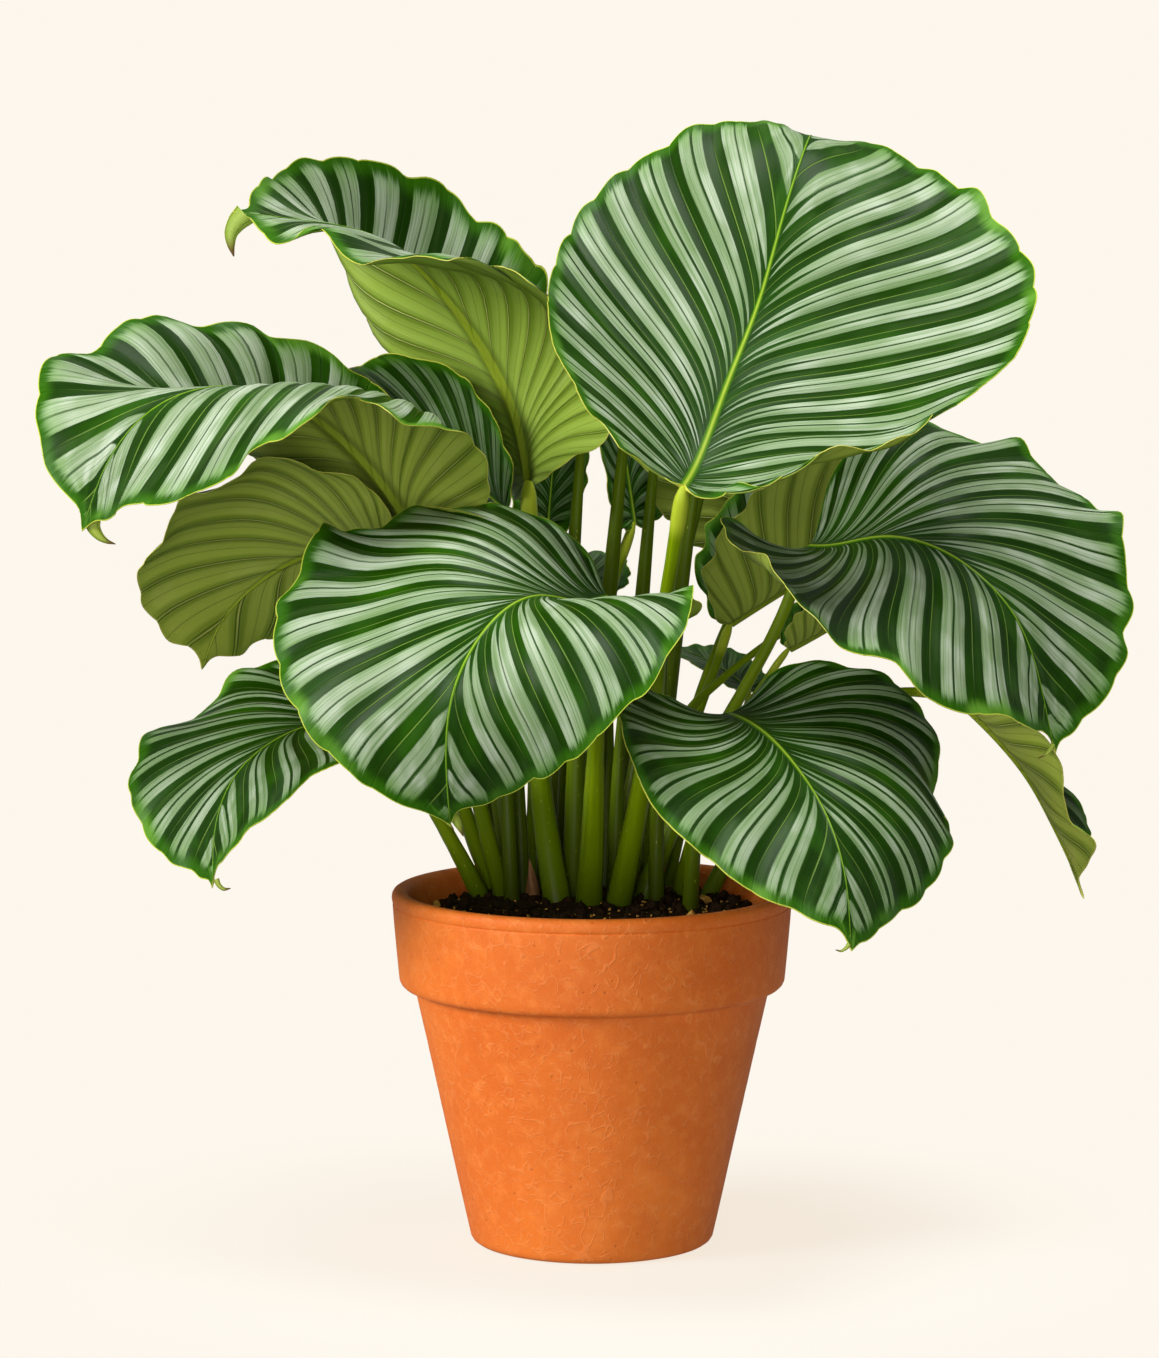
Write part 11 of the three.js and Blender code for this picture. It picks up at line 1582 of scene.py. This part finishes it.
def terracotta():
    m, t, s = material("terracotta", (0.75, 0.33, 0.12))
    where = object_place(t)
    cloud = noise(t, where, 9.0, 3.0, 0.55)
    patch = noise(t, where, 34.0, 3.0, 0.6)
    mottle = noise(t, where, 150.0, 3.0, 0.6)
    grain = noise(t, where, 900.0, 2.0, 0.7)
    color = blend(t, smooth(t, 0.25, 0.75, cloud), rgb(208, 98, 22), rgb(232, 122, 38))
    color = blend(t, smooth(t, 0.35, 0.75, patch) * 0.45, color, rgb(198, 86, 14))
    color = blend(t, smooth(t, 0.45, 0.75, mottle) * 0.35, color, rgb(240, 140, 62))
    worms = wandering(t, where)
    color = blend(t, worms * 0.13, color, rgb(250, 172, 108))
    pit = smooth(t, 0.11, 0.03, cells(t, where, 110.0))
    color = blend(t, pit * 0.4, color, rgb(160, 72, 22))
    color = blend(t, (grain - 0.4).clip() * 0.4, color, rgb(240, 146, 78))
    put(t, color, s.inputs["Base Color"])
    put(t, 0.62 + 0.2 * (patch - 0.5), s.inputs["Roughness"])
    s.inputs["Specular IOR Level"].default_value = 0.3
    bump(t, worms * 0.9 - pit * 1.2 + grain * 0.25 + patch * 0.4 + mottle * 0.5, 0.34, 0.0006, s)
    return m


def wandering(t, where):
    """Short curling scratches: level lines of a noise, broken up by another."""
    total = None
    for scale, at, width in ((70.0, 0.50, 0.009), (88.0, 0.46, 0.009), (104.0, 0.54, 0.010), (122.0, 0.50, 0.012)):
        n = noise(t, where, scale, 0.0, 0.5, 0.6)
        gate = smooth(t, 0.46, 0.56, noise(t, where, scale * 1.6, 0.0))
        line = smooth(t, width * 2.2, width * 0.5, (n - at).abs()) * gate
        total = line if total is None else total.max(line)
    return total


POT_PROFILE = [
    (9, 0), (30, 0), (54.5, 0), (57, 0.05), (58.6, 0.5), (60.0, 1.5), (60.9, 3.0), (61.3, 4.8), (65.4, 23), (74.6, 65), (83.8, 107), (88.0, 125.8), (88.35, 127.3),
    (88.9, 128.3), (90.2, 128.9), (92.6, 129.5), (94.4, 130.2), (95.6, 131.3), (96.2, 132.8), (96.5, 134.8), (97.6, 147), (98.9, 162), (99.45, 170.0), (99.45, 170.6), (99.05, 171.1), (99.5, 171.6),
    (99.75, 172.6), (99.95, 174.2), (99.7, 175.7), (99.0, 176.9), (97.9, 177.6), (96.4, 177.93), (94.6, 177.8), (93.1, 177.1), (92.0, 175.9), (91.3, 174.2), (90.9, 171.5),
    (89.4, 165), (80.6, 128), (67.6, 72), (55.6, 20), (53.9, 12.4), (52.6, 9.6), (50, 8.05), (40, 8), (9.6, 8), (9.05, 7.4), (9, 6.8), (9, 1),
]


def pot(mat):
    prof = np.array(POT_PROFILE, float)
    fine = []
    for a, b in zip(prof, np.roll(prof, -1, 0)):
        n = max(1, int(np.linalg.norm(b - a) / (5)))
        fine += [a + (b - a) * k / n for k in range(n)]
    prof = np.array(fine)
    m = len(prof)
    sides = 224
    angle = np.linspace(0, 2 * np.pi, sides, endpoint=False)
    r = np.repeat(prof[:, 0][:, None], sides, 1)
    z = np.repeat(prof[:, 1][:, None], sides, 1)
    # hand of the maker: very slight unevenness away from foot and drain hole
    ease = step(12, 40, z) * step(30, 50, r)
    around = np.stack([np.repeat(np.cos(angle)[None], m, 0).ravel() * 2, np.repeat(np.sin(angle)[None], m, 0).ravel() * 2, z.ravel() / 45], 1)
    r = r + 0.16 * ease * waves(around, 5, 6).reshape(m, sides)
    r = r + 0.05 * ease * np.sin(z * 1.9) * np.exp(-(((z - 100) / 60) ** 2))
    verts = np.stack([r * np.cos(angle), r * np.sin(angle), z], -1).reshape(-1, 3)
    i = np.arange(m)
    k = np.arange(sides)
    I, K = np.meshgrid(i, k, indexing="ij")
    a = I * sides + K
    b = I * sides + (K + 1) % sides
    c = ((I + 1) % m) * sides + (K + 1) % sides
    d = ((I + 1) % m) * sides + K
    tris = np.concatenate([np.stack([a, b, c], -1).reshape(-1, 3), np.stack([a, c, d], -1).reshape(-1, 3)])
    o = build("clay_pot", verts * MM, tris, [mat], sharp=math.radians(60))
    return place(o, "pot")


# ---------------------------------------------------------------- soil


def soil_material():
    m, t, s = material("potting_soil", (0.06, 0.045, 0.035))
    kind, lump, _ = attribute(t, "grain")
    where = object_place(t)
    n1 = noise(t, where, 240.0, 4.0, 0.65)
    n2 = noise(t, where, 900.0, 2.0, 0.6)
    color = blend(t, n1, rgb(13, 8, 2), rgb(58, 38, 18))
    color = blend(t, lump * 0.5, color, rgb(44, 30, 18))
    tan = blend(t, n2, rgb(176, 116, 44), rgb(236, 184, 96))
    color = blend(t, kind, color, tan)
    put(t, color, s.inputs["Base Color"])
    put(t, 0.78 + 0.3 * (n2 - 0.5), s.inputs["Roughness"])
    s.inputs["Specular IOR Level"].default_value = 0.1
    bump(t, n1 + n2 * 0.4, 0.8, 0.0012, s)
    return m


def icosphere():
    p = (1 + 5**0.5) / 2
    v = np.array([(-1, p, 0), (1, p, 0), (-1, -p, 0), (1, -p, 0), (0, -1, p), (0, 1, p), (0, -1, -p), (0, 1, -p), (p, 0, -1), (p, 0, 1), (-p, 0, -1), (-p, 0, 1)], float)
    v /= np.linalg.norm(v[0])
    f = [(0, 11, 5), (0, 5, 1), (0, 1, 7), (0, 7, 10), (0, 10, 11), (1, 5, 9), (5, 11, 4), (11, 10, 2), (10, 7, 6), (7, 1, 8), (3, 9, 4), (3, 4, 2), (3, 2, 6), (3, 6, 8), (3, 8, 9), (4, 9, 5), (2, 4, 11), (6, 2, 10), (8, 6, 7), (9, 8, 1)]
    return v, np.array(f)


def finer(v, f):
    cache, out, v = {}, [], list(v)

    def mid(a, b):
        k = (min(a, b), max(a, b))
        if k not in cache:
            q = (v[a] + v[b]) / 2
            v.append(q / np.linalg.norm(q))
            cache[k] = len(v) - 1
        return cache[k]

    for a, b, c in f:
        x, y, z = mid(a, b), mid(b, c), mid(c, a)
        out += [(a, x, z), (b, y, x), (c, z, y), (x, y, z)]
    return np.array(v), np.array(out)


FEET = [(leaf["stalk"][0], leaf["stalk"][1], leaf["stalkRadius"]) for leaf in LEAVES] + [(p[0], p[1], base) for base, p in SHOOTS]


def soil_height(x, y):
    p = np.stack([x, y], 1)
    d = np.hypot(x, y)
    h = 165.3 + 1.5 * waves(p / 12, 3, 7) + 0.9 * waves(p / 4.5, 4, 8) + 0.55 * waves(p / 2.0, 9, 9)
    h += 2.0 * np.exp(-((d / 45) ** 2)) - 2.6 * step(76, 88, d)
    for cx, cy, base in FEET:
        q = np.hypot(x - cx, y - cy)
        h += 1.2 * np.exp(-(((q - base - 2) / 4.5) ** 2))
    return h


def soil(mat):
    sides = 260
    rings = 84
    angle = np.linspace(0, 2 * np.pi, sides, endpoint=False)
    rr = np.linspace(0, 1, rings)[1:] * 88.4
    x = np.concatenate([[0], np.outer(rr, np.cos(angle)).ravel()])
    y = np.concatenate([[0], np.outer(rr, np.sin(angle)).ravel()])
    z = soil_height(x, y)
    verts = [np.stack([x, y, z], 1)]
    n = 1 + (rings - 1) * sides
    low = [(87.0, 160.0), (80.2, 128.0), (55.2, 20.0), (53.2, 10.9), (50.2, 8.4)]
    for a, b in low:
        verts.append(np.stack([a * np.cos(angle), a * np.sin(angle), np.full(sides, b)], 1))
    verts.append(np.array([[0, 0, 8.4]]))
    verts = np.concatenate(verts)
    k = np.arange(sides)
    k2 = (k + 1) % sides
    tris = [np.stack([np.zeros(sides, int), 1 + k, 1 + k2], 1)]
    total = rings - 1 + len(low)
    for i in range(total - 1):
        a, b = 1 + i * sides + k, 1 + i * sides + k2
        c, d = a + sides, b + sides
        tris += [np.stack([a, c, d], 1), np.stack([a, d, b], 1)]
    last = 1 + (total - 1) * sides
    end = len(verts) - 1
    tris.append(np.stack([np.full(sides, end), last + k2, last + k], 1))
    tris = np.concatenate(tris)
    kind = np.zeros((len(tris), 3, 3))
    allv, allt, allk = [verts], [tris], [kind]
    base_v, base_f = finer(*icosphere())
    small_v, small_f = icosphere()
    offset = len(verts)
    lumps, flecks = ((620, 330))
    r = np.random.default_rng(11)
    for i in range(lumps + flecks):
        fleck = i >= lumps
        v, f = (small_v, small_f) if fleck else (base_v, base_f)
        d = 86 * math.sqrt(r.uniform(0, 1))
        a = r.uniform(0, 6.283)
        cx, cy = d * math.cos(a), d * math.sin(a)
        if any(math.hypot(cx - x, cy - y) < base + 1.2 for x, y, base in FEET):
            continue
        s = r.uniform(0.45, 1.15) if fleck else r.uniform(0.8, 3.0) ** 1.1
        shape = v * (s * r.uniform(0.6, 1.3, 3)) * (1 + 0.22 * r.normal(size=len(v)))[:, None]
        q, _ = np.linalg.qr(r.normal(size=(3, 3)))
        if np.linalg.det(q) < 0:
            q[:, 0] *= -1
        shape = shape @ q.T
        cz = soil_height(np.array([cx]), np.array([cy]))[0] + 0.25 * s
        if math.hypot(cx, cy) + s > 87:
            continue
        allv.append(shape + (cx, cy, cz))
        allt.append(f + offset)
        offset += len(v)
        kk = np.zeros((len(f), 3, 3))
        kk[:, :, 0] = 1.0 if fleck or r.uniform() < 0.035 else 0.0
        kk[:, :, 1] = r.uniform()
        allk.append(kk)
    o = build("potting_soil", np.concatenate(allv) * MM, np.concatenate(allt), [mat], None, {"grain": np.concatenate(allk)})
    return place(o, "soil")


# ---------------------------------------------------------------- dry sheath


def dry_material():
    m, t, s = material("dry_sheath", (0.4, 0.25, 0.13))
    where = object_place(t)
    streak = noise(t, scaled(t, where, 1, 1, 0.15), 900.0, 3.0, 0.6)
    blot = noise(t, where, 120.0, 2.0)
    color = blend(t, streak, rgb(84, 48, 22), rgb(168, 116, 66))
    color = blend(t, smooth(t, 0.5, 0.7, blot) * 0.6, color, rgb(66, 36, 18))
    put(t, color, s.inputs["Base Color"])
    s.inputs["Roughness"].default_value = 0.7
    bump(t, streak, 0.6, 0.0006, s)
    return m


def dry_sheath(mat):
    pts = np.array([[-29.5, 38, 163.5], [-30, 37.6, 172], [-30.8, 37, 179], [-31.6, 36.6, 186.5]])
    n, sides = 30, 24
    t = np.linspace(0, 1, n)
    center = through(pts, t)
    angle = np.linspace(0, 2 * np.pi, sides, endpoint=False)
    r = 3.5 * (1 - t**1.6)[:, None] + 0.25
    fold = 1 + 0.16 * np.cos(3 * angle[None] + 4 * t[:, None]) + 0.07 * np.cos(7 * angle[None])
    ring, tangent = tube(center, r * fold, sides)
    verts = np.concatenate([ring.reshape(-1, 3), center[:1], center[-1:] + tangent[-1:] * 0.6])
    k = np.arange(sides)
    k2 = (k + 1) % sides
    tris = []
    for i in range(n - 1):
        a, b, c, d = i * sides + k, i * sides + k2, (i + 1) * sides + k2, (i + 1) * sides + k
        tris += [np.stack([a, b, c], 1), np.stack([a, c, d], 1)]
    tris += [np.stack([np.full(sides, n * sides), k2, k], 1), np.stack([np.full(sides, n * sides + 1), (n - 1) * sides + k, (n - 1) * sides + k2], 1)]
    o = build("dry_scale", verts * MM, np.concatenate(tris), [mat])
    return place(o, "dry_sheath")


# ---------------------------------------------------------------- the plant

leaf_mats = [leaf_top(), leaf_under(), leaf_rim()]
stalk_mat = stalk_material("stalk_green", rgb(64, 95, 0), rgb(142, 166, 4), rgb(64, 84, 0))
# painted shade: the shoots' copy of the stalk material is darker, for the shade among the stalks where they stand
shaded_shoot_mat = stalk_material("shoot_green", rgb(46, 68, 0), rgb(104, 126, 2), rgb(48, 58, 0))
for leaf in LEAVES:
    blade(leaf, leaf_mats)
    stalk(leaf, stalk_mat)
for number, (base, points) in enumerate(SHOOTS, 1):
    shoot(number, base, points, shaded_shoot_mat)
pot(terracotta())
soil(soil_material())
dry_sheath(dry_material())

# ---------------------------------------------------------------- floor, light and camera

BACK = rgb(253, 247, 237)
scene = bpy.context.scene
scene.view_settings.view_transform = "Standard"


def floor():
    m = bpy.data.materials.new("pale_floor")
    m.use_nodes = True
    t = m.node_tree
    t.nodes.clear()
    out = t.nodes.new("ShaderNodeOutputMaterial")
    diffuse = t.nodes.new("ShaderNodeBsdfDiffuse")
    diffuse.inputs[0].default_value = (0.70 * FLOOR_SHARE * BACK[0], FLOOR_SHARE * BACK[1], 1.25 * FLOOR_SHARE * BACK[2], 1)
    glow = t.nodes.new("ShaderNodeEmission")
    glow.inputs[0].default_value = (1.061 * BACK[0], BACK[1], 0.949 * BACK[2], 1)
    seen_by = t.nodes.new("ShaderNodeLightPath")
    put(t, Val(t, seen_by.outputs["Is Camera Ray"]) * (FLOOR_GLOW - FLOOR_BOUNCE) + FLOOR_BOUNCE, glow.inputs[1])
    both = t.nodes.new("ShaderNodeAddShader")
    clear = t.nodes.new("ShaderNodeBsdfTransparent")
    mix = t.nodes.new("ShaderNodeMixShader")
    where = object_place(t)
    length = t.nodes.new("ShaderNodeVectorMath")
    length.operation = "LENGTH"
    t.links.new(where, length.inputs[0])
    share = smooth(t, 0.32, 0.10, Val(t, length.outputs["Value"]))
    t.links.new(diffuse.outputs[0], both.inputs[0])
    t.links.new(glow.outputs[0], both.inputs[1])
    put(t, share, mix.inputs[0])
    t.links.new(clear.outputs[0], mix.inputs[1])
    t.links.new(both.outputs[0], mix.inputs[2])
    t.links.new(mix.outputs[0], out.inputs[0])
    bpy.ops.mesh.primitive_circle_add(vertices=96, radius=1.3, fill_type="NGON", location=(0, 0, -0.0002))
    o = bpy.context.object
    o.name = "floor"
    o.data.materials.append(m)


def area(name, where, target, size, watts, color=(1, 1, 1)):
    data = bpy.data.lights.new(name, "AREA")
    data.shape = "DISK"
    data.size = size
    data.energy = watts
    data.color = color
    o = bpy.data.objects.new(name, data)
    o.location = where
    d = np.array(target) - np.array(where)
    from mathutils import Vector
    o.rotation_euler = Vector(d).to_track_quat("-Z", "Y").to_euler()
    scene.collection.objects.link(o)
    return o


FLOOR_SHARE = 0.15
FLOOR_GLOW = 0.83
FLOOR_BOUNCE = 0.30
floor()
world = bpy.data.worlds.new("studio")
scene.world = world
world.use_nodes = True
wt = world.node_tree
sky = wt.nodes["Background"]
sky.inputs[0].default_value = (1.0, 0.985, 0.95, 1)
sky.inputs[1].default_value = 0.34
seen = wt.nodes.new("ShaderNodeBackground")
seen.inputs[0].default_value = (*BACK, 1)
seen.inputs[1].default_value = 1.0
path = wt.nodes.new("ShaderNodeLightPath")
pick = wt.nodes.new("ShaderNodeMixShader")
wt.links.new(path.outputs["Is Camera Ray"], pick.inputs[0])
wt.links.new(sky.outputs[0], pick.inputs[1])
wt.links.new(seen.outputs[0], pick.inputs[2])
wt.links.new(pick.outputs[0], wt.nodes["World Output"].inputs[0])

area("key", (-2.5, -1.25, 1.4), (0, 0, 0.3), 1.3, 92, (1.0, 0.985, 0.955))
area("top", (0.35, -0.35, 2.5), (0, 0, 0.4), 1.3, 58, (1.0, 0.99, 0.97))
area("front", (-0.5, -2.7, 0.35), (0, 0, 0.3), 1.6, 30, (1.0, 0.99, 0.96))

camera = bpy.data.cameras.new("camera")
camera.sensor_width = 36
camera.lens = 4865.24334 * 36 / 1358
camera.clip_end = 20
eye = bpy.data.objects.new("camera", camera)
eye.location = (-0.0062578642, -2.4, 0.560229046)
eye.rotation_euler = (math.pi / 2 - 0.115045603, 0, 0)
scene.collection.objects.link(eye)
scene.camera = eye
